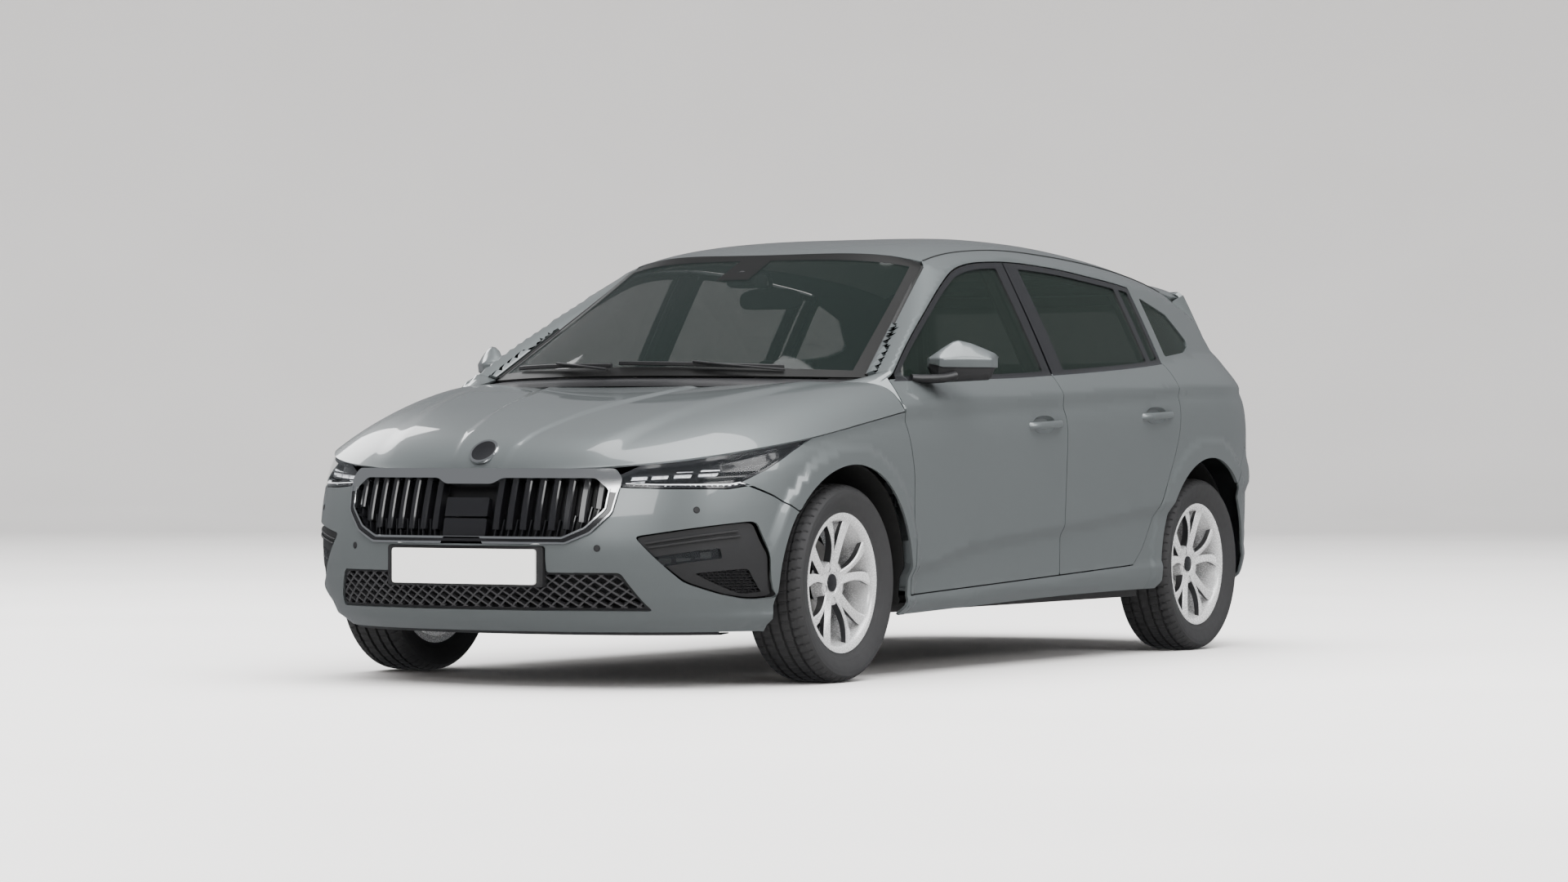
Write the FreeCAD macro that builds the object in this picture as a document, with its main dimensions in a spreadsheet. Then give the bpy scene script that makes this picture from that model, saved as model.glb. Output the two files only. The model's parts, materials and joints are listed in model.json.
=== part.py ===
"""Five-door hatchback car, as a parametric FreeCAD document.

Millimetres. +Z is up, the floor is z = 0, the front looks along -Y and the car's left side
is +X. The origin is the middle of the car's outline, on the floor.
"""
import FreeCAD, Part
import Sketcher
import math
import os
from FreeCAD import Placement, Rotation, Vector

SIZES = {
    # The whole car
    "wheelbase": 2649, "front_overhang": 871, "rear_overhang": 842,
    "body_width": 1793, "body_height": 1471,
    "front_track": 1531, "rear_track": 1516,
    # Wheels
    "tyre_radius": 311, "tyre_width": 206, "tread_width": 168, "bead_seat_radius": 203,
    "flange_radius": 219.5, "seat_span": 142, "flange_width": 9, "rim_wall": 7,
    "rim_drop": 16, "spoke_face": 66, "spoke_dish": 24, "spoke_depth": 24,
    "spoke_root_width": 30, "spoke_tip_width": 50, "hub_radius": 72, "cap_radius": 28,
    "cap_depth": 6, "spoke_pair_angle": 30, "stud_circle_radius": 56, "stud_radius": 7,
    "stub_radius": 26, "stub_length": 100, "disc_radius": 138, "disc_width": 22,
    "disc_setback": 30,
    # Panels
    "shut_gap": 6, "skin": 8, "door_depth": 108, "frame_depth": 42, "side_depth": 46,
    "roof_depth": 10, "bonnet_depth": 12, "bumper_depth": 14, "glass": 5, "glass_recess": 4,
    "door_edge_inset": 26, "door_sill_gap": 10, "door_rear_inset": 74, "arch_radius": 370, "arch_liner": 5,
    "post_front": 105, "post_rear": 184, "post_depth": 135,
    "window_frame": 22, "tailgate_depth": 34, "rear_arch_radius": 386,
    # Hinges
    "pin_radius": 5, "pin_play": 0.08, "hinge_wall": 6, "hinge_height": 22, "hinge_lug": 8,
    "door_hinge_inset": 26, "front_hinge_lead": 31, "rear_hinge_lead": 62,
    "bonnet_hinge_x": 747, "bonnet_hinge_y": -908, "bonnet_hinge_z": 905,
    "bonnet_arm_length": 140, "cowl_gap": 34, "tailgate_hinge_x": 450, "tailgate_hinge_lead": 65,
    "tailgate_hinge_drop": 15, "tailgate_arm_drop": 70, "tailgate_arm_length": 108,
    # Under the car
    "floor_bottom": 205, "floor_depth": 28, "floor_rear": 930, "boot_front": 1112, "boot_half": 545,
    "boot_lid_lead": 180, "boot_lid_step": 4,
    "boot_floor": 380, "tail_clearance": 130, "tunnel_half": 110, "tunnel_height": 88,
    "bulkhead_y": -960, "bulkhead_depth": 36, "bulkhead_top": 880, "hinge_post_width": 100,
    "rail_inner": 420, "rail_width": 80, "rail_bottom": 400, "rail_height": 95,
    "rail_front": -2000, "crossmember_height": 45, "crossmember_z": 600,
    "tower_top": 850, "tower_wall": 10, "tower_half": 95, "tower_x": 552,
    "engine_length": 480, "engine_width": 640, "engine_height": 460, "engine_base": 290,
    "engine_front": -1760, "mount_height": 30, "radiator_half": 330, "radiator_depth": 40,
    "radiator_height": 320, "radiator_base": 250,
    "ball_x": 680, "ball_z": 205, "ball_radius": 14, "strut_radius": 24,
    "spring_radius": 62, "spring_height": 190, "upright_depth": 70, "upright_half": 55,
    "arm_height": 26, "arm_half": 60, "subframe_half": 400, "subframe_length": 260,
    "subframe_bottom": 175, "subframe_height": 50, "caliper_length": 120, "caliper_gap": 2,
    "beam_radius": 36, "beam_lead": 150, "trailing_arm_width": 50, "trailing_arm_height": 60,
    "liner_wall": 5, "liner_gap": 3, "liner_inner": 421,
    "rear_liner_inner": 556, "exhaust_radius": 26, "silencer_radius": 77,
    "silencer_length": 460, "exhaust_drop": 5,
    # Inside the car
    "seat_x": 365, "seat_y": 60, "seat_base": 330, "seat_width": 500, "seat_length": 500,
    "seat_cushion": 150, "seat_back_depth": 110, "seat_back_height": 560, "seat_tilt": 20,
    "head_width": 250, "head_height": 150, "head_depth": 90, "head_gap": 40,
    "head_post_radius": 6, "runner_width": 60, "rear_seat_y": 640, "rear_seat_half": 540,
    "rear_seat_length": 470, "rear_back_y": 1090, "rear_back_height": 540,
    "dash_front": -940, "dash_depth": 430, "dash_top": 935, "dash_height": 330,
    "dash_half": 680, "wheel_y": -395, "wheel_z": 800, "wheel_tilt": 24,
    "grip_circle_radius": 172, "grip_radius": 15, "steer_hub_radius": 55,
    "steer_hub_depth": 45, "column_radius": 28, "column_length": 230,
    # Mirrors and wipers
    "mirror_x": 905, "mirror_y": -700, "mirror_z": 1012, "mirror_width": 190,
    "mirror_height": 132, "mirror_depth": 150, "mirror_arm": 60, "wiper_radius": 7,
    "wiper_gap": 4,
}

doc = FreeCAD.newDocument("hatchback")
sheet = doc.addObject("Spreadsheet::Sheet", "sizes")
for row, (name, value) in enumerate(SIZES.items(), start=1):
    sheet.set(f"A{row}", name)
    sheet.set(f"B{row}", str(value))
    sheet.setAlias(f"B{row}", name)
doc.recompute()


class Bound(float):
    """A length that also carries the sheet expression that gives it."""

    def __new__(cls, value, text):
        bound = super().__new__(cls, value)
        bound.text = text
        return bound

    def joined(self, other, sign, value, turned=False):
        first, second = self.text, getattr(other, "text", repr(other))
        if turned:
            first, second = second, first
        return Bound(value, f"({first} {sign} {second})")

    def __add__(self, other):
        return self.joined(other, "+", float(self) + float(other))

    def __radd__(self, other):
        return self.joined(other, "+", float(other) + float(self), True)

    def __sub__(self, other):
        return self.joined(other, "-", float(self) - float(other))

    def __rsub__(self, other):
        return self.joined(other, "-", float(other) - float(self), True)

    def __mul__(self, other):
        return self.joined(other, "*", float(self) * float(other))

    def __rmul__(self, other):
        return self.joined(other, "*", float(other) * float(self), True)

    def __truediv__(self, other):
        return self.joined(other, "/", float(self) / float(other))

    def __neg__(self):
        return Bound(-float(self), f"(-1 * {self.text})")


class Size:
    """Reads a driving size from the sheet by its alias."""

    def __getattr__(self, name):
        return float(sheet.get(name))


class BoundSize:
    """Reads a driving size together with the expression that gives it."""

    def __getattr__(self, name):
        return Bound(float(sheet.get(name)), f"sizes.{name}")


s = Size()
g = BoundSize()
HALF_WIDTH = s.body_width / 2
LENGTH = s.front_overhang + s.wheelbase + s.rear_overhang
FRONT_AXLE = s.front_overhang - LENGTH / 2
REAR_AXLE = FRONT_AXLE + s.wheelbase


def along(share):
    """Y of a share along the car: -1 nose, 0 front axle, 1 rear axle, 2 tail."""
    if share < 0:
        return FRONT_AXLE + share * s.front_overhang
    if share > 1:
        return REAR_AXLE + (share - 1) * s.rear_overhang
    return FRONT_AXLE + share * s.wheelbase


def up(share):
    """Z of a share of the body's height."""
    return share * s.body_height


def out(share):
    """X of a share of half the body's width."""
    return share * HALF_WIDTH


def smooth_line(points):
    """Function through (place, value) points that never overshoots them."""
    places, values = zip(*points)
    steps = [b - a for a, b in zip(places, places[1:])]
    slopes = [(b - a) / d for a, b, d in zip(values, values[1:], steps)]
    tangents = [slopes[0]]
    for before, after in zip(slopes, slopes[1:]):
        flat = before * after <= 0
        tangents.append(0 if flat else 2 * before * after / (before + after))
    tangents.append(slopes[-1])

    def value_at(place):
        if place <= places[0]:
            return values[0] + tangents[0] * (place - places[0])
        if place >= places[-1]:
            return values[-1] + tangents[-1] * (place - places[-1])
        i = max(k for k, start in enumerate(places[:-1]) if start <= place)
        t = (place - places[i]) / steps[i]
        rise = values[i + 1] - values[i]
        start_pull = t * (1 - t) ** 2 * steps[i] * tangents[i]
        end_pull = t * t * (t - 1) * steps[i] * tangents[i + 1]
        return values[i] + t * t * (3 - 2 * t) * rise + start_pull + end_pull

    return value_at


def height_line(shares):
    return smooth_line([(along(a), up(b)) for a, b in shares])


def width_line(shares):
    return smooth_line([(along(a), out(b)) for a, b in shares])


# The lines of the body side, each as heights along the car
sill_bottom = height_line([(0.136, 0.135), (0.697, 0.157), (1.2, 0.160)])
sill_top = height_line([(0.123, 0.171), (0.775, 0.213), (1.2, 0.235)])
low_crease = height_line([(0.136, 0.235), (0.216, 0.246), (0.269, 0.272), (0.344, 0.289),
                          (0.412, 0.298), (0.55, 0.314), (0.786, 0.347), (1.2, 0.39)])
waist_line = height_line([(-0.8, 0.455), (-0.333, 0.500), (0.0, 0.532), (0.124, 0.557),
                          (0.293, 0.57), (0.543, 0.589), (0.758, 0.606), (0.896, 0.625),
                          (1.191, 0.634), (1.726, 0.637)])
shoulder = height_line([(-0.83, 0.462), (-0.735, 0.472), (-0.505, 0.496), (-0.23, 0.520),
                        (0.042, 0.551), (0.136, 0.580), (0.196, 0.601), (0.555, 0.620),
                        (0.718, 0.633), (0.907, 0.644), (1.213, 0.647), (1.726, 0.651)])
belt = height_line([(0.117, 0.647), (0.418, 0.657), (0.566, 0.672), (0.783, 0.691),
                    (0.917, 0.708), (1.072, 0.726), (1.666, 0.748)])
window_top = height_line([(0.147, 0.653), (0.211, 0.721), (0.306, 0.809), (0.381, 0.874),
                          (0.43, 0.908), (0.495, 0.925), (0.584, 0.931), (0.683, 0.926),
                          (0.807, 0.91), (0.943, 0.884), (1.072, 0.84), (1.21, 0.768)])
roof_edge = height_line([(0.147, 0.663), (0.211, 0.731), (0.306, 0.819), (0.381, 0.884),
                         (0.43, 0.918), (0.495, 0.935), (0.585, 0.942), (0.808, 0.92),
                         (0.944, 0.897), (1.132, 0.872), (1.31, 0.85), (1.488, 0.819),
                         (1.726, 0.755)])
roof_centre = height_line([(0.359, 0.942), (0.438, 0.969), (0.532, 0.988), (0.646, 0.9995),
                           (0.759, 0.998), (0.872, 0.987), (1.072, 0.96), (1.429, 0.931),
                           (1.607, 0.914)])
bonnet_centre = height_line([(-0.902, 0.448), (-0.89, 0.470), (-0.827, 0.507),
                             (-0.677, 0.544), (-0.448, 0.581), (-0.218, 0.607),
                             (0.004, 0.629), (0.079, 0.646), (0.155, 0.656)])
belt_width = width_line([(0.117, 0.905), (0.306, 0.917), (0.57, 0.924), (0.834, 0.898),
                         (0.948, 0.876), (1.191, 0.831), (1.548, 0.759), (1.785, 0.692)])
# Widths of the side at each line, from the sill's underside up to the shoulder
SIDE_WIDTH_SHARES = (0.931, 0.968, 0.975, 0.966, 0.968, 0.990, 0.999, 0.998, 0.983, 0.992)
SILL_ROUND = 30 * s.body_height / 1471
nose_reach_share = smooth_line([(0.109, 0.827), (0.136, 0.896), (0.184, 0.959),
                                (0.245, 0.993), (0.286, 1.0), (0.34, 0.987), (0.421, 0.950),
                                (0.476, 0.912), (0.53, 0.827), (0.612, 0.677)])
tail_reach_share = smooth_line([(0.15, 0.856), (0.218, 0.951), (0.306, 0.993), (0.394, 1.0),
                                (0.449, 0.987), (0.476, 0.945), (0.544, 0.933),
                                (0.646, 0.868), (0.673, 0.833), (0.748, 0.767),
                                (0.816, 0.696), (0.884, 0.619), (0.911, 0.583)])
NOSE_SQUARENESS = 7.7
TAIL_SQUARENESS = 11.0
CORNER_ROUNDNESS = 2.15
GLASS_LEAN = 0.47
GLASS_BOW_SHARE = 0.147
STRIP_WIDTH_SHARE = 0.625
STRIP_CROWN = 0.05
WINDSCREEN_BASE_SHARE = 0.80


def nose_reach(z):
    """How far the body reaches ahead of the origin at a height."""
    return -FRONT_AXLE + nose_reach_share(z / s.body_height) * s.front_overhang


def tail_reach(z):
    """How far the body reaches behind the origin at a height."""
    return REAR_AXLE + tail_reach_share(z / s.body_height) * s.rear_overhang


def plan_share(y, z):
    """Share of the width that the rounded ends leave at a place."""
    reach = nose_reach(z) if y < 0 else tail_reach(z)
    squareness = NOSE_SQUARENESS if y < 0 else TAIL_SQUARENESS
    depth = min(abs(y) / reach, 0.9999)
    return (1 - depth ** squareness) ** (1 / CORNER_ROUNDNESS)


def side_levels(y):
    """Heights of the creases of the side at a station."""
    ledge = sill_top(y) - s.shut_gap
    crease = low_crease(y)
    return [sill_bottom(y), sill_bottom(y) + SILL_ROUND, ledge, sill_top(y) + s.shut_gap,
            crease - SILL_ROUND, crease + s.shut_gap, (crease + waist_line(y)) / 2,
            (crease + 4 * waist_line(y)) / 5, waist_line(y), shoulder(y)]


def half_width(y, z):
    """Half width of the straight part of the side, before the ends round off."""
    levels = side_levels(y)
    if z <= levels[0]:
        return out(SIDE_WIDTH_SHARES[0])
    for k in range(len(levels) - 1):
        if z <= levels[k + 1]:
            t = (z - levels[k]) / max(levels[k + 1] - levels[k], s.pin_play)
            return out(SIDE_WIDTH_SHARES[k] * (1 - t) + SIDE_WIDTH_SHARES[k + 1] * t)
    return out(SIDE_WIDTH_SHARES[-1])


def side_x(y, z):
    return half_width(y, z) * plan_share(y, z)


def glass_x(y, z):
    """The side above the belt line, which leans in."""
    rise = z - belt(y)
    return belt_width(y) - GLASS_LEAN * rise - GLASS_BOW_SHARE * rise ** 2 / s.body_height


def roof_z(x, y):
    """The roof, from its middle down to its edge above the doors."""
    edge = roof_edge(y)
    share = min(abs(x) / glass_x(y, edge), 1)
    return roof_centre(y) - (roof_centre(y) - edge) * share ** 4.4


def bonnet_z(x, y):
    """The bonnet, from its middle down to the shoulder that it shuts on."""
    edge_x = side_x(y, shoulder(y))
    lead = (y - along(-1)) / (along(0.15) - along(-1))
    share = min(abs(x) / edge_x, 1)
    return bonnet_centre(y) - (bonnet_centre(y) - shoulder(y)) * share ** (3 + 15 * lead ** 2)


def windscreen_base(x):
    return along(0.015 + 0.133 * (x / out(WINDSCREEN_BASE_SHARE)) ** 2)


def windscreen_y(x, z):
    """The windscreen, leaning back and bowed across and up."""
    across = x / out(WINDSCREEN_BASE_SHARE)
    base_z = up(0.656 - 0.006 * across ** 2)
    top_z = up(0.942 - 0.043 * across ** 2)
    rise = (z - base_z) / (top_z - base_z)
    top_y = along(0.359 + 0.055 * across ** 2)
    bow = along(0.008) - along(0)
    return windscreen_base(x) + (top_y - windscreen_base(x)) * rise - bow * math.sin(
        math.pi * min(max(rise, 0), 1))


def tail_y(x, z):
    """The tailgate's outside, rounding forward towards its sides."""
    corner = s.rear_overhang * (0.17 + 0.30 * min(max(z / s.body_height - 0.45, 0), 0.2))
    return tail_reach(z) - corner * (abs(x) / out(0.78)) ** 3


# Solids from sections
def polygon(points):
    return Part.makePolygon([Vector(*p) for p in points] + [Vector(*points[0])])


def railed(rings):
    """Solid whose sides are ruled between smooth rails through the rings' corners."""
    places = [float(i) for i in range(len(rings))]
    rails = []
    for k in range(len(rings[0])):
        rail = Part.BSplineCurve()
        rail.interpolate(Points=[Vector(*ring[k]) for ring in rings], Parameters=places)
        rails.append(rail.toShape())
    faces = [Part.makeRuledSurface(a, b) for a, b in zip(rails, rails[1:] + rails[:1])]
    faces += [Part.Face(polygon(rings[0])), Part.Face(polygon(rings[-1]))]
    shell = Part.makeShell(faces)
    shell.sewShape()
    solid = Part.Solid(shell)
    if solid.Volume < 0:
        solid.reverse()
    return solid


def slab(section, stations, start, end):
    """Solid between two depths under a side surface."""
    rings = []
    for y in stations:
        points = section(y)
        outer = [(x - start, y, z) for x, z in points]
        rings.append(outer + [(x - end, y, z) for x, z in reversed(points)])
    return railed(rings)


def shell_over(height, half, stations, depth, count=17):
    """Solid under a surface seen from above, as wide as half(y) each side."""
    rings = []
    for y in stations:
        row = [(half(y) * t, y) for t in spread(-1, 1, count)]
        top = [(x, y, height(x, y)) for x, y in row]
        rings.append(top + [(x, y, z - depth) for x, y, z in reversed(top)])
    return railed(rings)


def waterline(z, reach, squareness, start, end_y, count=21):
    """Points round one end of the car at a height, inside the skin by a depth."""
    depth = (abs(end_y) / (reach - start)) ** (squareness / 2)
    turn = math.acos(min(depth, 1))
    front = -1 if end_y < 0 else 1
    points = []
    for a in spread(-turn, turn, count):
        y = front * (reach - start) * math.cos(a) ** (2 / squareness)
        side = abs(math.sin(a)) ** (2 / CORNER_ROUNDNESS)
        x = math.copysign((half_width(y, z) - start) * side, a)
        points.append((x, y, z))
    return points


def end_band(levels, end_y, start, end):
    """Solid between two depths round the nose or the tail, over a span of heights."""
    squareness = NOSE_SQUARENESS if end_y < 0 else TAIL_SQUARENESS
    reach_at = nose_reach if end_y < 0 else tail_reach
    rings = []
    for z in levels:
        outer = waterline(z, reach_at(z), squareness, start, end_y)
        inner = waterline(z, reach_at(z), squareness, end, end_y)
        rings.append(outer + inner[::-1])
    return railed(rings)


def between(first, last, share):
    return tuple(a + (b - a) * share for a, b in zip(first, last))


def spread(start, end, count):
    return [start + (end - start) * i / (count - 1) for i in range(count)]


def prism_x(outline, x_from, x_to):
    """Prism of a side-view outline, running across the car."""
    face = Part.Face(polygon([(x_from, y, z) for y, z in outline]))
    return face.extrude(Vector(x_to - x_from, 0, 0))


def prism_y(outline, y_from, y_to):
    face = Part.Face(polygon([(x, y_from, z) for x, z in outline]))
    return face.extrude(Vector(0, y_to - y_from, 0))


def prism_z(outline, z_from, z_to):
    face = Part.Face(polygon([(x, y, z_from) for x, y in outline]))
    return face.extrude(Vector(0, 0, z_to - z_from))


def grown(outline, margin):
    """A side-view outline moved outwards all round by a margin."""
    wire = polygon([(0, y, z) for y, z in outline])
    moved = wire.makeOffset2D(margin, 2, False, False)
    return [(v.Point.y, v.Point.z) for v in moved.OrderedVertexes]


def block(x_from, x_to, y_from, y_to, z_from, z_to):
    corner = Vector(x_from, y_from, z_from)
    return Part.makeBox(x_to - x_from, y_to - y_from, z_to - z_from, corner)


def rod(start, end, radius):
    start, end = Vector(*start), Vector(*end)
    return Part.makeCylinder(radius, (end - start).Length, start, end - start)


def mirrored(shape):
    return shape.mirror(Vector(0, 0, 0), Vector(1, 0, 0))


def largest(shape):
    return max(shape.Solids, key=lambda solid: solid.Volume)


def both(shape):
    return Part.makeCompound([shape, mirrored(shape)])


PARTS = []


def keep(name, shape):
    """Adds a sub-part made of a ready shape to the document."""
    if shape.ShapeType == "Compound" and len(shape.Solids) == 1:
        shape = shape.Solids[0]
    part = doc.addObject("Part::Feature", name)
    part.Label = name
    part.Shape = shape
    PARTS.append(part)
    return part


# Body side
def lower_section(y):
    """Outside of the body side at a station, from the sill up to the shoulder."""
    return [(side_x(y, z), z) for z in side_levels(y)]


def side_section(y):
    """Outside of the body side at a station, from the sill up to the roof's edge."""
    top = max(roof_edge(y), belt(y) + s.skin)
    return lower_section(y) + [(glass_x(y, z), z) for z in spread(belt(y), top, 5)]


def strip_end(y):
    """Where the strip above the doors meets the windscreen or the roof panel."""
    if y < along(0.393):
        share = (y - along(0.148)) / (along(0.393) - along(0.148))
        low = (out(WINDSCREEN_BASE_SHARE), up(0.652))
        return between(low, (out(0.64), up(0.914)), share)
    x = out(STRIP_WIDTH_SHARE)
    return x, roof_z(x, y)


def frame_ring(y):
    """Closed section of the body side: sill, side, and the strip up to the roof."""
    lower = [(side_x(y, z), z) for z in side_levels(y)]
    shares = (0, 0.25, 0.5, 0.75, 1)
    low, high = belt(y), roof_edge(y)
    glass = [(glass_x(y, low + (high - low) * t), low + (high - low) * t) for t in shares]
    edge, end = glass[-1], strip_end(y)
    crown = (edge[0] - end[0]) * STRIP_CROWN
    strip = [between(edge, end, t) for t in (1 / 3, 2 / 3)]
    strip = [(x, z + crown) for x, z in strip] + [end]
    depth = s.side_depth
    drop = min(depth, (high - low) * 0.8)
    inner_belt = (glass[0][0] - depth, low)
    inner_edge = (edge[0] - depth, high - drop)
    inner_end = (end[0], end[1] - drop)
    inner = [(x - depth, z) for x, z in lower]
    inner += [between(inner_belt, inner_edge, t) for t in shares]
    inner += [between(inner_edge, inner_end, t) for t in (1 / 3, 2 / 3, 1)]
    return lower + glass + strip + inner[::-1]


FRONT_DOOR_SHARES = ((0.148, 0.182), (0.146, 0.432), (0.134, 0.528), (0.124, 0.577),
                     (0.136, 0.650))
DOOR_SHUT_SHARES = ((0.562, 0.66), (0.549, 0.63), (0.559, 0.551), (0.556, 0.36),
                    (0.556, 0.205))
REAR_EDGE_SHARES = ((0.922, 0.88), (0.922, 0.705), (0.899, 0.644), (0.901, 0.566),
                    (0.889, 0.495), (0.876, 0.453), (0.853, 0.383), (0.825, 0.312),
                    (0.798, 0.250), (0.780, 0.226), (0.770, 0.219))


def front_door_outline():
    lead = [(along(a), up(b)) for a, b in FRONT_DOOR_SHARES]
    top = [(y, window_top(y)) for y in spread(along(0.17), along(0.55), 9)]
    rear = [(along(0.562), window_top(along(0.562)))]
    rear += [(along(a), up(b)) for a, b in DOOR_SHUT_SHARES[:-1]]
    sill = [(y, sill_top(y) + s.door_sill_gap) for y in spread(along(0.556), along(0.148), 3)]
    return lead[1:] + top + rear + sill


def rear_door_outline():
    gap = s.shut_gap
    lead = [(along(a) + gap, up(b)) for a, b in reversed(DOOR_SHUT_SHARES[:-1])]
    lead += [(along(0.562) + gap, window_top(along(0.562)))]
    top = [(y, window_top(y)) for y in spread(along(0.60), along(0.90), 6)]
    rear = [(along(0.922), window_top(along(0.922)))]
    rear += [(along(a), up(b)) for a, b in REAR_EDGE_SHARES[1:-1]]
    sill = [(y, sill_top(y) + s.door_sill_gap)
            for y in spread(along(0.770), along(0.556) + gap, 3)]
    return lead + top + rear + sill


def window_outline(y_from, y_to, front_open=False):
    """Side-view outline of a door's glass, inside its frame."""
    frame = s.window_frame
    first = y_from + frame
    last = y_to - frame
    top = [(y, max(window_top(y) - frame, belt(y) + frame)) for y in spread(first, last, 9)]
    return [(first, belt(first) + s.glass), *top, (last, belt(last) + s.glass)]


FRONT_DOOR = front_door_outline()
REAR_DOOR = rear_door_outline()
FRONT_WINDOW = window_outline(along(0.158), along(0.552))
REAR_WINDOW = window_outline(along(0.572), along(0.912))
FRONT_HINGE_Y = along(0.124) - s.front_hinge_lead + s.pin_radius
FRONT_HINGE_Z = (up(0.385), up(0.500))
REAR_HINGE_Y = along(0.559) - s.rear_hinge_lead
REAR_HINGE_Z = (up(0.330), up(0.520))
HINGE_X = HALF_WIDTH - s.door_hinge_inset - s.shut_gap / 3


def door_solid(outline, window, shut_front, shut_rear, stations):
    """Skin out to the shut line, and a thick inner part set back from it."""
    inset = s.door_edge_inset
    skin = slab(side_section, stations, 0, s.skin)
    skin = skin.common(prism_x(outline, 0, HALF_WIDTH + inset))
    inner_z = [sill_top(y) + inset for y in (shut_front, shut_rear)]
    body = slab(side_section, stations, s.skin / 2, s.door_depth)
    lower = [(shut_front, inner_z[0]), (shut_front, belt(shut_front) - inset),
             (shut_rear, belt(shut_rear) - inset), (shut_rear, inner_z[1])]
    body = body.common(prism_x(lower, 0, HALF_WIDTH))
    frame = slab(side_section, stations, s.skin / 2, s.frame_depth)
    ring = grown(outline, -inset / 2)
    far = stations[-1]
    above = [(shut_front, belt(shut_front) - 2 * inset), (shut_front, up(1)),
             (far, up(1)), (far, belt(far) - 2 * inset)]
    frame = frame.common(prism_x(ring, 0, HALF_WIDTH)).common(prism_x(above, 0, HALF_WIDTH))
    door = skin.fuse([body, frame])
    return door.cut(prism_x(window, 0, HALF_WIDTH))


def window_solid(window, stations):
    glass = slab(side_section, stations, s.glass_recess, s.glass_recess + s.glass)
    return glass.common(prism_x(window, 0, HALF_WIDTH))


def hinge(y, z, reach, tail):
    """Pin and lugs on the body, and the bent arm on the door, at one height."""
    half = s.hinge_height / 2
    width = s.pin_radius + s.hinge_wall
    low, high = z - half, z + half
    arm = block(HINGE_X - reach - s.hinge_wall, HINGE_X, y - width, y + width, low, high)
    arm = arm.fuse(Part.makeCylinder(width, s.hinge_height, Vector(HINGE_X, y, low)))
    arm = arm.common(block(0, HINGE_X + s.pin_radius + s.hinge_wall / 2, y - tail, y + tail,
                           low, high))
    arm = arm.fuse(block(HINGE_X - reach - 2 * s.hinge_wall, HINGE_X - reach, y - width,
                         y + tail, low, high))
    hole = s.pin_radius + s.pin_play
    arm = arm.cut(Part.makeCylinder(hole, s.hinge_height, Vector(HINGE_X, y, low)))
    pin_low = low - s.pin_play - s.hinge_lug
    pin = Part.makeCylinder(s.pin_radius, s.hinge_height + 2 * (s.hinge_lug + s.pin_play),
                            Vector(HINGE_X, y, pin_low))
    lugs = []
    for base in (pin_low, high + s.pin_play):
        plate = block(HINGE_X - reach - tail / 2, HINGE_X, y - width, y + width, base,
                      base + s.hinge_lug)
        eye = Part.makeCylinder(s.pin_radius + s.hinge_wall / 2, s.hinge_lug,
                                Vector(HINGE_X, y, base))
        lugs.append(plate.fuse(eye))
    return pin.fuse(lugs), arm


def below_surface(height, depth, stations, half, reach):
    """Solid from a depth under a surface down by a reach."""
    return shell_over(lambda x, y: height(x, y) - depth, half, stations, reach)


def cross_hinge(x, y, z):
    """Pin with its two plates across the car, and the eye between them."""
    width = s.pin_radius + s.hinge_wall
    half = s.hinge_lug / 2
    plate_from, plate_to = half + s.pin_play, half + s.pin_play + s.hinge_lug
    pin = rod((x - plate_to, y, z), (x + plate_to, y, z), s.pin_radius)
    plates = [rod((x + side * plate_from, y, z), (x + side * plate_to, y, z), width)
              for side in (-1, 1)]
    eye = rod((x - half, y, z), (x + half, y, z), width)
    hole = rod((x - half, y, z), (x + half, y, z), s.pin_radius + s.pin_play)
    return pin.fuse(plates), eye, hole


def bonnet_hinge():
    """The bonnet hinge's half on the bulkhead and its arm on the bonnet, left side."""
    x, y, z = s.bonnet_hinge_x, s.bonnet_hinge_y, s.bonnet_hinge_z
    fixed, eye, hole = cross_hinge(x, y, z)
    width, half = s.pin_radius + s.hinge_wall, s.hinge_lug / 2
    near, far = half + s.pin_play, half + s.pin_play + s.hinge_lug
    base = s.bulkhead_top - s.hinge_lug
    for low, high in ((x - far, x - near), (x + near, x + far)):
        fixed = fixed.fuse(block(low, high, y - 2 * s.bulkhead_depth, y, base, z))
    arm = block(x - half, x + half, y - s.bonnet_arm_length, y, z - width, z + s.pin_radius)
    foot = block(x - half, x + half, y - s.bonnet_arm_length,
                 y - s.bonnet_arm_length / 2 - s.hinge_wall, z - width, up(0.7))
    stations = spread(along(0.05), along(0.153), 5)
    under = below_surface(bonnet_z, s.bonnet_depth / 2, stations,
                          lambda y: side_x(y, shoulder(y)) - s.pin_play, s.door_depth)
    arm = arm.fuse([eye, foot.common(under)]).cut(hole)
    return fixed, arm


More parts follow.
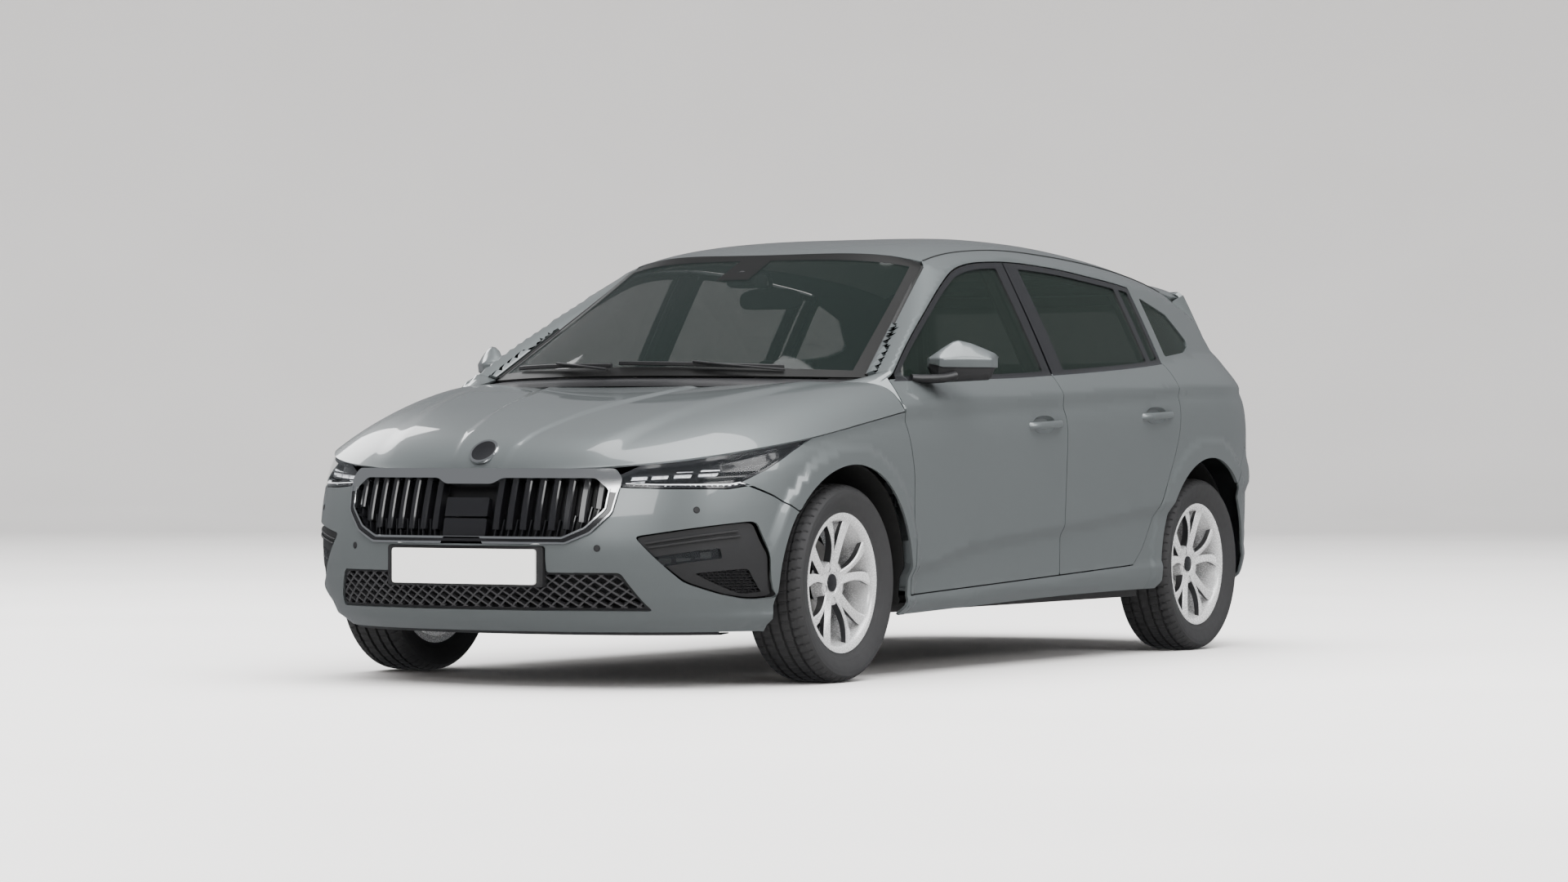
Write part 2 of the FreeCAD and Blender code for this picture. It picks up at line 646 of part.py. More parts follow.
def tailgate_hinge():
    """The tailgate hinge's half under the roof and its bent arm, left side."""
    x, y = s.tailgate_hinge_x, along(1.334) - s.tailgate_hinge_lead
    z = roof_z(x, y) - s.roof_depth - s.tailgate_hinge_drop
    fixed, eye, hole = cross_hinge(x, y, z)
    width, half = s.pin_radius + s.hinge_wall, s.hinge_lug / 2
    near, far = half + s.pin_play, half + s.pin_play + s.hinge_lug
    stations = spread(along(1.2), along(1.56), 8)
    span = lambda y: out(STRIP_WIDTH_SHARE) - s.shut_gap
    under = below_surface(roof_z, s.roof_depth / 2, stations, span, s.door_depth)
    for low, high in ((x - far, x - near), (x + near, x + far)):
        lug = block(low, high, y - width, y + width, z, up(1))
        fixed = fixed.fuse(lug.common(under))
    low = z - s.tailgate_arm_drop
    end = y + s.tailgate_arm_length
    drop = block(x - half, x + half, y - s.hinge_wall, y + s.hinge_wall, low, z)
    foot = block(x - half, x + half, y, end, low, low + 2 * s.hinge_wall)
    rise = block(x - half, x + half, end - 2 * s.hinge_wall, end, low, up(1)).common(under)
    return fixed, drop.fuse([eye, foot, rise]).cut(hole), (y, z)


WHEEL_Z = s.tyre_radius


def arch(axle_y, radius):
    """Cylinder across one side of the car that opens a wheel arch."""
    return rod((out(0.4), axle_y, WHEEL_Z), (HALF_WIDTH + radius, axle_y, WHEEL_Z), radius)


def both_arches(axle_y):
    """Cylinder right across the car that opens both wheel arches of a bumper."""
    return rod((-LENGTH, axle_y, WHEEL_Z), (LENGTH, axle_y, WHEEL_Z), s.arch_radius)


def make_doors():
    """The four doors with their windows, and the hinges' fixed halves."""
    fixed = []
    front_stations = spread(along(0.118), along(0.60), 15)
    rear_stations = spread(along(0.545), along(0.945), 13)
    front = door_solid(FRONT_DOOR, FRONT_WINDOW, along(0.148) + s.door_edge_inset,
                       along(0.556) - s.door_rear_inset, front_stations)
    rear = door_solid(REAR_DOOR, REAR_WINDOW, along(0.562) + s.door_edge_inset,
                      along(0.79) - s.door_edge_inset, rear_stations)
    reach = s.door_depth - s.door_hinge_inset - s.door_edge_inset
    front_arm = along(0.148) + 2 * s.door_edge_inset - FRONT_HINGE_Y
    rear_arm = along(0.562) + 2 * s.door_edge_inset - REAR_HINGE_Y
    pins = {"front": [], "rear": []}
    for z in FRONT_HINGE_Z:
        pin, arm = hinge(FRONT_HINGE_Y, z, reach, front_arm)
        front = front.fuse(arm)
        pins["front"].append(pin)
    for z in REAR_HINGE_Z:
        pin, arm = hinge(REAR_HINGE_Y, z, reach, rear_arm)
        rear = rear.fuse(arm)
        pins["rear"].append(pin)
    glass = {"front": window_solid(FRONT_WINDOW, front_stations),
             "rear": window_solid(REAR_WINDOW, rear_stations)}
    for place, door in (("front", front), ("rear", rear)):
        keep(f"door_{place}_left", door)
        keep(f"door_{place}_right", mirrored(door))
        keep(f"window_{place}_left", glass[place])
        keep(f"window_{place}_right", mirrored(glass[place]))
    return pins


LAMP_SHARES = ((1.532, 0.6535), (1.80, 0.656), (1.80, 0.48), (1.70, 0.482))
BUMPER_SHUT_SHARES = ((1.30, 0.40), (1.456, 0.50), (1.66, 0.482), (1.72, 0.479), (1.9, 0.479))
QUARTER_WINDOW_SHARES = ((0.945, 0.722), (0.945, 0.872), (1.06, 0.832), (1.18, 0.768),
                         (1.17, 0.747), (1.08, 0.735))


def outline(shares):
    return [(along(a), up(b)) for a, b in shares]


TAILGATE_SHARES = ((-0.70, 0.485), (-0.70, 0.64), (-0.66, 0.80), (-0.62, 0.90), (0.62, 0.90),
                   (0.66, 0.80), (0.70, 0.64), (0.70, 0.485))
REAR_BUMPER_LEVELS = (0.15, 0.20, 0.26, 0.32, 0.394, 0.479)
TAIL_WINDOW_SHARES = ((-0.62, 0.69), (-0.54, 0.87), (0.54, 0.87), (0.62, 0.69))


def across(shares):
    return [(out(a), up(b)) for a, b in shares]


def behind_tail():
    """Everything behind the tail's corners."""
    corner = [(tail_y(out(0.76), z), z) for z in spread(up(0.46), up(0.96), 7)]
    return prism_x([(LENGTH, up(0.46)), *corner, (LENGTH, up(0.96))], 0, LENGTH / 4)


def tailgate_opening():
    """Clear opening round the tailgate, from the roof's rear edge back."""
    shape = across(TAILGATE_SHARES)
    wire = polygon([(x, along(1.33), z) for x, z in shape])
    moved = wire.makeOffset2D(s.shut_gap, 2, False, False)
    return Part.Face(moved).extrude(Vector(0, LENGTH, 0))


def make_body_side(pins):
    stations = spread(along(0.149), along(1.72), 30)
    side = railed([[(x, y, z) for x, z in frame_ring(y)] for y in stations])
    for door in (FRONT_DOOR, REAR_DOOR):
        side = side.cut(prism_x(grown(door, s.shut_gap), 0, LENGTH / 4))
    window = outline(QUARTER_WINDOW_SHARES)
    below = [(along(1.9), 0), (along(0.80), 0)]
    side = side.cut([prism_x(window, 0, LENGTH / 4), arch(REAR_AXLE, s.arch_radius),
                     prism_x(grown(outline(LAMP_SHARES), s.shut_gap), 0, LENGTH / 4),
                     prism_x(outline(BUMPER_SHUT_SHARES) + [(along(1.9), 0),
                                                            (along(1.3), 0)], 0, LENGTH / 4)])
    side = largest(side.cut([behind_tail(), tailgate_opening()]))
    post = slab(side_section, spread(s.post_front, s.post_rear, 4),
                s.frame_depth + s.glass_recess / 2, s.post_depth)
    post = post.common(block(0, LENGTH, 0, LENGTH, up(0.165), up(1)))
    reach = s.door_depth - s.door_hinge_inset - s.door_edge_inset
    pocket = reach + 2 * s.hinge_wall + s.shut_gap
    for z in REAR_HINGE_Z:
        clear = s.hinge_height / 2 + s.hinge_lug / 2
        post = post.cut([
            Part.makeCylinder(pocket, 2 * clear, Vector(HINGE_X, REAR_HINGE_Y, z - clear)),
            block(HINGE_X - pocket, LENGTH, REAR_HINGE_Y, LENGTH, z - clear, z + clear)])
    side = side.fuse([post, *pins["rear"]])
    keep("body_side_left", side)
    keep("body_side_right", mirrored(side))
    glass = slab(side_section, spread(along(0.93), along(1.2), 6), s.glass_recess,
                 s.glass_recess + s.glass)
    keep("quarter_windows", both(glass.common(prism_x(window, 0, LENGTH / 4))))


WING_SHARES = ((0.136, 0.64), (0.124, 0.577), (0.134, 0.528), (0.146, 0.432), (0.148, 0.12),
               (-0.40, 0.12), (-0.43, 0.345), (-0.563, 0.416), (-0.23, 0.514), (-0.2, 0.56))


def bonnet_space():
    """Room that the bonnet needs, with the gap below its edge."""
    stations = spread(along(-0.885), along(0.153), 22)
    return shell_over(bonnet_z, lambda y: side_x(y, shoulder(y)) + s.shut_gap, stations,
                      s.bonnet_depth + s.shut_gap)


def make_wings(room):
    shape = [(y - s.shut_gap, z) for y, z in outline(WING_SHARES[:5])]
    shape += outline(WING_SHARES[5:])
    wing = slab(lower_section, spread(along(-0.68), along(0.15), 20), 0, s.skin)
    wing = wing.common(prism_x(shape, 0, LENGTH / 4)).cut(arch(FRONT_AXLE, s.arch_radius))
    keep("wings", both(largest(wing.cut(room))))
    return shape


def make_roof():
    stations = spread(along(0.34), along(1.325), 20)
    half = out(STRIP_WIDTH_SHARE) - s.shut_gap / 2
    roof = shell_over(roof_z, lambda y: half, stations, s.roof_depth)
    front = [(x, along(0.359 + 0.055 * (x / out(WINDSCREEN_BASE_SHARE)) ** 2))
             for x in spread(-out(0.8), out(0.8), 15)]
    front += [(out(0.8), along(0)), (-out(0.8), along(0))]
    fixed = tailgate_hinge()[0]
    roof = roof.cut(prism_z(front, up(0.5), up(1.2)))
    keep("roof_panel", roof.fuse([fixed, mirrored(fixed)]))


def make_bonnet():
    stations = spread(along(-0.885), along(0.153), 22)
    bonnet = shell_over(bonnet_z, lambda y: side_x(y, shoulder(y)) - s.pin_play, stations,
                        s.bonnet_depth)
    rear = [(x, windscreen_base(x) - s.cowl_gap) for x in spread(-out(0.8), out(0.8), 15)]
    shoulder_end = [(out(0.86), along(0.125)), (out(1.1), along(0.112)),
                    (out(1.1), along(0.5))]
    rear += shoulder_end + [(-x, y) for x, y in reversed(shoulder_end)]
    arm = bonnet_hinge()[1]
    bonnet = bonnet.cut(prism_z(rear, 0, up(1.2)))
    keep("bonnet", bonnet.fuse([arm, mirrored(arm)]))


def make_windscreen():
    rings = []
    thick = s.glass / math.sin(math.radians(28))
    for z in spread(up(0.652), up(0.938), 8):
        share = (z - up(0.652)) / (up(0.914) - up(0.652))
        half = out(0.80) + (out(0.64) - out(0.80)) * share - s.shut_gap
        row = [(x, windscreen_y(x, z)) for x in spread(-half, half, 15)]
        rings.append([(x, y, z) for x, y in row]
                     + [(x, y + thick, z) for x, y in reversed(row)])
    glass = railed(rings)
    roof = [(x, along(0.355 + 0.055 * (x / out(0.8)) ** 2)) for x in spread(-out(0.8), out(0.8), 15)]
    roof += [(out(0.8), along(0.8)), (-out(0.8), along(0.8))]
    glass = glass.cut(prism_z(roof, 0, up(1.2)))
    keep("windscreen", glass)
    return glass


GRILLE_SHARES = ((-0.493, 0.458), (-0.546, 0.419), (-0.419, 0.304), (0.419, 0.304),
                 (0.546, 0.419), (0.493, 0.458))
LOWER_SHARES = ((-0.56, 0.245), (-0.62, 0.165), (0.62, 0.165), (0.56, 0.245))
FOG_SHARES = ((0.60, 0.318), (0.90, 0.348), (0.93, 0.18), (0.86, 0.185), (0.74, 0.22))


def make_front_end(wing_shape, room):
    ahead = along(-1) - s.bumper_depth
    behind = along(-0.35)
    levels = [up(a) for a in (0.115, 0.136, 0.16, 0.184, 0.215, 0.245, 0.286, 0.34, 0.38,
                              0.416)]
    bumper = end_band(levels, behind, 0, s.bumper_depth)
    grille = prism_y(across(GRILLE_SHARES), ahead, behind)
    lower = prism_y(across(LOWER_SHARES), ahead, behind)
    fog = prism_y(across(FOG_SHARES), ahead, behind)
    gap = prism_x(grown(wing_shape, s.shut_gap), 0, LENGTH / 4)
    cuts = [grille, lower, fog, mirrored(fog), both_arches(FRONT_AXLE), gap, mirrored(gap)]
    bumper = bumper.cut(cuts)
    keep("front_bumper", bumper)
    upper = [up(a) for a in (0.30, 0.34, 0.38, 0.42, 0.462)]
    band = end_band(upper, behind, s.skin / 2, s.bumper_depth * 2)
    keep("grille", band.common(grille).cut(room))
    low_band = end_band(levels[1:8], behind, s.skin / 2, s.bumper_depth)
    low = low_band.common(lower.fuse([fog, mirrored(fog)])).cut(both_arches(FRONT_AXLE))
    keep("lower_grilles", low)
    lamp_levels = [up(a) for a in (0.419, 0.44, 0.46, 0.48, 0.50, 0.516)]
    lamp = end_band(lamp_levels, along(-0.2), 0, s.bumper_depth * 3)
    lamp_shape = [(along(-1), up(0.419)), (along(-0.57), up(0.419)), (along(-0.235), up(0.513))]
    lamp_shape += [(y, shoulder(y) - s.shut_gap) for y in spread(along(-0.24), along(-0.83), 6)]
    lamp_shape += [(along(-1), up(0.462))]
    lamps = both(lamp.common(prism_x(lamp_shape, out(0.55), HALF_WIDTH)).cut(room))
    keep("headlamps", lamps)
    return low, lamps


def make_rear_end():
    behind = along(2) + s.bumper_depth
    ahead = along(1.33)
    rings, glass_rings = [], []
    for z in [up(a) for a in (0.485, 0.51, 0.544, 0.60, 0.646, 0.68, 0.73, 0.78, 0.83, 0.90)]:
        row = [(x, tail_y(x, z)) for x in spread(-out(0.72), out(0.72), 15)]
        rings.append([(x, y, z) for x, y in row]
                     + [(x, y - s.tailgate_depth, z) for x, y in reversed(row)])
        glass_rings.append([(x, y - s.glass_recess, z) for x, y in row]
                           + [(x, y - s.glass_recess - s.glass, z) for x, y in reversed(row)])
    window = prism_y(across(TAIL_WINDOW_SHARES), ahead, behind)
    gate = railed(rings).common(prism_y(across(TAILGATE_SHARES), ahead, behind)).cut(window)
    half = out(STRIP_WIDTH_SHARE) - s.shut_gap
    lid = shell_over(roof_z, lambda y: half, spread(along(1.339), along(1.56), 6),
                     s.roof_depth * 2)
    arm = tailgate_hinge()[1]
    gate = gate.fuse([lid, arm, mirrored(arm)])
    keep("tailgate", gate)
    keep("tailgate_window", railed(glass_rings).common(window))
    levels = [up(a) for a in REAR_BUMPER_LEVELS]
    bumper = end_band(levels, along(BUMPER_SHUT_SHARES[0][0]), 0, s.bumper_depth)
    shut = outline(BUMPER_SHUT_SHARES)
    shut = [(y, z - s.shut_gap) for y, z in shut]
    shape = shut + [(along(2.2), shut[-1][1]), (along(2.2), 0), (along(1.2), 0),
                    (along(1.2), up(0.40))]
    keepers = prism_x(shape, -HALF_WIDTH, HALF_WIDTH)
    bumper = bumper.common(keepers).cut(both_arches(REAR_AXLE))
    keep("rear_bumper", bumper)
    lamp_levels = [up(a) for a in (0.47, 0.50, 0.54, 0.58, 0.62, 0.66)]
    lamp = end_band(lamp_levels, along(1.45), 0, s.bumper_depth * 3)
    lamp = lamp.common(prism_x(outline(LAMP_SHARES), out(0.72), HALF_WIDTH))
    keep("tail_lamps", both(lamp))
    return bumper


# Parametric objects, bound to the sheet
def bind(thing, prop, value):
    """Sets a property, and its expression where the value comes from the sheet."""
    if isinstance(value, Bound):
        thing.setExpression(prop, value.text)
    elif "." not in prop:
        setattr(thing, prop, value)


def place(thing, x, y, z, rotation=None):
    thing.Placement = Placement(Vector(x, y, z), rotation or Rotation())
    for axis, value in zip("xyz", (x, y, z)):
        bind(thing, f"Placement.Base.{axis}", value)
    return thing


def new_box(name, x, y, z, length, width, height):
    """Box from its lowest corner, sized across, along and up."""
    box = doc.addObject("Part::Box", name)
    for prop, value in (("Length", length), ("Width", width), ("Height", height)):
        bind(box, prop, value)
    return place(box, x, y, z)


TO_LEFT = Rotation(Vector(0, 0, 1), Vector(1, 0, 0))
TO_REAR = Rotation(Vector(0, 0, 1), Vector(0, 1, 0))


def new_rod(name, x, y, z, radius, length, rotation=None):
    rod_object = doc.addObject("Part::Cylinder", name)
    bind(rod_object, "Radius", radius)
    bind(rod_object, "Height", length)
    return place(rod_object, x, y, z, rotation)


def new_shape(name, shape):
    thing = doc.addObject("Part::Feature", name)
    thing.Shape = shape
    return thing


def fused(name, things):
    joint = doc.addObject("Part::MultiFuse", name)
    joint.Shapes = things
    return joint


def without(name, base, tool):
    cut = doc.addObject("Part::Cut", name)
    cut.Base = base
    cut.Tool = tool
    return cut


def mirror_of(name, thing):
    mirror = doc.addObject("Part::Mirroring", name)
    mirror.Source = thing
    mirror.Normal = Vector(1, 0, 0)
    return mirror


def pair_of(name, thing):
    pair = doc.addObject("Part::Compound", name)
    pair.Links = [thing, mirror_of(name + "_mirror", thing)]
    return pair


def finished(name, thing):
    thing.Label = name
    PARTS.append(thing)
    return thing


def plane_of(body, role):
    return next(f for f in body.Origin.OriginFeatures if f.Role == role)


def profile(body, name, role, corners):
    """Closed sketch whose corners are held at lengths from the sheet."""
    sketch = body.newObject("Sketcher::SketchObject", name)
    sketch.AttachmentSupport = (plane_of(body, role), "")
    sketch.MapMode = "FlatFace"
    points = [Vector(float(u), float(v), 0) for u, v in corners]
    for a, b in zip(points, points[1:] + points[:1]):
        sketch.addGeometry(Part.LineSegment(a, b), False)
    count = len(points)
    for i in range(count):
        sketch.addConstraint(Sketcher.Constraint("Coincident", i, 2, (i + 1) % count, 1))
    for i, (u, v) in enumerate(corners):
        for kind, value, axis in (("DistanceX", u, -2), ("DistanceY", v, -1)):
            if abs(value) < s.pin_play / 100:
                sketch.addConstraint(Sketcher.Constraint("PointOnObject", i, 1, axis))
                continue
            number = sketch.addConstraint(
                Sketcher.Constraint(kind, -1, 1, i, 1, float(value)))
            if isinstance(value, Bound):
                sketch.setExpression(f"Constraints[{number}]", value.text)
    return sketch


def turned(body, name, corners, kind="PartDesign::Revolution"):
    """Ring turned about the body's Z axis from a profile of radii and heights."""
    sketch = profile(body, name + "_profile", "XZ_Plane", corners)
    ring = body.newObject(kind, name)
    ring.Profile = sketch
    ring.ReferenceAxis = (sketch, ["V_Axis"])
    ring.Angle = 360
    return ring


def make_tyre(name, x, y, side):
    body = doc.addObject("PartDesign::Body", name)
    half, wide, flat = g.seat_span / 2, g.tyre_width / 2, g.tread_width / 2
    wall = g.tyre_radius - g.bead_seat_radius
    turned(body, name + "_ring", [
        (g.bead_seat_radius, -half), (g.flange_radius + g.pin_play, -half),
        (g.bead_seat_radius + wall * 0.5, -wide),
        (g.tyre_radius - wall * 0.12, -flat - wall * 0.08), (g.tyre_radius, -flat * 0.8),
        (g.tyre_radius, flat * 0.8), (g.tyre_radius - wall * 0.12, flat + wall * 0.08),
        (g.bead_seat_radius + wall * 0.5, wide), (g.flange_radius + g.pin_play, half),
        (g.bead_seat_radius, half)])
    place(body, x * side, y, g.tyre_radius, Rotation(Vector(0, 0, 1), Vector(side, 0, 0)))
    return finished(name, body)


def patterned(body, name, feature, count):
    """Repeats a feature evenly round the body's Z axis."""
    pattern = body.newObject("PartDesign::PolarPattern", name)
    pattern.Originals = [feature]
    pattern.Axis = (plane_of(body, "Z_Axis"), "")
    pattern.Angle = 360
    pattern.Occurrences = count
    body.Tip = pattern
    return pattern


def make_rim(name, x, y, side):
    """Alloy wheel with its brake disc and stub, which all turn together."""
    body = doc.addObject("PartDesign::Body", name)
    seat, wall, half = g.bead_seat_radius, g.rim_wall, g.seat_span / 2
    edge = half + g.flange_width
    drop = seat - g.rim_drop
    turned(body, name + "_barrel", [
        (seat - wall, -edge), (g.flange_radius, -edge), (g.flange_radius, -half),
        (seat, -half), (seat, -half * 0.55), (drop, -half * 0.3), (drop, half * 0.2),
        (seat, half * 0.55), (seat, half), (g.flange_radius, half), (g.flange_radius, edge),
        (seat - wall, edge), (seat - wall, half * 0.5), (drop - wall, half * 0.15),
        (drop - wall, -half * 0.3), (seat - wall, -half * 0.6)])
    inner = drop - wall / 2
    face, dish, depth = g.spoke_face, g.spoke_dish, g.spoke_depth
    for sign in (-1, 1):
        angle = math.radians(float(g.spoke_pair_angle) / 2)
        root, tip = g.spoke_root_width / 2, g.spoke_tip_width / 2
        reach = seat - wall / 2
        start = g.hub_radius * 0.8
        corners = []
        for radius, half_width_there, order in ((start, root, (-1, 1)), (reach, tip, (1, -1))):
            for turn in order:
                swing = angle * sign
                corners.append((radius * math.cos(swing) - half_width_there * turn * math.sin(swing),
                                radius * math.sin(swing) + half_width_there * turn * math.cos(swing)))
        sketch = profile(body, f"{name}_spoke_{sign + 1}", "XY_Plane", corners)
        pad = body.newObject("PartDesign::Pad", f"{name}_pad_{sign + 1}")
        pad.Profile = sketch
        bind(pad, "Length", face)
        patterned(body, f"{name}_pattern_{sign + 1}", pad, 5)
    hub = g.hub_radius
    turned(body, name + "_hub", [
        (0, -g.stub_length), (g.stub_radius, -g.stub_length),
        (g.stub_radius, -g.disc_setback - g.disc_width),
        (g.disc_radius, -g.disc_setback - g.disc_width), (g.disc_radius, -g.disc_setback),
        (g.stub_radius * 2, -g.disc_setback), (g.stub_radius * 2, 0), (hub, 0),
        (hub, face - dish), (g.cap_radius, face - dish), (g.cap_radius, face - dish + g.cap_depth),
        (0, face - dish + g.cap_depth)])
    turned(body, name + "_dish", [
        (0, face - dish + g.cap_depth * 2), (hub, face - dish + g.cap_depth),
        (inner, face), (inner, face * 2), (0, face * 2)], "PartDesign::Groove")
    turned(body, name + "_back", [
        (g.stub_radius * 3, -wall), (g.stub_radius * 3, 0), (hub, face - dish - depth / 2),
        (inner * 0.9, face - depth), (inner * 0.9, -wall)], "PartDesign::Groove")
    place(body, x * side, y, g.tyre_radius, Rotation(Vector(0, 0, 1), Vector(side, 0, 0)))
    return finished(name, body)


FRONT_X, REAR_X = g.front_track / 2, g.rear_track / 2
FRONT_Y = g.front_overhang - (g.front_overhang + g.wheelbase + g.rear_overhang) / 2
REAR_Y = FRONT_Y + g.wheelbase


def make_wheels():
    for row, x, y in (("front", FRONT_X, FRONT_Y), ("rear", REAR_X, REAR_Y)):
        for side_name, side in (("left", 1), ("right", -1)):
            make_tyre(f"tyre_{row}_{side_name}", x, y, side)
            make_rim(f"rim_{row}_{side_name}", x, y, side)


def kingpin(height):
    """X of the steering axis at a height: from the lower ball up to the strut's top."""
    share = (height - s.ball_z) / (s.tower_top - s.ball_z)
    return s.ball_x + (s.tower_x - s.ball_x) * share


def axle_bore(y):
    """Hole across one side of the car for a wheel's stub."""
    return rod((0, y, WHEEL_Z), (HALF_WIDTH, y, WHEEL_Z), s.stub_radius + s.pin_play)


def caliper(x, y):
    """Brake caliper behind the axle, straddling the disc, with its bracket."""
    gap, wall = s.caliper_gap, s.tower_wall
    face = x - s.disc_setback
    back = face - s.disc_width
    near, far = s.disc_radius * 0.55, s.disc_radius + gap + wall
    half = s.caliper_length / 2
    shape = block(back - gap - wall, face + gap + wall, y + near, y + far,
                  WHEEL_Z - half, WHEEL_Z + half)
    slot = rod((back - gap, y, WHEEL_Z), (face + gap, y, WHEEL_Z), s.disc_radius + gap)
    bracket = block(x - s.stub_length, back - gap, y, y + near + wall,
                    WHEEL_Z - half / 3, WHEEL_Z + half / 3)
    return shape.cut(slot).fuse(bracket).cut(axle_bore(y))


def make_knuckles():
    x, y = s.front_track / 2, FRONT_AXLE
    ball = Vector(s.ball_x, y, s.ball_z)
    top_z = s.tower_top - s.tower_wall - s.pin_play
    axis = Vector(kingpin(top_z), y, top_z) - ball
    back = x - s.disc_setback - s.disc_width
    upright = block(x - s.stub_length - s.tower_wall, back - s.shut_gap, y - s.upright_half,
                    y + s.upright_half, s.ball_z + s.ball_radius,
                    WHEEL_Z + s.upright_half * 1.6)
    spring_base = ball + axis * (1 - s.spring_height / axis.Length)
    strut_base = ball + axis * 0.14
    carrier = upright.fuse([
        Part.makeSphere(s.ball_radius, ball),
        Part.makeCylinder(s.ball_radius * 0.7, axis.Length / 4, ball, axis),
        Part.makeCylinder(s.strut_radius, axis.Length * 0.8, strut_base, axis),
        Part.makeCylinder(s.spring_radius, s.spring_height - s.strut_radius, spring_base,
                          axis)])
    carrier = carrier.common(block(0, HALF_WIDTH, y - LENGTH, y + LENGTH, 0, top_z))
    carrier = carrier.cut(axle_bore(y)).fuse(caliper(x, y))
    keep("knuckle_left", carrier)
    keep("knuckle_right", mirrored(carrier))


def make_front_suspension():
    """Subframe with the two lower arms and the steering rack."""
    y = FRONT_Y
    arm = new_box("arm_plate", g.subframe_half - g.tower_wall, y - g.arm_half,
                  g.subframe_bottom, g.ball_x - g.subframe_half - g.arm_half,
                  2 * g.arm_half, g.arm_height)
    nose = new_box("arm_nose", g.ball_x - g.arm_half - 2 * g.tower_wall,
                   y - g.ball_radius - g.tower_wall, g.subframe_bottom,
                   g.arm_half + 2 * g.tower_wall + g.ball_radius,
                   2 * (g.ball_radius + g.tower_wall), g.arm_height)
    socket = doc.addObject("Part::Sphere", "ball_socket")
    bind(socket, "Radius", g.ball_radius + g.pin_play)
    place(socket, g.ball_x, y, g.ball_z)
    arm = without("arm_with_socket", fused("arm", [arm, nose]), socket)
    subframe = new_box("subframe", -g.subframe_half, y - g.subframe_length / 4,
                       g.subframe_bottom, 2 * g.subframe_half, g.subframe_length,
                       g.subframe_height)
    legs = new_box("subframe_leg", g.rail_inner - g.rail_width, y, g.subframe_bottom,
                   g.subframe_half - g.rail_inner + g.rail_width, g.subframe_length / 3,
                   g.rail_bottom - g.subframe_bottom - g.pin_play)
    rack = new_rod("rack", -g.subframe_half, y + g.subframe_length / 2,
                   g.subframe_bottom + g.subframe_height, g.strut_radius,
                   2 * g.subframe_half, TO_LEFT)
    finished("front_suspension", fused("front_suspension", [
        subframe, rack, arm, mirror_of("arm_mirror", arm), legs,
        mirror_of("leg_mirror", legs)]))


def make_rear_axle():
    """Twist beam with its trailing arms, hub carriers, springs and calipers."""
    x, y = s.rear_track / 2, REAR_AXLE
    inner = x - s.stub_length - s.trailing_arm_width
    low, high = WHEEL_Z - s.trailing_arm_height / 2, WHEEL_Z + s.trailing_arm_height / 2
    back = x - s.disc_setback - s.disc_width
    carrier = block(inner, back - s.shut_gap, y - s.upright_half, y + s.upright_half,
                    WHEEL_Z - s.upright_half, WHEEL_Z + s.upright_half)
    arm = block(inner - s.shut_gap, inner - s.shut_gap + s.trailing_arm_width,
                s.floor_rear + s.pin_play, y + s.upright_half, low, high)
    spring_x = s.boot_half - s.spring_radius
    spring_y = y - s.beam_lead + s.spring_radius
    pan = block(spring_x - s.spring_radius, inner, y - s.beam_lead,
                spring_y + s.spring_radius, low, low + s.tower_wall)
    spring = rod((spring_x, spring_y, low), (spring_x, spring_y, s.boot_floor - s.pin_play),
                 s.spring_radius * 0.8)
    half_axle = carrier.fuse([arm, pan, spring]).cut(axle_bore(y))
    half_axle = half_axle.fuse(caliper(x, y))
    beam = rod((-inner, y - s.beam_lead, WHEEL_Z), (inner, y - s.beam_lead, WHEEL_Z),
               s.beam_radius)
    keep("rear_axle", beam.fuse([half_axle, mirrored(half_axle)]))


def liner(axle, radius, inner, skin_inside):
    """Shell inside one wheel arch, out to the inside of the body's skin."""
    near = radius + s.liner_gap
    far = near + s.liner_wall
    shell = rod((inner, axle, WHEEL_Z), (HALF_WIDTH, axle, WHEEL_Z), far)
    hollow = rod((inner + s.liner_wall, axle, WHEEL_Z), (LENGTH, axle, WHEEL_Z), near)
    base = s.floor_bottom + s.floor_depth
    shell = shell.cut(hollow).common(block(0, HALF_WIDTH, axle - far, axle + far, base,
                                           WHEEL_Z + far))
    return shell.common(skin_inside)


def make_liners(rear_bumper):
    front_stations = spread(along(-0.68), along(0.15), 20)
    skin = slab(lower_section, front_stations, s.bumper_depth + 2 * s.shut_gap,
                out(1) - s.liner_inner / 2)
    front = liner(FRONT_AXLE, s.arch_radius, s.liner_inner, skin)
    tower = rod((kingpin(s.ball_z), FRONT_AXLE, s.ball_z),
                (kingpin(s.tower_top), FRONT_AXLE, s.tower_top), s.spring_radius + s.shut_gap)
    half = s.arm_half + s.spring_radius
    slot = block(0, s.liner_inner + s.spring_radius, FRONT_AXLE - half, FRONT_AXLE + half,
                 0, WHEEL_Z)
    front = front.cut([tower, slot])
    edge = out(SIDE_WIDTH_SHARES[0]) - s.side_depth
    rear = liner(REAR_AXLE, s.rear_arch_radius, s.rear_liner_inner,
                 block(0, edge, -LENGTH, LENGTH, 0, LENGTH))
    slot = block(0, s.rear_liner_inner + s.spring_radius + s.trailing_arm_width,
                 REAR_AXLE - LENGTH, REAR_AXLE + s.upright_half + s.shut_gap, 0,
                 WHEEL_Z + s.beam_radius * 2)
    front, rear = largest(front), largest(rear.cut([slot, rear_bumper]))
    keep("arch_liners", Part.makeCompound([front, mirrored(front), rear, mirrored(rear)]))


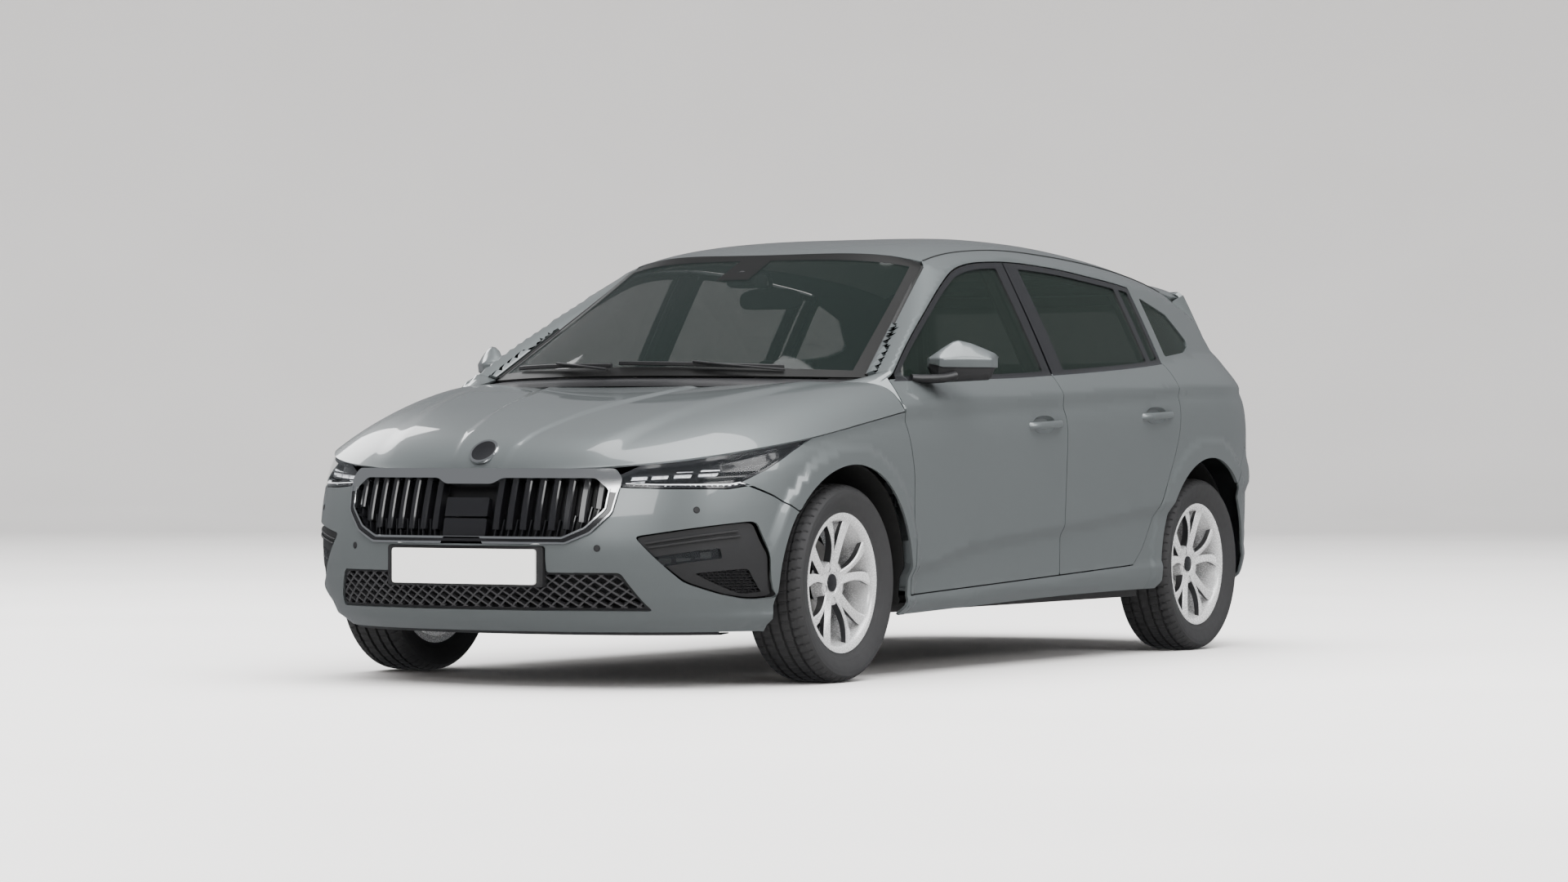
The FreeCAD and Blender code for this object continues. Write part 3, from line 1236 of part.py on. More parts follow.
def make_floor():
    half = g.body_width / 2 * SIDE_WIDTH_SHARES[0] - g.side_depth - g.pin_play
    front, top = g.bulkhead_y, g.floor_bottom + g.floor_depth
    length = g.floor_rear - front
    boot_length = g.rear_overhang + REAR_Y - g.tail_clearance - g.boot_front
    things = [
        new_box("floor_front", -half, front, g.floor_bottom, 2 * half, length, g.floor_depth),
        new_box("tunnel", -g.tunnel_half, front, g.floor_bottom, 2 * g.tunnel_half, length,
                g.floor_depth + g.tunnel_height),
        new_box("heel_board", -g.boot_half, g.boot_front, g.floor_bottom, 2 * g.boot_half,
                g.floor_depth, g.boot_floor - g.floor_bottom),
        new_box("boot_floor", -g.boot_half, g.boot_front, g.boot_floor, 2 * g.boot_half,
                boot_length, g.floor_depth - g.boot_lid_step),
        new_box("boot_lid", -g.boot_half, g.boot_front + g.boot_lid_lead, g.boot_floor,
                2 * g.boot_half, boot_length - g.boot_lid_lead, g.floor_depth)]
    rise = g.seat_base - top - g.pin_play
    for x in (g.seat_x, -g.seat_x):
        things.append(new_box("seat_runner", x - g.runner_width / 2,
                              g.seat_y - g.seat_length / 2, top - g.shut_gap, g.runner_width,
                              g.seat_length, rise + g.shut_gap))
    things.append(new_box("seat_riser", -g.rear_seat_half, g.rear_seat_y, top - g.shut_gap,
                          2 * g.rear_seat_half, g.boot_front - g.rear_seat_y,
                          rise + g.shut_gap))
    inner = g.rear_track / 2 - g.stub_length - g.trailing_arm_width - g.shut_gap
    for x in (inner, -inner - g.trailing_arm_width):
        things.append(new_box("arm_bracket", x, g.floor_rear - g.trailing_arm_height,
                              top - g.shut_gap, g.trailing_arm_width,
                              g.trailing_arm_height,
                              g.tyre_radius + g.trailing_arm_height / 2 - top + g.shut_gap))
    channel = new_box("exhaust_channel", -g.tunnel_half / 2, front - g.shut_gap,
                      g.floor_bottom - g.shut_gap, g.tunnel_half,
                      g.boot_front + g.floor_depth - front + 2 * g.shut_gap,
                      g.tunnel_height)
    pan = without("floor_with_channel", fused("floor_plates", things), channel)
    beam = tail_core(REAR_BUMPER_LEVELS, s.bumper_depth + s.pin_play)
    beam = beam.common(block(-s.boot_half, s.boot_half,
                             LENGTH / 2 - s.tail_clearance - s.shut_gap, LENGTH / 2,
                             s.boot_floor, s.boot_floor + s.rail_height))
    finished("floor_pan", fused("floor_pan", [pan, new_shape("tail_beam", beam)]))


def make_bulkhead(pins):
    """Wall behind the engine with its cowl, and the posts that carry the front doors."""
    half = out(SIDE_WIDTH_SHARES[0]) - s.side_depth - s.pin_play
    front = s.bulkhead_y - s.bulkhead_depth
    base = s.floor_bottom + s.floor_depth + s.pin_play
    wall = block(-half, half, front, s.bulkhead_y - s.pin_play, s.floor_bottom,
                 s.bulkhead_top)
    edge = out(0.74)
    cowl = [(x, windscreen_base(x) + s.shut_gap) for x in spread(-edge, edge, 11)]
    cowl += [(edge, s.bulkhead_y), (-edge, s.bulkhead_y)]
    cowl = prism_z(cowl, s.bulkhead_top - s.tower_wall, s.bulkhead_top)
    lug_front = FRONT_HINGE_Y - s.pin_radius - s.hinge_wall
    post = block(half - s.hinge_post_width, half - s.pin_radius, lug_front,
                 s.bulkhead_y + s.bulkhead_depth, base, s.bulkhead_top)
    post = post.fuse([*pins["front"], bonnet_hinge()[0]])
    wall = wall.fuse([post, mirrored(post), cowl])
    radius = s.arch_radius + s.liner_gap + s.liner_wall + s.pin_play
    arches = rod((s.liner_inner - s.pin_play, FRONT_AXLE, WHEEL_Z),
                 (LENGTH, FRONT_AXLE, WHEEL_Z), radius)
    keep("bulkhead", wall.cut([arches, mirrored(arches)]))


def nose_core(levels, depth, end_y=None):
    """Solid nose of the car at a depth inside its skin."""
    end_y = end_y or along(-0.35)
    return railed([waterline(z, nose_reach(z), NOSE_SQUARENESS, depth, end_y)
                   for z in levels])


def tail_core(shares, depth):
    """Solid tail of the car at a depth inside its skin."""
    end_y = along(BUMPER_SHUT_SHARES[0][0])
    return railed([waterline(z, tail_reach(z), TAIL_SQUARENESS, depth, end_y)
                   for z in [up(share) for share in shares]])


def make_front_frame(lower_grilles, lamps):
    """Rails, strut towers, radiator, and what the bumper and the lamps sit on."""
    rear = s.bulkhead_y - s.bulkhead_depth - s.pin_play
    inner, outer = s.rail_inner - s.rail_width, s.rail_inner
    rail_top = s.rail_bottom + s.rail_height
    front = s.rail_front
    rail = block(inner, outer, front, rear, s.rail_bottom, rail_top)
    panel = block(outer - s.tower_wall, outer, front + s.rail_width, rear, s.rail_bottom,
                  s.crossmember_z + s.crossmember_height)
    tower = block(outer - s.tower_wall, s.tower_x + s.tower_half, FRONT_AXLE - s.tower_half,
                  FRONT_AXLE + s.tower_half, s.tower_top - s.tower_wall, s.tower_top)
    leg = block(outer - s.tower_wall, outer, FRONT_AXLE - s.tower_half,
                FRONT_AXLE + s.tower_half, rail_top, s.tower_top)
    shelf = block(inner, out(0.9), front, front + 2 * s.rail_width,
                  s.crossmember_z, s.crossmember_z + s.crossmember_height)
    side = rail.fuse([panel, tower, leg])
    cross = block(-outer, outer, front, front + s.rail_width,
                  s.crossmember_z, s.crossmember_z + s.crossmember_height)
    radiator = block(-s.radiator_half, s.radiator_half, front, front + s.radiator_depth,
                     s.radiator_base, s.crossmember_z + s.pin_radius)
    levels = [up(a) for a in (0.215, 0.245, 0.286, 0.34, 0.38)]
    crash = nose_core(levels, s.bumper_depth + s.pin_play)
    crash = crash.common(block(-out(1), out(1), along(-1), front + s.rail_width,
                               s.rail_bottom, up(0.30)))
    levels = [up(a) for a in (0.40, 0.42, 0.44, 0.46)]
    lamp_bed = nose_core(levels, s.bumper_depth * 3)
    ends = shelf.fuse(mirrored(shelf)).common(lamp_bed).cut(lamps)
    crash = crash.cut(lower_grilles)
    keep("front_frame", side.fuse([mirrored(side), cross, radiator, crash, ends]))


def make_engine():
    width = g.engine_width / 2
    inner = g.rail_inner - g.rail_width - g.pin_play
    body = new_box("engine_core", -width, g.engine_front, g.engine_base, g.engine_width,
                   g.engine_length, g.engine_height)
    mounts = new_box("engine_mounts", -inner, g.engine_front + g.engine_length / 2,
                     g.rail_bottom + g.rail_height / 2, 2 * inner, g.mount_height * 2,
                     g.mount_height)
    finished("engine_block", fused("engine_block", [body, mounts]))


def leaning(thing, degrees):
    """Turns a placed object about its lowest front edge, its top to the rear."""
    thing.Placement = Placement(thing.Placement.Base, Rotation(Vector(1, 0, 0), -degrees))
    return thing


def make_seats():
    x, y = g.seat_x - g.seat_width / 2, g.seat_y - g.seat_length / 2
    back_y, back_z = y + g.seat_length - g.seat_back_depth, g.seat_base + g.seat_cushion / 2
    cushion = new_box("cushion", x, y, g.seat_base, g.seat_width, g.seat_length,
                      g.seat_cushion)
    rest = new_box("backrest", x, back_y, back_z, g.seat_width, g.seat_back_depth,
                   g.seat_back_height)
    rise = g.seat_back_height * math.cos(math.radians(s.seat_tilt))
    lean = g.seat_back_height * math.sin(math.radians(s.seat_tilt))
    head = new_box("headrest", g.seat_x - g.head_width / 2, back_y + lean,
                   back_z + rise - g.head_gap, g.head_width, g.head_depth, g.head_height)
    leaning(rest, s.seat_tilt)
    one = fused("front_seat", [cushion, rest, head])
    finished("front_seats", pair_of("seat_pair", one))
    back_y = g.rear_back_y - g.seat_back_depth
    cushion = new_box("rear_cushion", -g.rear_seat_half, g.rear_seat_y, g.seat_base,
                      2 * g.rear_seat_half, g.rear_seat_length, g.seat_cushion)
    rest = new_box("rear_backrest", -g.rear_seat_half, back_y, back_z,
                   2 * g.rear_seat_half, g.seat_back_depth, g.rear_back_height)
    leaning(rest, s.seat_tilt)
    finished("rear_seat", fused("rear_seats", [cushion, rest]))


def column_rotation():
    tilt = math.radians(s.wheel_tilt)
    return Rotation(Vector(0, 0, 1), Vector(0, math.cos(tilt), math.sin(tilt)))


def column_rod(name, start, length, radius):
    """Rod on the steering wheel's axis, from a distance behind its middle."""
    tilt = math.radians(s.wheel_tilt)
    return new_rod(name, g.seat_x, g.wheel_y + start * math.cos(tilt),
                   g.wheel_z + start * math.sin(tilt), radius, length, column_rotation())


def make_dashboard():
    body = doc.addObject("PartDesign::Body", "dash_body")
    y, z = g.bulkhead_y, g.dash_top
    sketch = profile(body, "dash_profile", "YZ_Plane", [
        (y, z), (y + g.dash_depth * 0.75, z), (y + g.dash_depth, z - g.dash_height * 0.25),
        (y + g.dash_depth * 0.85, z - g.dash_height * 0.75),
        (y + g.dash_depth * 0.45, z - g.dash_height), (y, z - g.dash_height)])
    pad = body.newObject("PartDesign::Pad", "dash_pad")
    pad.Profile = sketch
    bind(pad, "Length", 2 * g.dash_half)
    pad.SideType = "Symmetric"
    start = -g.steer_hub_depth - g.column_length
    shroud = column_rod("column_shroud", start, g.column_length - g.shut_gap,
                        g.column_radius)
    bore = column_rod("column_bore", start - g.column_length / 3,
                      g.column_length * 2, g.column_radius / 2 + g.pin_play)
    finished("dashboard", without("dash_with_bore", fused("dash_shapes", [body, shroud]),
                                  bore))


def make_steering_wheel():
    grip = doc.addObject("PartDesign::Body", "grip")
    ring, radius = g.grip_circle_radius, g.grip_radius
    turned(grip, "grip_ring", [
        (ring + radius * math.cos(a), radius * math.sin(a))
        for a in (math.radians(22.5 + 45 * k) for k in range(8))])
    place(grip, g.seat_x, g.wheel_y, g.wheel_z, column_rotation())
    hub = column_rod("steer_hub", -g.steer_hub_depth, g.steer_hub_depth, g.steer_hub_radius)
    shaft = column_rod("steer_shaft", -g.steer_hub_depth - g.column_length,
                       g.column_length + g.steer_hub_depth / 2, g.column_radius / 2)
    things = [grip, hub, shaft]
    start = Vector(s.seat_x, s.wheel_y, s.wheel_z)
    turn = column_rotation()
    for degrees in (0, 180, 270):
        angle = math.radians(degrees)
        end = turn.multVec(Vector(0, s.grip_circle_radius, 0) * math.sin(angle)
                           + Vector(s.grip_circle_radius, 0, 0) * math.cos(angle))
        arm_end = start + end
        base = start - turn.multVec(Vector(0, 0, s.grip_radius))
        things.append(new_shape("steer_spoke", rod(base, arm_end, s.grip_radius * 0.8)))
    finished("steering_wheel", fused("steering_wheel", things))


def mirror_ring(share):
    """Section of the mirror's case, from its foot end to its tip."""
    size = math.sin(math.pi * (0.18 + 0.74 * share)) ** 0.5
    x = s.mirror_x + s.mirror_width * share
    points = []
    for a in spread(0, 2 * math.pi, 25)[:-1]:
        c, n = math.cos(a), math.sin(a)
        y = s.mirror_y - s.mirror_depth / 2 * size * math.copysign(abs(c) ** 0.7, c)
        z = s.mirror_z + s.mirror_height / 2 * size * math.copysign(abs(n) ** 0.7, n)
        points.append((x, y + s.mirror_depth * share / 2, z))
    return points


def make_mirrors():
    case = railed([mirror_ring(t) for t in spread(0, 1, 9)])
    foot = block(belt_width(s.mirror_y) - s.mirror_arm, s.mirror_x + s.mirror_arm,
                 s.mirror_y - s.mirror_depth / 3, s.mirror_y + s.mirror_depth / 4,
                 s.mirror_z - s.mirror_arm, s.mirror_z - s.mirror_arm / 2)
    outside = slab(side_section, spread(along(0.118), along(0.60), 15), -s.mirror_width, 0)
    mirror = case.fuse(foot).common(outside)
    keep("mirror_left", mirror)
    keep("mirror_right", mirrored(mirror))


def make_exhaust():
    pipe_z = g.floor_bottom + g.exhaust_radius + g.exhaust_drop
    pipe = new_rod("exhaust_pipe", 0, g.bulkhead_y, pipe_z,
                   g.exhaust_radius, g.wheelbase, TO_REAR)
    silencer = new_rod("silencer", -g.silencer_length / 2, REAR_Y + g.beam_lead * 2,
                       g.boot_floor - g.silencer_radius - g.tower_wall, g.silencer_radius,
                       g.silencer_length, TO_LEFT)
    hanger = new_box("silencer_hanger", -g.silencer_length / 3,
                     REAR_Y + g.beam_lead * 2 - g.tower_wall,
                     g.boot_floor - g.silencer_radius, g.silencer_length * 2 / 3,
                     2 * g.tower_wall, g.silencer_radius - g.pin_play)
    finished("exhaust", fused("exhaust", [pipe, silencer, hanger]))


def make_wipers(windscreen):
    arms = []
    for x_from, x_to in ((0.62, 0.02), (0.0, -0.60)):
        ends = []
        for share, rise in ((x_from, 0.662), (x_to, 0.672)):
            x, z = out(share), up(rise)
            ends.append((x, windscreen_y(x, z) - s.wiper_gap - s.wiper_radius, z))
        arms.append(rod(ends[0], ends[1], s.wiper_radius))
        for end in ends:
            foot = (end[0], end[1] + 3 * s.wiper_radius, end[2])
            arms.append(rod(end, foot, s.wiper_radius / 2))
    shape = arms[0].fuse(arms[1:]).cut(windscreen)
    pieces = sorted(shape.Solids, key=lambda solid: -solid.Volume)
    keep("wipers", Part.makeCompound(pieces[:2]))


def build():
    pins = make_doors()
    make_body_side(pins)
    room = bonnet_space()
    wing_shape = make_wings(room)
    make_roof()
    make_bonnet()
    windscreen = make_windscreen()
    lower_grilles, lamps = make_front_end(wing_shape, room)
    rear_bumper = make_rear_end()
    make_wheels()
    make_knuckles()
    make_front_suspension()
    make_rear_axle()
    make_liners(rear_bumper)
    make_floor()
    make_bulkhead(pins)
    make_front_frame(lower_grilles, lamps)
    make_engine()
    make_seats()
    make_dashboard()
    make_steering_wheel()
    make_mirrors()
    make_exhaust()
    make_wipers(windscreen)


def write_parts():
    doc.recompute()
    troubled = [o.Name for o in doc.Objects if "Invalid" in o.State or "Error" in o.State]
    for part in PARTS:
        if part.Shape.isNull() or not part.Shape.isValid() or not part.Shape.Solids:
            troubled.append(part.Label)
    if troubled:
        raise RuntimeError(f"shapes that failed: {troubled}")
    os.makedirs("parts", exist_ok=True)
    for part in PARTS:
        part.Shape.exportStep(f"parts/{part.Label}.step")


build()
write_parts()
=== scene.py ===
# %% [markdown]
# # A five-door hatchback, dressed in Blender
# The imported CAD model gives every piece its place, its size and the body it moves with. Loading it
# first means that nothing here has to be fitted by eye.

# %% Load the frame
import json
import math

import bpy
import numpy as np
from mathutils import Matrix, Vector
from mathutils.geometry import delaunay_2d_cdt

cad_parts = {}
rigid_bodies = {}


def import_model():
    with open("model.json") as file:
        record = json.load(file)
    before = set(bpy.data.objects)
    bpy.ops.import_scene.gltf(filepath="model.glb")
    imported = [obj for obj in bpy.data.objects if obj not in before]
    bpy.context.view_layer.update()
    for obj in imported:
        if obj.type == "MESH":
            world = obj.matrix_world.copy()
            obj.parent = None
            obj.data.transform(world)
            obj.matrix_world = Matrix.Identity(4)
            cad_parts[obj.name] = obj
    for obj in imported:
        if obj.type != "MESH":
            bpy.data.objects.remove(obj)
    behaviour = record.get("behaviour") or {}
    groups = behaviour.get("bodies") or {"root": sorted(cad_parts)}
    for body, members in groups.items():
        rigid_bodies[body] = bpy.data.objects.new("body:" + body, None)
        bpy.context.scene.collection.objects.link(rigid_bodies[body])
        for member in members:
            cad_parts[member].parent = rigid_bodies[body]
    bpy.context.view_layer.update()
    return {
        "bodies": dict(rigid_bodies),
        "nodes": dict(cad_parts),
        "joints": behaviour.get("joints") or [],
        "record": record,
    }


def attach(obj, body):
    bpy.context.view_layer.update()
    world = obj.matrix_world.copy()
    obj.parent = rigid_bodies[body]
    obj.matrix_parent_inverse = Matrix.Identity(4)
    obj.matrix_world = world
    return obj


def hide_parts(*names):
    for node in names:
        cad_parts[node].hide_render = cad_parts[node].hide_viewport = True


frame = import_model()

# %% [markdown]
# ## The camera
# The photograph looks at the car from its front left, a little below the height of its mirrors,
# and from far away, so a long lens is used. The place and the turn were worked out from points
# of the car whose sizes are known. A camera looks down its own -Z, so the turn is built from
# the direction that it looks in.

# %% Camera
TURN, TILT = 0.523853, 0.0014517
looking = Vector((-math.sin(TURN) * math.cos(TILT), math.cos(TURN) * math.cos(TILT),
                  math.sin(TILT)))
camera_data = bpy.data.cameras.new("photo_camera")
camera_data.sensor_width, camera_data.lens = 36, 103.134
camera = bpy.data.objects.new("photo_camera", camera_data)
camera.location = (7.702276, -13.545339, 0.733946)
camera.rotation_euler = looking.to_track_quat("-Z", "Y").to_euler()
bpy.context.scene.collection.objects.link(camera)
bpy.context.scene.camera = camera
print("camera at", tuple(round(v, 2) for v in camera.location))

# %% [markdown]
# ## Shader maths that reads like maths
# A material is a tree of nodes, and sums written as nodes are hard to read. The small class below
# wraps a socket, so that an expression such as `0.3 + cloud * 0.1` adds the Math nodes by itself.
# Every other node comes from one method, which takes the node's type, its settings and what its
# sockets hold.


# %% Sockets that can be added and multiplied
class Wire:
    """A socket of a node tree that behaves like a number."""

    def __init__(self, finish, socket):
        self.finish, self.socket = finish, socket

    def maths(self, operation, first, second):
        return self.finish.node("ShaderNodeMath", {"operation": operation},
                                {0: first, 1: second})

    def __add__(self, other):
        return self.maths("ADD", self, other)

    def __mul__(self, other):
        return self.maths("MULTIPLY", self, other)

    __radd__, __rmul__ = __add__, __mul__


# %% A finish is one material
class Finish:
    """A material whose shader is Principled, with helpers for the nodes that vary it."""

    def __init__(self, name, color=(0.5, 0.5, 0.5), **constants):
        self.material = bpy.data.materials.new(name)
        self.material.use_nodes = True
        self.tree = self.material.node_tree
        self.shader = self.tree.nodes["Principled BSDF"]
        self.shader.inputs["Base Color"].default_value = (*color, 1)
        for socket, value in constants.items():
            self.shader.inputs[socket.replace("_", " ")].default_value = value

    def feed(self, socket, value):
        if isinstance(value, Wire):
            self.tree.links.new(value.socket, socket)
        else:
            socket.default_value = value

    def node(self, kind, settings=None, sockets=None, out=0):
        made = self.tree.nodes.new(kind)
        for key, value in (settings or {}).items():
            if key == "stops":
                ends = made.color_ramp.elements
                for stop, (place, color) in zip((ends[0], ends[1]), value):
                    stop.position, stop.color = place, color
            else:
                setattr(made, key, value)
        for key, value in (sockets or {}).items():
            self.feed(made.inputs[key], value)
        return Wire(self, made.outputs[out])

    def place(self, scale=(1, 1, 1)):
        spot = self.node("ShaderNodeTexCoord", out=3)
        return self.node("ShaderNodeVectorMath", {"operation": "MULTIPLY"},
                         {0: spot, 1: scale})

    def noise(self, scale, detail=2.0, stretch=(1, 1, 1)):
        return self.node("ShaderNodeTexNoise", None,
                         {"Vector": self.place(stretch), "Scale": scale, "Detail": detail})

    def mix(self, share, first, second):
        return self.node("ShaderNodeMix", {"data_type": "RGBA"},
                         {0: share, 6: first, 7: second}, out=2)

    def varied(self, **sockets):
        for name, value in sockets.items():
            self.feed(self.shader.inputs[name.replace("_", " ")], value)
        return self

    def bumped(self, height, strength, distance):
        bump = self.node("ShaderNodeBump", None, {"Height": height, "Strength": strength,
                                                  "Distance": distance})
        return self.varied(Normal=bump)


print("shader helpers ready")

# %% [markdown]
# ## The body's paint
# The car is a mid grey metallic: aluminium flakes under a clear lacquer. The flakes make the colour
# turn lighter where it faces the light, which a metallic base does, and the lacquer adds the sharp
# reflections on top. A very fine noise varies the colour and the roughness as the flakes do.

# %% Paint
paint = Finish("paint", (0.155, 0.172, 0.175), Metallic=0.70, Roughness=0.36,
               Coat_Weight=1.0, Coat_Roughness=0.035, Coat_IOR=1.5)
flakes = paint.noise(1400, 1)
paint.varied(Base_Color=paint.mix(flakes, (0.143, 0.159, 0.162, 1), (0.177, 0.196, 0.199, 1)),
             Roughness=0.30 + flakes * 0.12)
print("paint", paint.material.name)

# %% [markdown]
# ## Plastics and rubber
# Four blacks tell the pieces apart on the real car: piano black around the windows, grained
# plastic on the mirror feet and the grilles, soft moulded plastic inside, and rubber. Grain is a
# bump from small cells, because moulded grain is a pattern of tiny flat pebbles.


# %% Blacks
def grained(name, color, roughness, scale, strength):
    """A moulded plastic with pebbled grain."""
    made = Finish(name, color, Roughness=roughness)
    cells = made.node("ShaderNodeTexVoronoi", None, {"Vector": made.place(), "Scale": scale})
    cloud = made.noise(35, 3)
    made.varied(Roughness=roughness - 0.08 + cloud * 0.16)
    return made.bumped(cells, strength, 0.0004)


gloss_black = Finish("gloss_black", (0.006, 0.006, 0.007), Roughness=0.12, Coat_Weight=0.6,
                     Coat_Roughness=0.03)
gloss_black.varied(Roughness=0.08 + gloss_black.noise(6, 3) * 0.09)
black_plastic = grained("black_plastic", (0.013, 0.013, 0.014), 0.52, 700, 0.35)
grille_black = grained("grille_black", (0.008, 0.008, 0.009), 0.34, 500, 0.15)
under_plastic = grained("under_plastic", (0.010, 0.010, 0.010), 0.75, 260, 0.4)
inner_plastic = grained("inner_plastic", (0.013, 0.013, 0.014), 0.70, 520, 0.12)
headlining = grained("headlining", (0.30, 0.29, 0.27), 0.9, 900, 0.5)
seal_rubber = grained("seal_rubber", (0.008, 0.008, 0.008), 0.5, 300, 0.2)
print("blacks made")

# %% [markdown]
# ## Metals
# Chrome, painted alloy, cast iron and brushed brake discs differ mostly in how rough they are and
# in the direction of their scratches. A noise stretched along one axis makes the fine turning marks
# of a disc, and a cloudy noise makes the uneven skin of a casting.


# %% Metals
def metal(name, color, roughness, scale, spread, stretch=(1, 1, 1), bump=0.0, bare=1.0):
    """A metal whose roughness, and if asked its height, follows a noise."""
    made = Finish(name, color, Metallic=bare, Roughness=roughness)
    marks = made.noise(scale, 3, stretch)
    made.varied(Roughness=roughness - spread / 2 + marks * spread)
    return made.bumped(marks, bump, 0.0005) if bump else made


chrome = metal("chrome", (0.80, 0.81, 0.82), 0.10, 30, 0.05)
alloy = metal("alloy", (0.62, 0.625, 0.63), 0.27, 220, 0.10, bare=0.45)
cast_metal = metal("cast_metal", (0.10, 0.10, 0.10), 0.60, 60, 0.25, bump=0.4)
disc_metal = metal("disc_metal", (0.36, 0.35, 0.34), 0.34, 90, 0.16, (0.2, 6, 6))
chassis_steel = metal("chassis_steel", (0.045, 0.046, 0.048), 0.55, 45, 0.3, bump=0.2)
engine_metal = metal("engine_metal", (0.22, 0.22, 0.22), 0.50, 40, 0.3, bump=0.4)
exhaust_metal = metal("exhaust_metal", (0.30, 0.28, 0.26), 0.42, 25, 0.3, bump=0.1)
mirror_silver = metal("mirror_silver", (0.85, 0.86, 0.87), 0.03, 20, 0.02)
print("metals made")

# %% [markdown]
# ## Glass and lenses
# The windows show a dark cabin and, through both sides, the pale room. A thin see-through black
# skin gives that: Alpha lets the light through, and the low roughness keeps the reflections. The
# rear windows are tinted darker. The red lamp lens is solid red with a little light of its own.


# %% Glass
def pane(name, color, alpha):
    """A see-through pane with the faint unevenness of real glass."""
    made = Finish(name, color, Roughness=0.02, Alpha=alpha, Specular_IOR_Level=0.28)
    return made.varied(Roughness=0.012 + made.noise(3, 2) * 0.02)


screen_glass = pane("screen_glass", (0.010, 0.014, 0.013), 0.42)
side_glass = pane("side_glass", (0.008, 0.012, 0.010), 0.62)
rear_glass = pane("rear_glass", (0.006, 0.008, 0.007), 0.74)
clear_lens = pane("clear_lens", (0.05, 0.055, 0.06), 0.10)
red_lens = Finish("red_lens", (0.20, 0.004, 0.005), Roughness=0.10, Coat_Weight=0.8,
                  Coat_Roughness=0.03, Emission_Strength=0.03)
ribs = red_lens.node("ShaderNodeTexWave", {"bands_direction": "Z"},
                     {"Vector": red_lens.place(), "Scale": 28, "Distortion": 0.0})
red_lens.varied(Base_Color=red_lens.mix(ribs, (0.13, 0.002, 0.003, 1), (0.26, 0.008, 0.010, 1)),
                Emission_Color=red_lens.mix(ribs, (0.3, 0.0, 0.0, 1), (0.8, 0.03, 0.03, 1)))
print("glass made")

# %% [markdown]
# ## The lines that draw the car
# The body is drawn the way a designer does it: by a few long lines seen from the side, from above
# and from the front. Each line is a table of (place, value) pairs in shares of the car's own sizes.
# Straight joins between them would show as dents in every reflection, so the pairs are joined by
# cubic pieces that never overshoot, and the result is blurred a little over its length.

# %% Shares of the car
HEIGHT, HALF = 1.471, 0.8965
WHEELBASE, FRONT_HANG, REAR_HANG = 2.649, 0.871, 0.842
FRONT_AXLE, REAR_AXLE, WHEEL_Z = -1.310, 1.339, 0.311


def along(share):
    """Y of a share: -1 is the nose, 0 the front axle, 1 the rear axle, 2 the tail."""
    if share < 0:
        return FRONT_AXLE + share * FRONT_HANG
    if share > 1:
        return REAR_AXLE + (share - 1) * REAR_HANG
    return FRONT_AXLE + share * WHEELBASE


def up(share):
    return share * HEIGHT


def out(share):
    return share * HALF


def between(first, last, share):
    """The value at a share of the way from the first to the last."""
    return first + (last - first) * share


NOSE_TIP, SCREEN_BASE, SCREEN_CORNER = along(-1), along(0.015), along(0.148)
SCREEN_TOP, SCREEN_TOP_CORNER = along(0.359), along(0.414)
PILLAR_FOOT, DOORS_END = along(0.150), along(0.922)
SCREEN_HALF, SCREEN_TOP_HALF, ROOF_HALF = out(0.80), out(0.64), out(0.625)


def smooth_line(points, blur=0.05, low=-2.6, high=2.6):
    """Function through (place, value) pairs that takes numbers or arrays."""
    xs, ys = np.array(sorted(points), float).T
    slopes = np.diff(ys) / np.diff(xs)
    pulls = np.concatenate([slopes[:1], np.zeros(len(slopes) - 1), slopes[-1:]])
    before, after = slopes[:-1], slopes[1:]
    same = before * after > 0
    pulls[1:-1][same] = (2 * before * after)[same] / (before + after)[same]
    table_x = np.linspace(low, high, 2081)
    k = np.clip(np.searchsorted(xs, table_x) - 1, 0, len(slopes) - 1)
    step = np.diff(xs)[k]
    t = np.clip((table_x - xs[k]) / step, 0, 1)
    table = ys[k] + t * t * (3 - 2 * t) * np.diff(ys)[k]
    table += t * (1 - t) ** 2 * step * pulls[k] + t * t * (t - 1) * step * pulls[k + 1]
    table += np.minimum(table_x - xs[0], 0) * pulls[0] + np.maximum(table_x - xs[-1], 0) * pulls[-1]
    cell = table_x[1] - table_x[0]
    reach = int(3 * blur / cell) + 1
    weights = np.exp(-0.5 * (np.arange(-reach, reach + 1) * cell / max(blur, 1e-6)) ** 2)
    padded = np.concatenate([table[0] + (table[1] - table[0]) * np.arange(-reach, 0), table,
                             table[-1] + (table[-1] - table[-2]) * np.arange(1, reach + 1)])
    table = np.convolve(padded, weights / weights.sum(), "valid")
    return lambda place: np.interp(place, table_x, table)


def height_line(shares, blur=0.07):
    return smooth_line([(along(a), up(b)) for a, b in shares], blur)


print("nose", along(-1), "tail", along(2))

# %% [markdown]
# The heights below are those of the sill, of the creases in the doors, of the shoulder that runs
# from the headlamp to the tail lamp, of the window line and of the roof.

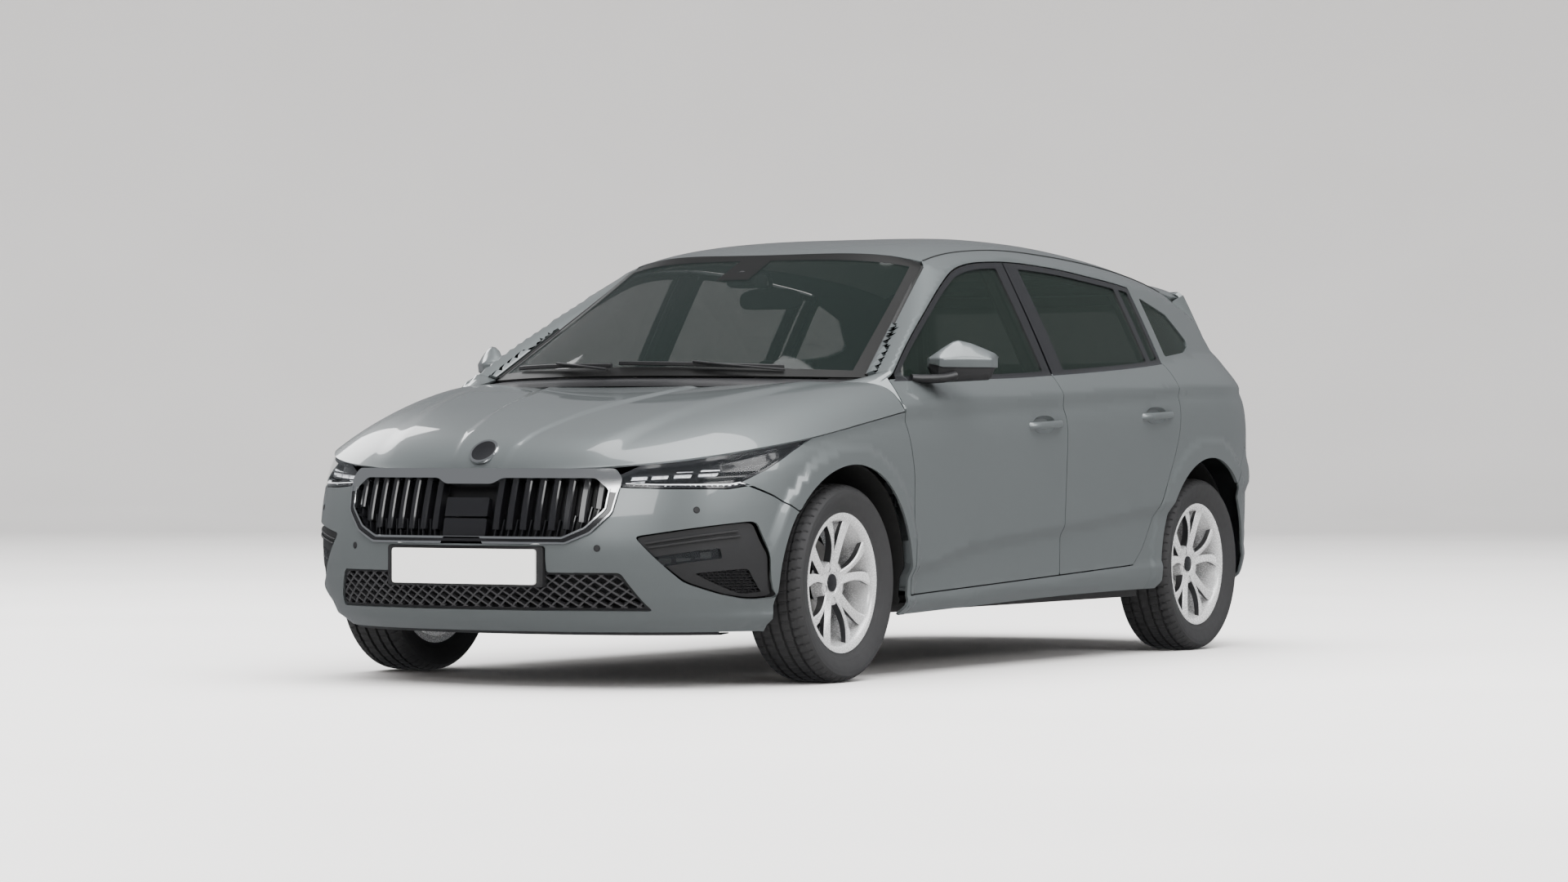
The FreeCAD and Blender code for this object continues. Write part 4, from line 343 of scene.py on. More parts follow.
# %% Heights along the car
sill_bottom = height_line([(0.136, 0.135), (0.697, 0.157), (1.2, 0.160)])
sill_top = height_line([(0.123, 0.171), (0.775, 0.213), (1.2, 0.235)])
low_crease = height_line([(0.136, 0.235), (0.216, 0.246), (0.269, 0.272), (0.344, 0.289),
                          (0.412, 0.298), (0.55, 0.314), (0.786, 0.347), (1.2, 0.39)])
waist_line = height_line([(-0.8, 0.455), (-0.333, 0.500), (0.0, 0.532), (0.124, 0.557),
                          (0.293, 0.57), (0.543, 0.589), (0.758, 0.606), (0.896, 0.622),
                          (1.191, 0.634), (1.726, 0.637)], 0.10)
shoulder = height_line([(-0.83, 0.462), (-0.735, 0.472), (-0.505, 0.496), (-0.23, 0.520),
                        (0.042, 0.555), (0.136, 0.580), (0.196, 0.597), (0.555, 0.620),
                        (0.718, 0.633), (0.907, 0.642), (1.213, 0.647), (1.726, 0.651)], 0.08)
belt = height_line([(0.117, 0.646), (0.418, 0.659), (0.566, 0.670), (0.783, 0.690),
                    (0.917, 0.706), (1.072, 0.724), (1.666, 0.748)], 0.10)
window_top = height_line([(0.147, 0.653), (0.211, 0.721), (0.306, 0.809), (0.381, 0.874),
                          (0.43, 0.908), (0.495, 0.925), (0.584, 0.931), (0.683, 0.926),
                          (0.807, 0.91), (0.943, 0.884), (1.072, 0.84), (1.21, 0.768)], 0.035)
roof_edge = height_line([(0.147, 0.663), (0.211, 0.731), (0.306, 0.819), (0.381, 0.884),
                         (0.43, 0.918), (0.495, 0.935), (0.585, 0.942), (0.808, 0.92),
                         (0.944, 0.897), (1.132, 0.872), (1.31, 0.85), (1.488, 0.819),
                         (1.726, 0.755)], 0.05)
roof_centre = height_line([(0.359, 0.942), (0.438, 0.969), (0.532, 0.988), (0.646, 0.9995),
                           (0.759, 0.998), (0.872, 0.987), (1.072, 0.96), (1.429, 0.931),
                           (1.607, 0.914)], 0.09)
bonnet_centre = height_line([(-0.902, 0.448), (-0.89, 0.470), (-0.827, 0.507),
                             (-0.677, 0.544), (-0.448, 0.581), (-0.218, 0.607),
                             (0.004, 0.629), (0.079, 0.646), (0.155, 0.656)], 0.02)
belt_width = smooth_line([(along(a), out(b)) for a, b in (
    (0.117, 0.905), (0.306, 0.917), (0.57, 0.924), (0.834, 0.898), (0.948, 0.876),
    (1.191, 0.831), (1.548, 0.759), (1.785, 0.692))], 0.12)
print("shoulder at the doors", round(float(shoulder(0)), 3))

# %% [markdown]
# ## The surfaces between the lines
# A body side is a stack of bands: each band has a width at its lower and its upper line. The widths
# go into one table against a level number that counts the lines, so a crease is sharp where the
# table turns quickly. The nose and the tail close in with a superellipse, which stays flat across
# the middle and turns quickly at the corners, as a bumper does.

# %% Body side surface
SIDE_WIDTHS = [(0, 0.931), (0.8, 0.966), (1, 0.968), (2, 0.975), (3, 0.966), (4, 0.968),
               (5, 0.990), (5.5, 0.9935), (6, 0.9965), (6.5, 0.9985), (7, 0.9990),
               (7.4, 0.9975), (7.7, 0.9935), (8, 0.9855), (9, 0.992)]
NOSE_REACH = smooth_line([(0.109, 0.827), (0.136, 0.896), (0.184, 0.959), (0.245, 0.993),
                          (0.286, 1.0), (0.34, 0.987), (0.421, 0.950), (0.476, 0.912),
                          (0.53, 0.827), (0.612, 0.677)], 0.008, 0, 1)
TAIL_REACH = smooth_line([(0.15, 0.856), (0.218, 0.951), (0.306, 0.993), (0.394, 1.0),
                          (0.449, 0.987), (0.476, 0.945), (0.544, 0.933), (0.646, 0.868),
                          (0.673, 0.833), (0.748, 0.767), (0.816, 0.696), (0.884, 0.619),
                          (0.911, 0.583)], 0.008, 0, 1)
side_width_table = np.array(SIDE_WIDTHS).T


def reach(y, z):
    """How far the nose or the tail reaches from the middle of the car."""
    nose = -FRONT_AXLE + NOSE_REACH(z / HEIGHT) * FRONT_HANG
    tail = REAR_AXLE + TAIL_REACH(z / HEIGHT) * REAR_HANG
    return np.where(y < 0, nose, tail)


def plan_share(y, z):
    """Share of the full width that the rounded ends leave."""
    squareness = np.where(y < 0, 7.7, 11.0)
    depth = np.minimum(np.abs(y) / reach(y, z), 0.9999)
    return (1 - depth ** squareness) ** (1 / 2.15)


def half_width(y, z):
    """Half width of the side at a height, up to the shoulder."""
    low, crease, waist = sill_bottom(y), low_crease(y), waist_line(y)
    levels = np.array([low, low + 0.03, sill_top(y) - 0.006, sill_top(y) + 0.006,
                       crease - 0.03, crease + 0.006, (crease + waist) / 2,
                       (crease + 4 * waist) / 5, waist, shoulder(y)])
    level = np.zeros(np.broadcast(y, z).shape)
    for k in range(9):
        t = (z - levels[k]) / (levels[k + 1] - levels[k])
        level = np.where(t > 0, k + np.clip(t, 0, 1), level)
    return out(np.interp(level, *side_width_table))


def flare(y, z):
    """How far the wheel arches stand out of the side."""
    proud = 0
    for axle, edge in ((FRONT_AXLE, 0.425), (REAR_AXLE, 0.455)):
        away = np.hypot(y - axle, z - WHEEL_Z)
        proud = proud + 0.010 * np.clip((edge + 0.012 - away) / 0.024, 0, 1)
    return proud


def side_x(y, z):
    """The side below the shoulder, softened a little so that no crease is knife sharp."""
    total = 0
    for shift, weight in ((-0.006, 0.25), (0, 0.5), (0.006, 0.25)):
        total = total + weight * half_width(y, z + shift)
    return (total + flare(y, z)) * plan_share(y, z)


print("widest", round(float(side_x(np.array(0.0), np.array(0.7))), 4))

# %% [markdown]
# Above the shoulder the side leans in over a narrow shelf, then the glass leans in further up to
# the roof. The roof and the bonnet are seen from above instead: they are nearly flat in the middle
# and fall away towards their edges, which a high power of the distance from the middle gives.


# %% Upper surfaces
def glass_x(y, z):
    rise = z - belt(y)
    return belt_width(y) - 0.47 * rise - 0.10 * rise ** 2


def body_x(y, z):
    """The whole side, from the sill up to the roof's edge."""
    low, high = shoulder(y), belt(y)
    share = np.clip((z - low) / (high - low), 0, 1)
    ledge = side_x(y, low)
    shelf = ledge + (belt_width(y) - ledge) * share ** 1.3
    return np.where(z < low, side_x(y, z), np.where(z < high, shelf, glass_x(y, z)))


def roof_z(x, y):
    edge = roof_edge(y)
    share = np.minimum(np.abs(x) / glass_x(y, edge), 1)
    return roof_centre(y) - (roof_centre(y) - edge) * share ** 4.4


def crease_step(distance, width):
    """Rises from 0 to 1 over a width, with soft ends."""
    t = np.clip(distance / width + 0.5, 0, 1)
    return t * t * (3 - 2 * t)


def bonnet_z(x, y):
    """The bonnet, with the two pairs of creases that spread towards the windscreen."""
    edge_x = side_x(y, shoulder(y))
    lead = np.clip((y - NOSE_TIP) / (PILLAR_FOOT - NOSE_TIP), 0, 1)
    share = np.minimum(np.abs(x) / edge_x, 1)
    fall = (bonnet_centre(y) - shoulder(y)) * share ** (3 + 15 * lead ** 2)
    inner = 0.095 + (y + 2.088) * 0.225
    outer = 0.40 + (y + 2.0) * 0.27
    raised = 0.006 * crease_step(inner - np.abs(x), 0.030)
    raised = raised + 0.010 * crease_step(outer - np.abs(x), 0.09) * np.minimum(lead * 6, 1)
    return bonnet_centre(y) - fall + (raised - 0.014) * (1 - share ** 4)


def windscreen_point(across, rise):
    """A place on the windscreen: across from -1 to 1, rise from 0 to 1."""
    x = across * between(SCREEN_HALF, SCREEN_TOP_HALF, rise)
    wide = x / SCREEN_HALF
    low, high = up(0.656 - 0.006 * wide ** 2), up(0.942 - 0.043 * wide ** 2)
    base = between(SCREEN_BASE, SCREEN_CORNER, wide ** 2)
    top = between(SCREEN_TOP, SCREEN_TOP_CORNER, wide ** 2)
    y = between(base, top, rise) - 0.021 * np.sin(math.pi * rise)
    return x, y, between(low, high, rise)


def tail_y(x, z):
    """The tailgate's outside, rounding forward towards its sides."""
    corner = REAR_HANG * (0.17 + 0.30 * np.clip(z / HEIGHT - 0.45, 0, 0.2))
    behind = REAR_AXLE + TAIL_REACH(z / HEIGHT) * REAR_HANG
    return behind - corner * (np.abs(x) / out(0.78)) ** 3


print("roof top", round(float(roof_z(np.array(0.0), np.array(0.5))), 4))

# %% [markdown]
# The bumpers wrap round the corners, so neither a side view nor a front view sees all of them. They
# are unrolled by the angle round an upright axis inside the car: a ray goes out at that angle, and
# halving steps find where it meets the superellipse.

# %% Surfaces of the two ends
NOSE_AXIS, TAIL_AXIS = -1.35, 1.40


def end_surface(axis, facing):
    def lift(angle, z):
        sideways, onward = np.sin(angle), facing * np.cos(angle)
        low, high = np.zeros_like(angle), np.full_like(angle, 1.4)
        for _ in range(26):
            middle = (low + high) / 2
            x, y = middle * sideways, axis + middle * onward
            outside = np.abs(x) > side_x(y, z)
            beyond = facing * y > reach(y, z)
            low, high = (np.where(outside | beyond, low, middle),
                         np.where(outside | beyond, middle, high))
        x, y = low * sideways, axis + low * onward
        return np.stack([x, y, z], -1)
    return lift


nose = end_surface(NOSE_AXIS, -1)
tail = end_surface(TAIL_AXIS, 1)


def quick(lift, angles, heights):
    """The same surface from a table, for the many small pieces that don't need its normals."""
    table = lift(*np.meshgrid(angles, heights, indexing="ij"))

    def from_table(angle, z):
        a = np.clip((angle - angles[0]) / (angles[1] - angles[0]), 0, len(angles) - 1.001)
        b = np.clip((z - heights[0]) / (heights[1] - heights[0]), 0, len(heights) - 1.001)
        i, k = a.astype(int), b.astype(int)
        u, v = (a - i)[..., None], (b - k)[..., None]
        return ((table[i, k] * (1 - u) + table[i + 1, k] * u) * (1 - v)
                + (table[i, k + 1] * (1 - u) + table[i + 1, k + 1] * u) * v)
    return from_table


end_angles, end_heights = np.radians(np.linspace(-89, 89, 357)), np.linspace(0.14, 0.98, 211)
quick_nose = quick(nose, end_angles, end_heights)
quick_tail = quick(tail, end_angles, end_heights)


def nose_place(x, y, z):
    """Angle and height of a point measured on the nose."""
    return math.atan2(x, NOSE_AXIS - y), z


def tail_place(x, y, z):
    return math.atan2(x, y - TAIL_AXIS), z


def side(y, z):
    return np.stack([body_x(y, z), y, z], -1)


print("nose tip", nose(np.zeros(1), np.full(1, 0.42)).round(3).tolist())

# %% [markdown]
# ## From an outline to a panel
# A real panel is pressed from one sheet and its edges are folded in. Here its outline is drawn
# flat, filled with a lattice of points, joined by Delaunay triangles and lifted onto the surface.
# The surface also gives each point its exact normal, so the reflections stay smooth whatever the
# triangles look like, and the edge gets its own faces with their own normals.


# %% Shapes as arrays
class Shape:
    """Points, faces, one material number per face, and normals if they are known."""

    def __init__(self, points, faces, tints=None, normals=None):
        self.points = np.asarray(points, float)
        self.faces = [tuple(int(i) for i in face) for face in faces]
        self.tints = list(tints) if tints is not None else [0] * len(self.faces)
        self.normals = normals

    def tinted(self, number):
        return Shape(self.points, self.faces, [number] * len(self.faces), self.normals)

    def __add__(self, other):
        shift = len(self.points)
        faces = self.faces + [tuple(i + shift for i in face) for face in other.faces]
        normals = None
        if self.normals is not None and other.normals is not None:
            normals = np.concatenate([self.normals, other.normals])
        return Shape(np.concatenate([self.points, other.points]), faces,
                     self.tints + other.tints, normals)

    def moved(self, matrix):
        turn = np.array(matrix.to_3x3())
        points = self.points @ turn.T + np.array(matrix.to_translation())
        flip = matrix.to_3x3().determinant() < 0
        faces = [face[::-1] for face in self.faces] if flip else self.faces
        normals = None if self.normals is None else self.normals @ turn.T
        return Shape(points, faces, self.tints, normals)

    def mirrored(self):
        return self.moved(Matrix.Scale(-1, 4, (1, 0, 0)))


def joined(shapes):
    total = shapes[0]
    for shape in shapes[1:]:
        total = total + shape
    return total


def both(shape):
    return shape + shape.mirrored()


def piece(name, shape, finishes, body, slot, replaces=(), sharp=35):
    """Puts a shape in the scene as one named piece that rides on a body."""
    mesh = bpy.data.meshes.new(name)
    mesh.from_pydata(shape.points.tolist(), [], shape.faces)
    for finish in finishes:
        mesh.materials.append(finish.material)
    mesh.polygons.foreach_set("material_index", shape.tints)
    mesh.shade_smooth()
    if shape.normals is None:
        mesh.set_sharp_from_angle(angle=math.radians(sharp))
    else:
        mesh.normals_split_custom_set_from_vertices(shape.normals.tolist())
    made = bpy.data.objects.new(name, mesh)
    bpy.context.scene.collection.objects.link(made)
    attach(made, body)
    if replaces:
        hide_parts(*([replaces] if isinstance(replaces, str) else replaces))
    print(name, len(mesh.polygons))
    return made


def pair(name, shape, finishes, body, slot, replaces="", sharp=35):
    """The same piece on the left and, mirrored, on the right; {} in the body is the hand."""
    for hand, made in (("left", shape), ("right", shape.mirrored())):
        piece(f"{name}_{hand}", made, finishes, body.format(hand), slot,
              replaces and f"{replaces}_{hand}", sharp)


print("shapes ready")

# %% [markdown]
# Outlines are joined from separate edges, and every corner between two edges is rounded, as pressed
# panels have no sharp corners. The filling keeps a small distance from the outline, because thin
# triangles along an edge would show in the shading.


# %% Outlines
def resampled(line, step):
    line = np.asarray(line, float)
    lengths = np.concatenate([[0], np.cumsum(np.linalg.norm(np.diff(line, axis=0), axis=1))])
    count = max(2, int(math.ceil(lengths[-1] / step)) + 1)
    places = np.linspace(0, lengths[-1], count)
    return np.stack([np.interp(places, lengths, line[:, k]) for k in range(line.shape[1])], -1)


def rounded(edges, radius=0.02, step=0.012):
    """Closed outline through edges, each a list of points, with rounded corners."""
    trimmed = []
    for edge in edges:
        line = resampled(edge, 0.002)
        cut = min(int(radius / 0.002), (len(line) - 1) // 3)
        trimmed.append((line[0], line[cut:len(line) - cut], line[-1]))
    outline = []
    for k, (_, line, corner) in enumerate(trimmed):
        after = trimmed[(k + 1) % len(trimmed)][1]
        outline.append(resampled(line, step)[:-1])
        t = np.linspace(0, 1, 5)[:, None]
        bend = (1 - t) ** 2 * line[-1] + 2 * t * (1 - t) * corner + t * t * after[0]
        outline.append(bend[:-1])
    return np.concatenate(outline)


def cornered(corners, radius, step=0.012):
    """Closed outline whose edges run straight from corner to corner."""
    return rounded([(corners[k], corners[(k + 1) % len(corners)]) for k in range(len(corners))],
                   radius, step)


def box(half, low, high):
    return [(-half, low), (half, low), (half, high), (-half, high)]


def inside(points, outline):
    """Which points are inside a closed outline."""
    x, y = points[:, 0, None], points[:, 1, None]
    ax, ay = outline.T
    bx, by = np.roll(outline, -1, axis=0).T
    crosses = (ay > y) != (by > y)
    meets = ax + (y - ay) * (bx - ax) / np.where(by == ay, 1e-12, by - ay)
    return (crosses & (x < meets)).sum(axis=1) % 2 == 1


def far_from(points, others, distance):
    keep = np.ones(len(points), bool)
    for start in range(0, len(points), 2000):
        block = points[start:start + 2000]
        gaps = np.abs(block[:, None] - others[None]) ** 2
        keep[start:start + 2000] = gaps.sum(axis=2).min(axis=1) > distance ** 2
    return keep


def unit(vectors):
    """The same directions with length one."""
    return vectors / (np.linalg.norm(vectors, axis=-1)[..., None] + 1e-12)


print("outline helpers ready")


# %% Filling an outline and lifting it
def filled(outline, step, holes=(), lines=()):
    """Triangles of a flat outline, with holes, and with lines that become edges."""
    loops = [np.asarray(loop, float) for loop in (outline, *holes)]
    rims = np.concatenate(loops)
    low, high = rims.min(axis=0), rims.max(axis=0)
    rows = np.arange(low[1], high[1], step * 0.866)
    lattice = np.concatenate([np.stack([np.arange(low[0], high[0], step) + (k % 2) * step / 2,
                                        np.full(len(np.arange(low[0], high[0], step)), row)], -1)
                              for k, row in enumerate(rows)])
    kept_lines = []
    for line in lines:
        line = resampled(line, step * 0.6)
        good = inside(line, loops[0]) & far_from(line, rims, step * 0.25)
        for hole in loops[1:]:
            good &= ~inside(line, hole)
        kept_lines.append((line, good))
    lattice = lattice[inside(lattice, loops[0]) & far_from(lattice, rims, step * 0.45)]
    for hole in loops[1:]:
        lattice = lattice[~inside(lattice, hole)]
    for line, good in kept_lines:
        if good.any() and len(lattice):
            lattice = lattice[far_from(lattice, line[good], step * 0.4)]
    points, edges = [], []
    for loop in loops:
        first = sum(len(p) for p in points)
        edges += [(first + i, first + (i + 1) % len(loop)) for i in range(len(loop))]
        points.append(loop)
    for line, good in kept_lines:
        first = sum(len(p) for p in points)
        numbers = np.cumsum(good) - 1 + first
        edges += [(numbers[i], numbers[i + 1]) for i in range(len(line) - 1)
                  if good[i] and good[i + 1]]
        points.append(line[good])
    points.append(lattice)
    flat = np.concatenate(points)
    found = delaunay_2d_cdt([Vector(p) for p in flat.tolist()],
                            [(int(a), int(b)) for a, b in edges], [], 0, 1e-6, False)
    flat, faces = np.array([tuple(p) for p in found[0]]), np.array(found[2])
    middles = flat[faces].mean(axis=1)
    keep = inside(middles, loops[0])
    for hole in loops[1:]:
        keep &= ~inside(middles, hole)
    return flat, faces[keep]


def lifted(lift, flat, facing):
    """Points on a surface and their normals, which look along facing."""
    u, v = flat.T
    e = 0.0015
    points = lift(u, v)
    normals = unit(np.cross(lift(u + e, v) - lift(u - e, v), lift(u, v + e) - lift(u, v - e)))
    normals[(normals * facing).sum(axis=1) < 0] *= -1
    return points, normals


print("filling ready")


# %% Panels
def panel(outline, lift, facing, step=0.03, holes=(), lines=(), depth=0.012, sink=0.0,
          back_tint=0):
    """A pressed panel: its outside, its folded edges and its inside."""
    flat, faces = filled(outline, step, holes, lines)
    points, normals = lifted(lift, flat, np.asarray(facing, float))
    points = points - normals * sink
    corners = points[faces]
    turned = np.cross(corners[:, 1] - corners[:, 0], corners[:, 2] - corners[:, 0])
    wrong = (turned * normals[faces].mean(axis=1)).sum(axis=1) < 0
    faces[wrong] = faces[wrong][:, ::-1]
    used, numbers = np.unique(faces, return_inverse=True)
    points, normals, faces = points[used], normals[used], numbers.reshape(faces.shape)
    inner = points - normals * depth
    shape = (Shape(points, faces, None, normals)
             + Shape(inner, faces[:, ::-1], [back_tint] * len(faces), -normals))
    seen = dict.fromkeys(edge for face in faces.tolist()
                         for edge in zip(face, face[1:] + face[:1]))
    a, b = np.array([edge for edge in seen if edge[::-1] not in seen]).T
    quads = np.stack([points[a], points[b], inner[b], inner[a]], 1)
    return shape + wall(quads, np.cross(points[b] - points[a], normals[a]))


def wall(quads, outward, tint=0):
    """Separate quads, each with its own normal."""
    count = len(quads)
    return Shape(quads.reshape(-1, 3), np.arange(4 * count).reshape(-1, 4)[:, ::-1],
                 [tint] * count, np.repeat(unit(outward), 4, axis=0))


def grid(points, closed_rows=False, closed_columns=False):
    """Quads over a table of points."""
    points = np.asarray(points, float)
    rows, columns = points.shape[:2]
    faces = []
    for r in range(rows if closed_rows else rows - 1):
        for c in range(columns if closed_columns else columns - 1):
            a, b = r * columns + c, r * columns + (c + 1) % columns
            d, e = (r + 1) % rows * columns + c, (r + 1) % rows * columns + (c + 1) % columns
            faces.append((a, b, e, d))
    return Shape(points.reshape(-1, 3), faces)


def sheet(points, depth, towards, edge_tint=0):
    """A panel from a table of points, thickened along a direction."""
    points = np.asarray(points, float)
    normals = unit(np.cross(np.gradient(points, axis=0), np.gradient(points, axis=1)))
    if (normals.mean(axis=(0, 1)) * np.asarray(towards)).sum() < 0:
        normals = -normals
    top = grid(points)
    a, b, c = top.points[list(top.faces[0][:3])]
    if (np.cross(b - a, c - a) * normals[0, 0]).sum() < 0:
        top.faces = [face[::-1] for face in top.faces]
    top.normals = normals.reshape(-1, 3)
    under = Shape(top.points - top.normals * depth, [face[::-1] for face in top.faces],
                  [edge_tint] * len(top.faces), -top.normals)
    rows, columns = points.shape[:2]
    ring = (list(range(columns)) + [r * columns + columns - 1 for r in range(1, rows)]
            + [(rows - 1) * columns + c for c in range(columns - 2, -1, -1)]
            + [r * columns for r in range(rows - 2, 0, -1)])
    a, b = np.array(ring), np.roll(ring, -1)
    quads = np.stack([top.points[a], top.points[b], under.points[b], under.points[a]], 1)
    outward = np.cross(top.points[b] - top.points[a], top.normals[a])
    middle = points.mean(axis=(0, 1))
    if ((quads.mean(axis=1) - middle) * outward).sum() < 0:
        outward, quads = -outward, quads[:, ::-1]
    return top + under + wall(quads, outward, edge_tint)


print("panel helpers ready")

# %% Swept strips
def circle(count):
    """Angles of one full turn."""
    return np.linspace(0, 2 * math.pi, count, endpoint=False)


def capped(tube, count):
    """A tube of rings, each of count points, with its two ends closed."""
    last = len(tube.points) - count
    return tube + Shape(tube.points, [tuple(range(count))[::-1],
                                      tuple(range(last, last + count))])


def swept(path, section, normal=(0.0, 0.0, 1.0)):
    """A closed section, in (side, height), carried along a path."""
    path, section = np.asarray(path, float), np.asarray(section, float)
    tangent = unit(np.gradient(path, axis=0))
    sideways = unit(np.cross(tangent, normal))
    normals = np.cross(sideways, tangent)
    rings = (path[:, None] + sideways[:, None] * section[None, :, :1]
             + normals[:, None] * section[None, :, 1:])
    return capped(grid(rings, closed_columns=True), len(section))


def round_section(radius, count=12, flat=1.0):
    a = circle(count)
    return np.stack([radius * np.cos(a), radius * flat * np.sin(a)], -1)


def bar_section(width, height):
    """Bar with cut corners."""
    w, h = width / 2, height / 2
    c = min(w, h) * 0.5
    return [(-w, -h + c), (-w + c, -h), (w - c, -h), (w, -h + c), (w, h - c), (w - c, h),
            (-w + c, h), (-w, h - c)]


print("strips ready")

# %% [markdown]
# ## The room
# The photograph shows the car in a pale room without corners, under wide soft lights. The floor is
# a large dish whose rim bends up far behind every camera. Gloss doesn't see the dish but only the
# dim air and the area lights, so that black plastic stays black and the paint shows long streaks.

# %% Studio
floor_finish = Finish("studio_floor", (0.72, 0.70, 0.69), Roughness=0.55)
cloud = floor_finish.noise(0.6, 2)
floor_finish.varied(Base_Color=floor_finish.mix(cloud, (0.70, 0.685, 0.675, 1),
                                                (0.75, 0.735, 0.725, 1)),
                    Roughness=0.5 + cloud * 0.12)


def dish_point(radius, angle, flat=24.0, bend=9.0):
    """A floor that is flat out to 24 m and bends up into a wall all round."""
    over = min(max(radius - flat, 0.0), bend * math.pi / 2)
    reach = min(radius, flat) + bend * math.sin(over / bend)
    rise = bend * (1 - math.cos(over / bend)) + max(radius - flat - bend * math.pi / 2, 0.0)
    return reach * math.cos(angle), reach * math.sin(angle), rise


rows = [[dish_point(r, a) for a in np.linspace(0, 2 * math.pi, 97)[:-1]]
        for r in (0.05, 4, 9, 16, 24, 26, 28, 30, 32, 34, 36, 38.1, 44, 60)]
room_mesh = bpy.data.meshes.new("studio_floor")
room = grid(rows, closed_columns=True)
room_mesh.from_pydata(room.points.tolist(), [], room.faces)
room_mesh.polygons.foreach_set("use_smooth", [True] * len(room_mesh.polygons))
room_mesh.materials.append(floor_finish.material)
studio = bpy.data.objects.new("studio_floor", room_mesh)
studio.visible_glossy = False
bpy.context.scene.collection.objects.link(studio)

world = bpy.data.worlds.new("studio_air")
world.use_nodes = True
world.node_tree.nodes["Background"].inputs["Color"].default_value = (0.93, 0.96, 1.0, 1)
world.node_tree.nodes["Background"].inputs["Strength"].default_value = 0.24
bpy.context.scene.world = world


def soft_light(name, place, aim, size, power):
    data = bpy.data.lights.new(name, "AREA")
    data.shape, data.size, data.size_y = "RECTANGLE", size[0], size[1]
    data.energy = power
    light = bpy.data.objects.new(name, data)
    light.location = place
    light.rotation_euler = (Vector(aim) - Vector(place)).to_track_quat("-Z", "Y").to_euler()
    bpy.context.scene.collection.objects.link(light)
    return light


soft_light("roof_light", (2.2, -0.6, 6.5), (0.4, 0, 0), (3.6, 9), 430)
soft_light("left_light", (8.5, -1.5, 4.2), (0, 0, 0.7), (7, 2.0), 240)
soft_light("front_light", (2.5, -9.5, 4.6), (0, -1, 0.6), (6, 2.0), 210)
soft_light("far_light", (-7.5, 2.0, 4.5), (0, 0, 0.8), (6, 2.5), 200)
room_light = soft_light("room_light", (0, 0, 16.0), (0, 0, 0), (30, 30), 21000)
room_light.visible_glossy = False
print("studio ready")

# %% [markdown]
# ## Shut lines
# The gaps between doors, wings and bumpers are lines that several panels share, so each is a named
# function first. A gap of 4 mm is left between two panels, because a real gap of that width is what
# the eye reads as a separate part.

# %% Shut lines
GAP = 0.004


def edge_line(shares, blur=0.03):
    """Y of a shut line as a function of the height."""
    return smooth_line([(up(b), along(a)) for a, b in shares], blur, 0, 1.6)


door_lead = edge_line(((0.148, 0.10), (0.148, 0.182), (0.146, 0.432), (0.132, 0.528),
                       (0.126, 0.577), (0.136, 0.650), (0.145, 0.70)))
door_shut = edge_line(((0.556, 0.15), (0.556, 0.36), (0.558, 0.551), (0.549, 0.63),
                       (0.562, 0.67), (0.566, 0.95)))
door_trail = edge_line(((0.765, 0.20), (0.770, 0.219), (0.780, 0.226), (0.798, 0.250),
                        (0.825, 0.312), (0.853, 0.383), (0.876, 0.453), (0.889, 0.495),
                        (0.901, 0.566), (0.901, 0.644), (0.922, 0.705), (0.922, 0.90)), 0.02)


def upright(line, low, high, shift=0.0, step=0.02):
    z = np.linspace(low, high, max(3, int(abs(high - low) / step)))
    return np.stack([line(z) + shift, z], -1)


def level(line, first, last, shift=0.0, step=0.02):
    y = np.linspace(first, last, max(3, int(abs(last - first) / step)))
    return np.stack([y, line(y) + shift], -1)


def arch_line(axle, radius, first, last, step=3):
    """Arc of a wheel arch between two angles, from the rear round over the top."""
    count = max(3, int(abs(last - first) / step))
    angles = np.radians(np.linspace(first, last, count))
    return np.stack([axle + radius * np.cos(angles), WHEEL_Z + radius * np.sin(angles)], -1)


def meeting(line, height):
    """Height at which an upright line meets a level one."""
    z = 0.9
    for _ in range(12):
        z = float(height(line(z)))
    return z


front_belt = meeting(door_lead, belt)
shut_belt = meeting(door_shut, belt)
trail_belt = meeting(door_trail, belt)
print("belt at the shut lines", round(front_belt, 3), round(shut_belt, 3), round(trail_belt, 3))

# %% [markdown]
# ## Doors
# Each door is a painted skin below the window line, a black frame above it, the glass, and a
# thick inner body with its trim, which shows when the door is open. They are separate meshes
# because they are separate materials with real gaps between them, and all ride on the door.

# %% Door skins
sill_gap = 0.010
lead_low, shut_low = sill_top(door_lead(0.26)) + sill_gap, sill_top(door_shut(0.3)) + sill_gap
trail_low = sill_top(door_trail(0.32)) + sill_gap
front_door_edge = rounded([
    upright(door_lead, front_belt, lead_low, GAP / 2),
    level(sill_top, door_lead(0.26) + GAP / 2, door_shut(0.3) - GAP / 2, sill_gap),
    upright(door_shut, shut_low, shut_belt, -GAP / 2),
    level(belt, door_shut(shut_belt) - GAP / 2, door_lead(front_belt) + GAP / 2)], 0.008)
rear_door_edge = rounded([
    upright(door_shut, shut_belt, shut_low, GAP / 2),
    level(sill_top, door_shut(0.3) + GAP / 2, door_trail(trail_low), sill_gap),
    upright(door_trail, trail_low, trail_belt, -GAP / 2),
    level(belt, door_trail(trail_belt) - GAP / 2, door_shut(shut_belt) + GAP / 2)], 0.008)


def crease_lines(first, last):
    return [level(line, first, last, 0, 0.012) for line in
            (sill_top, low_crease, waist_line, shoulder)]


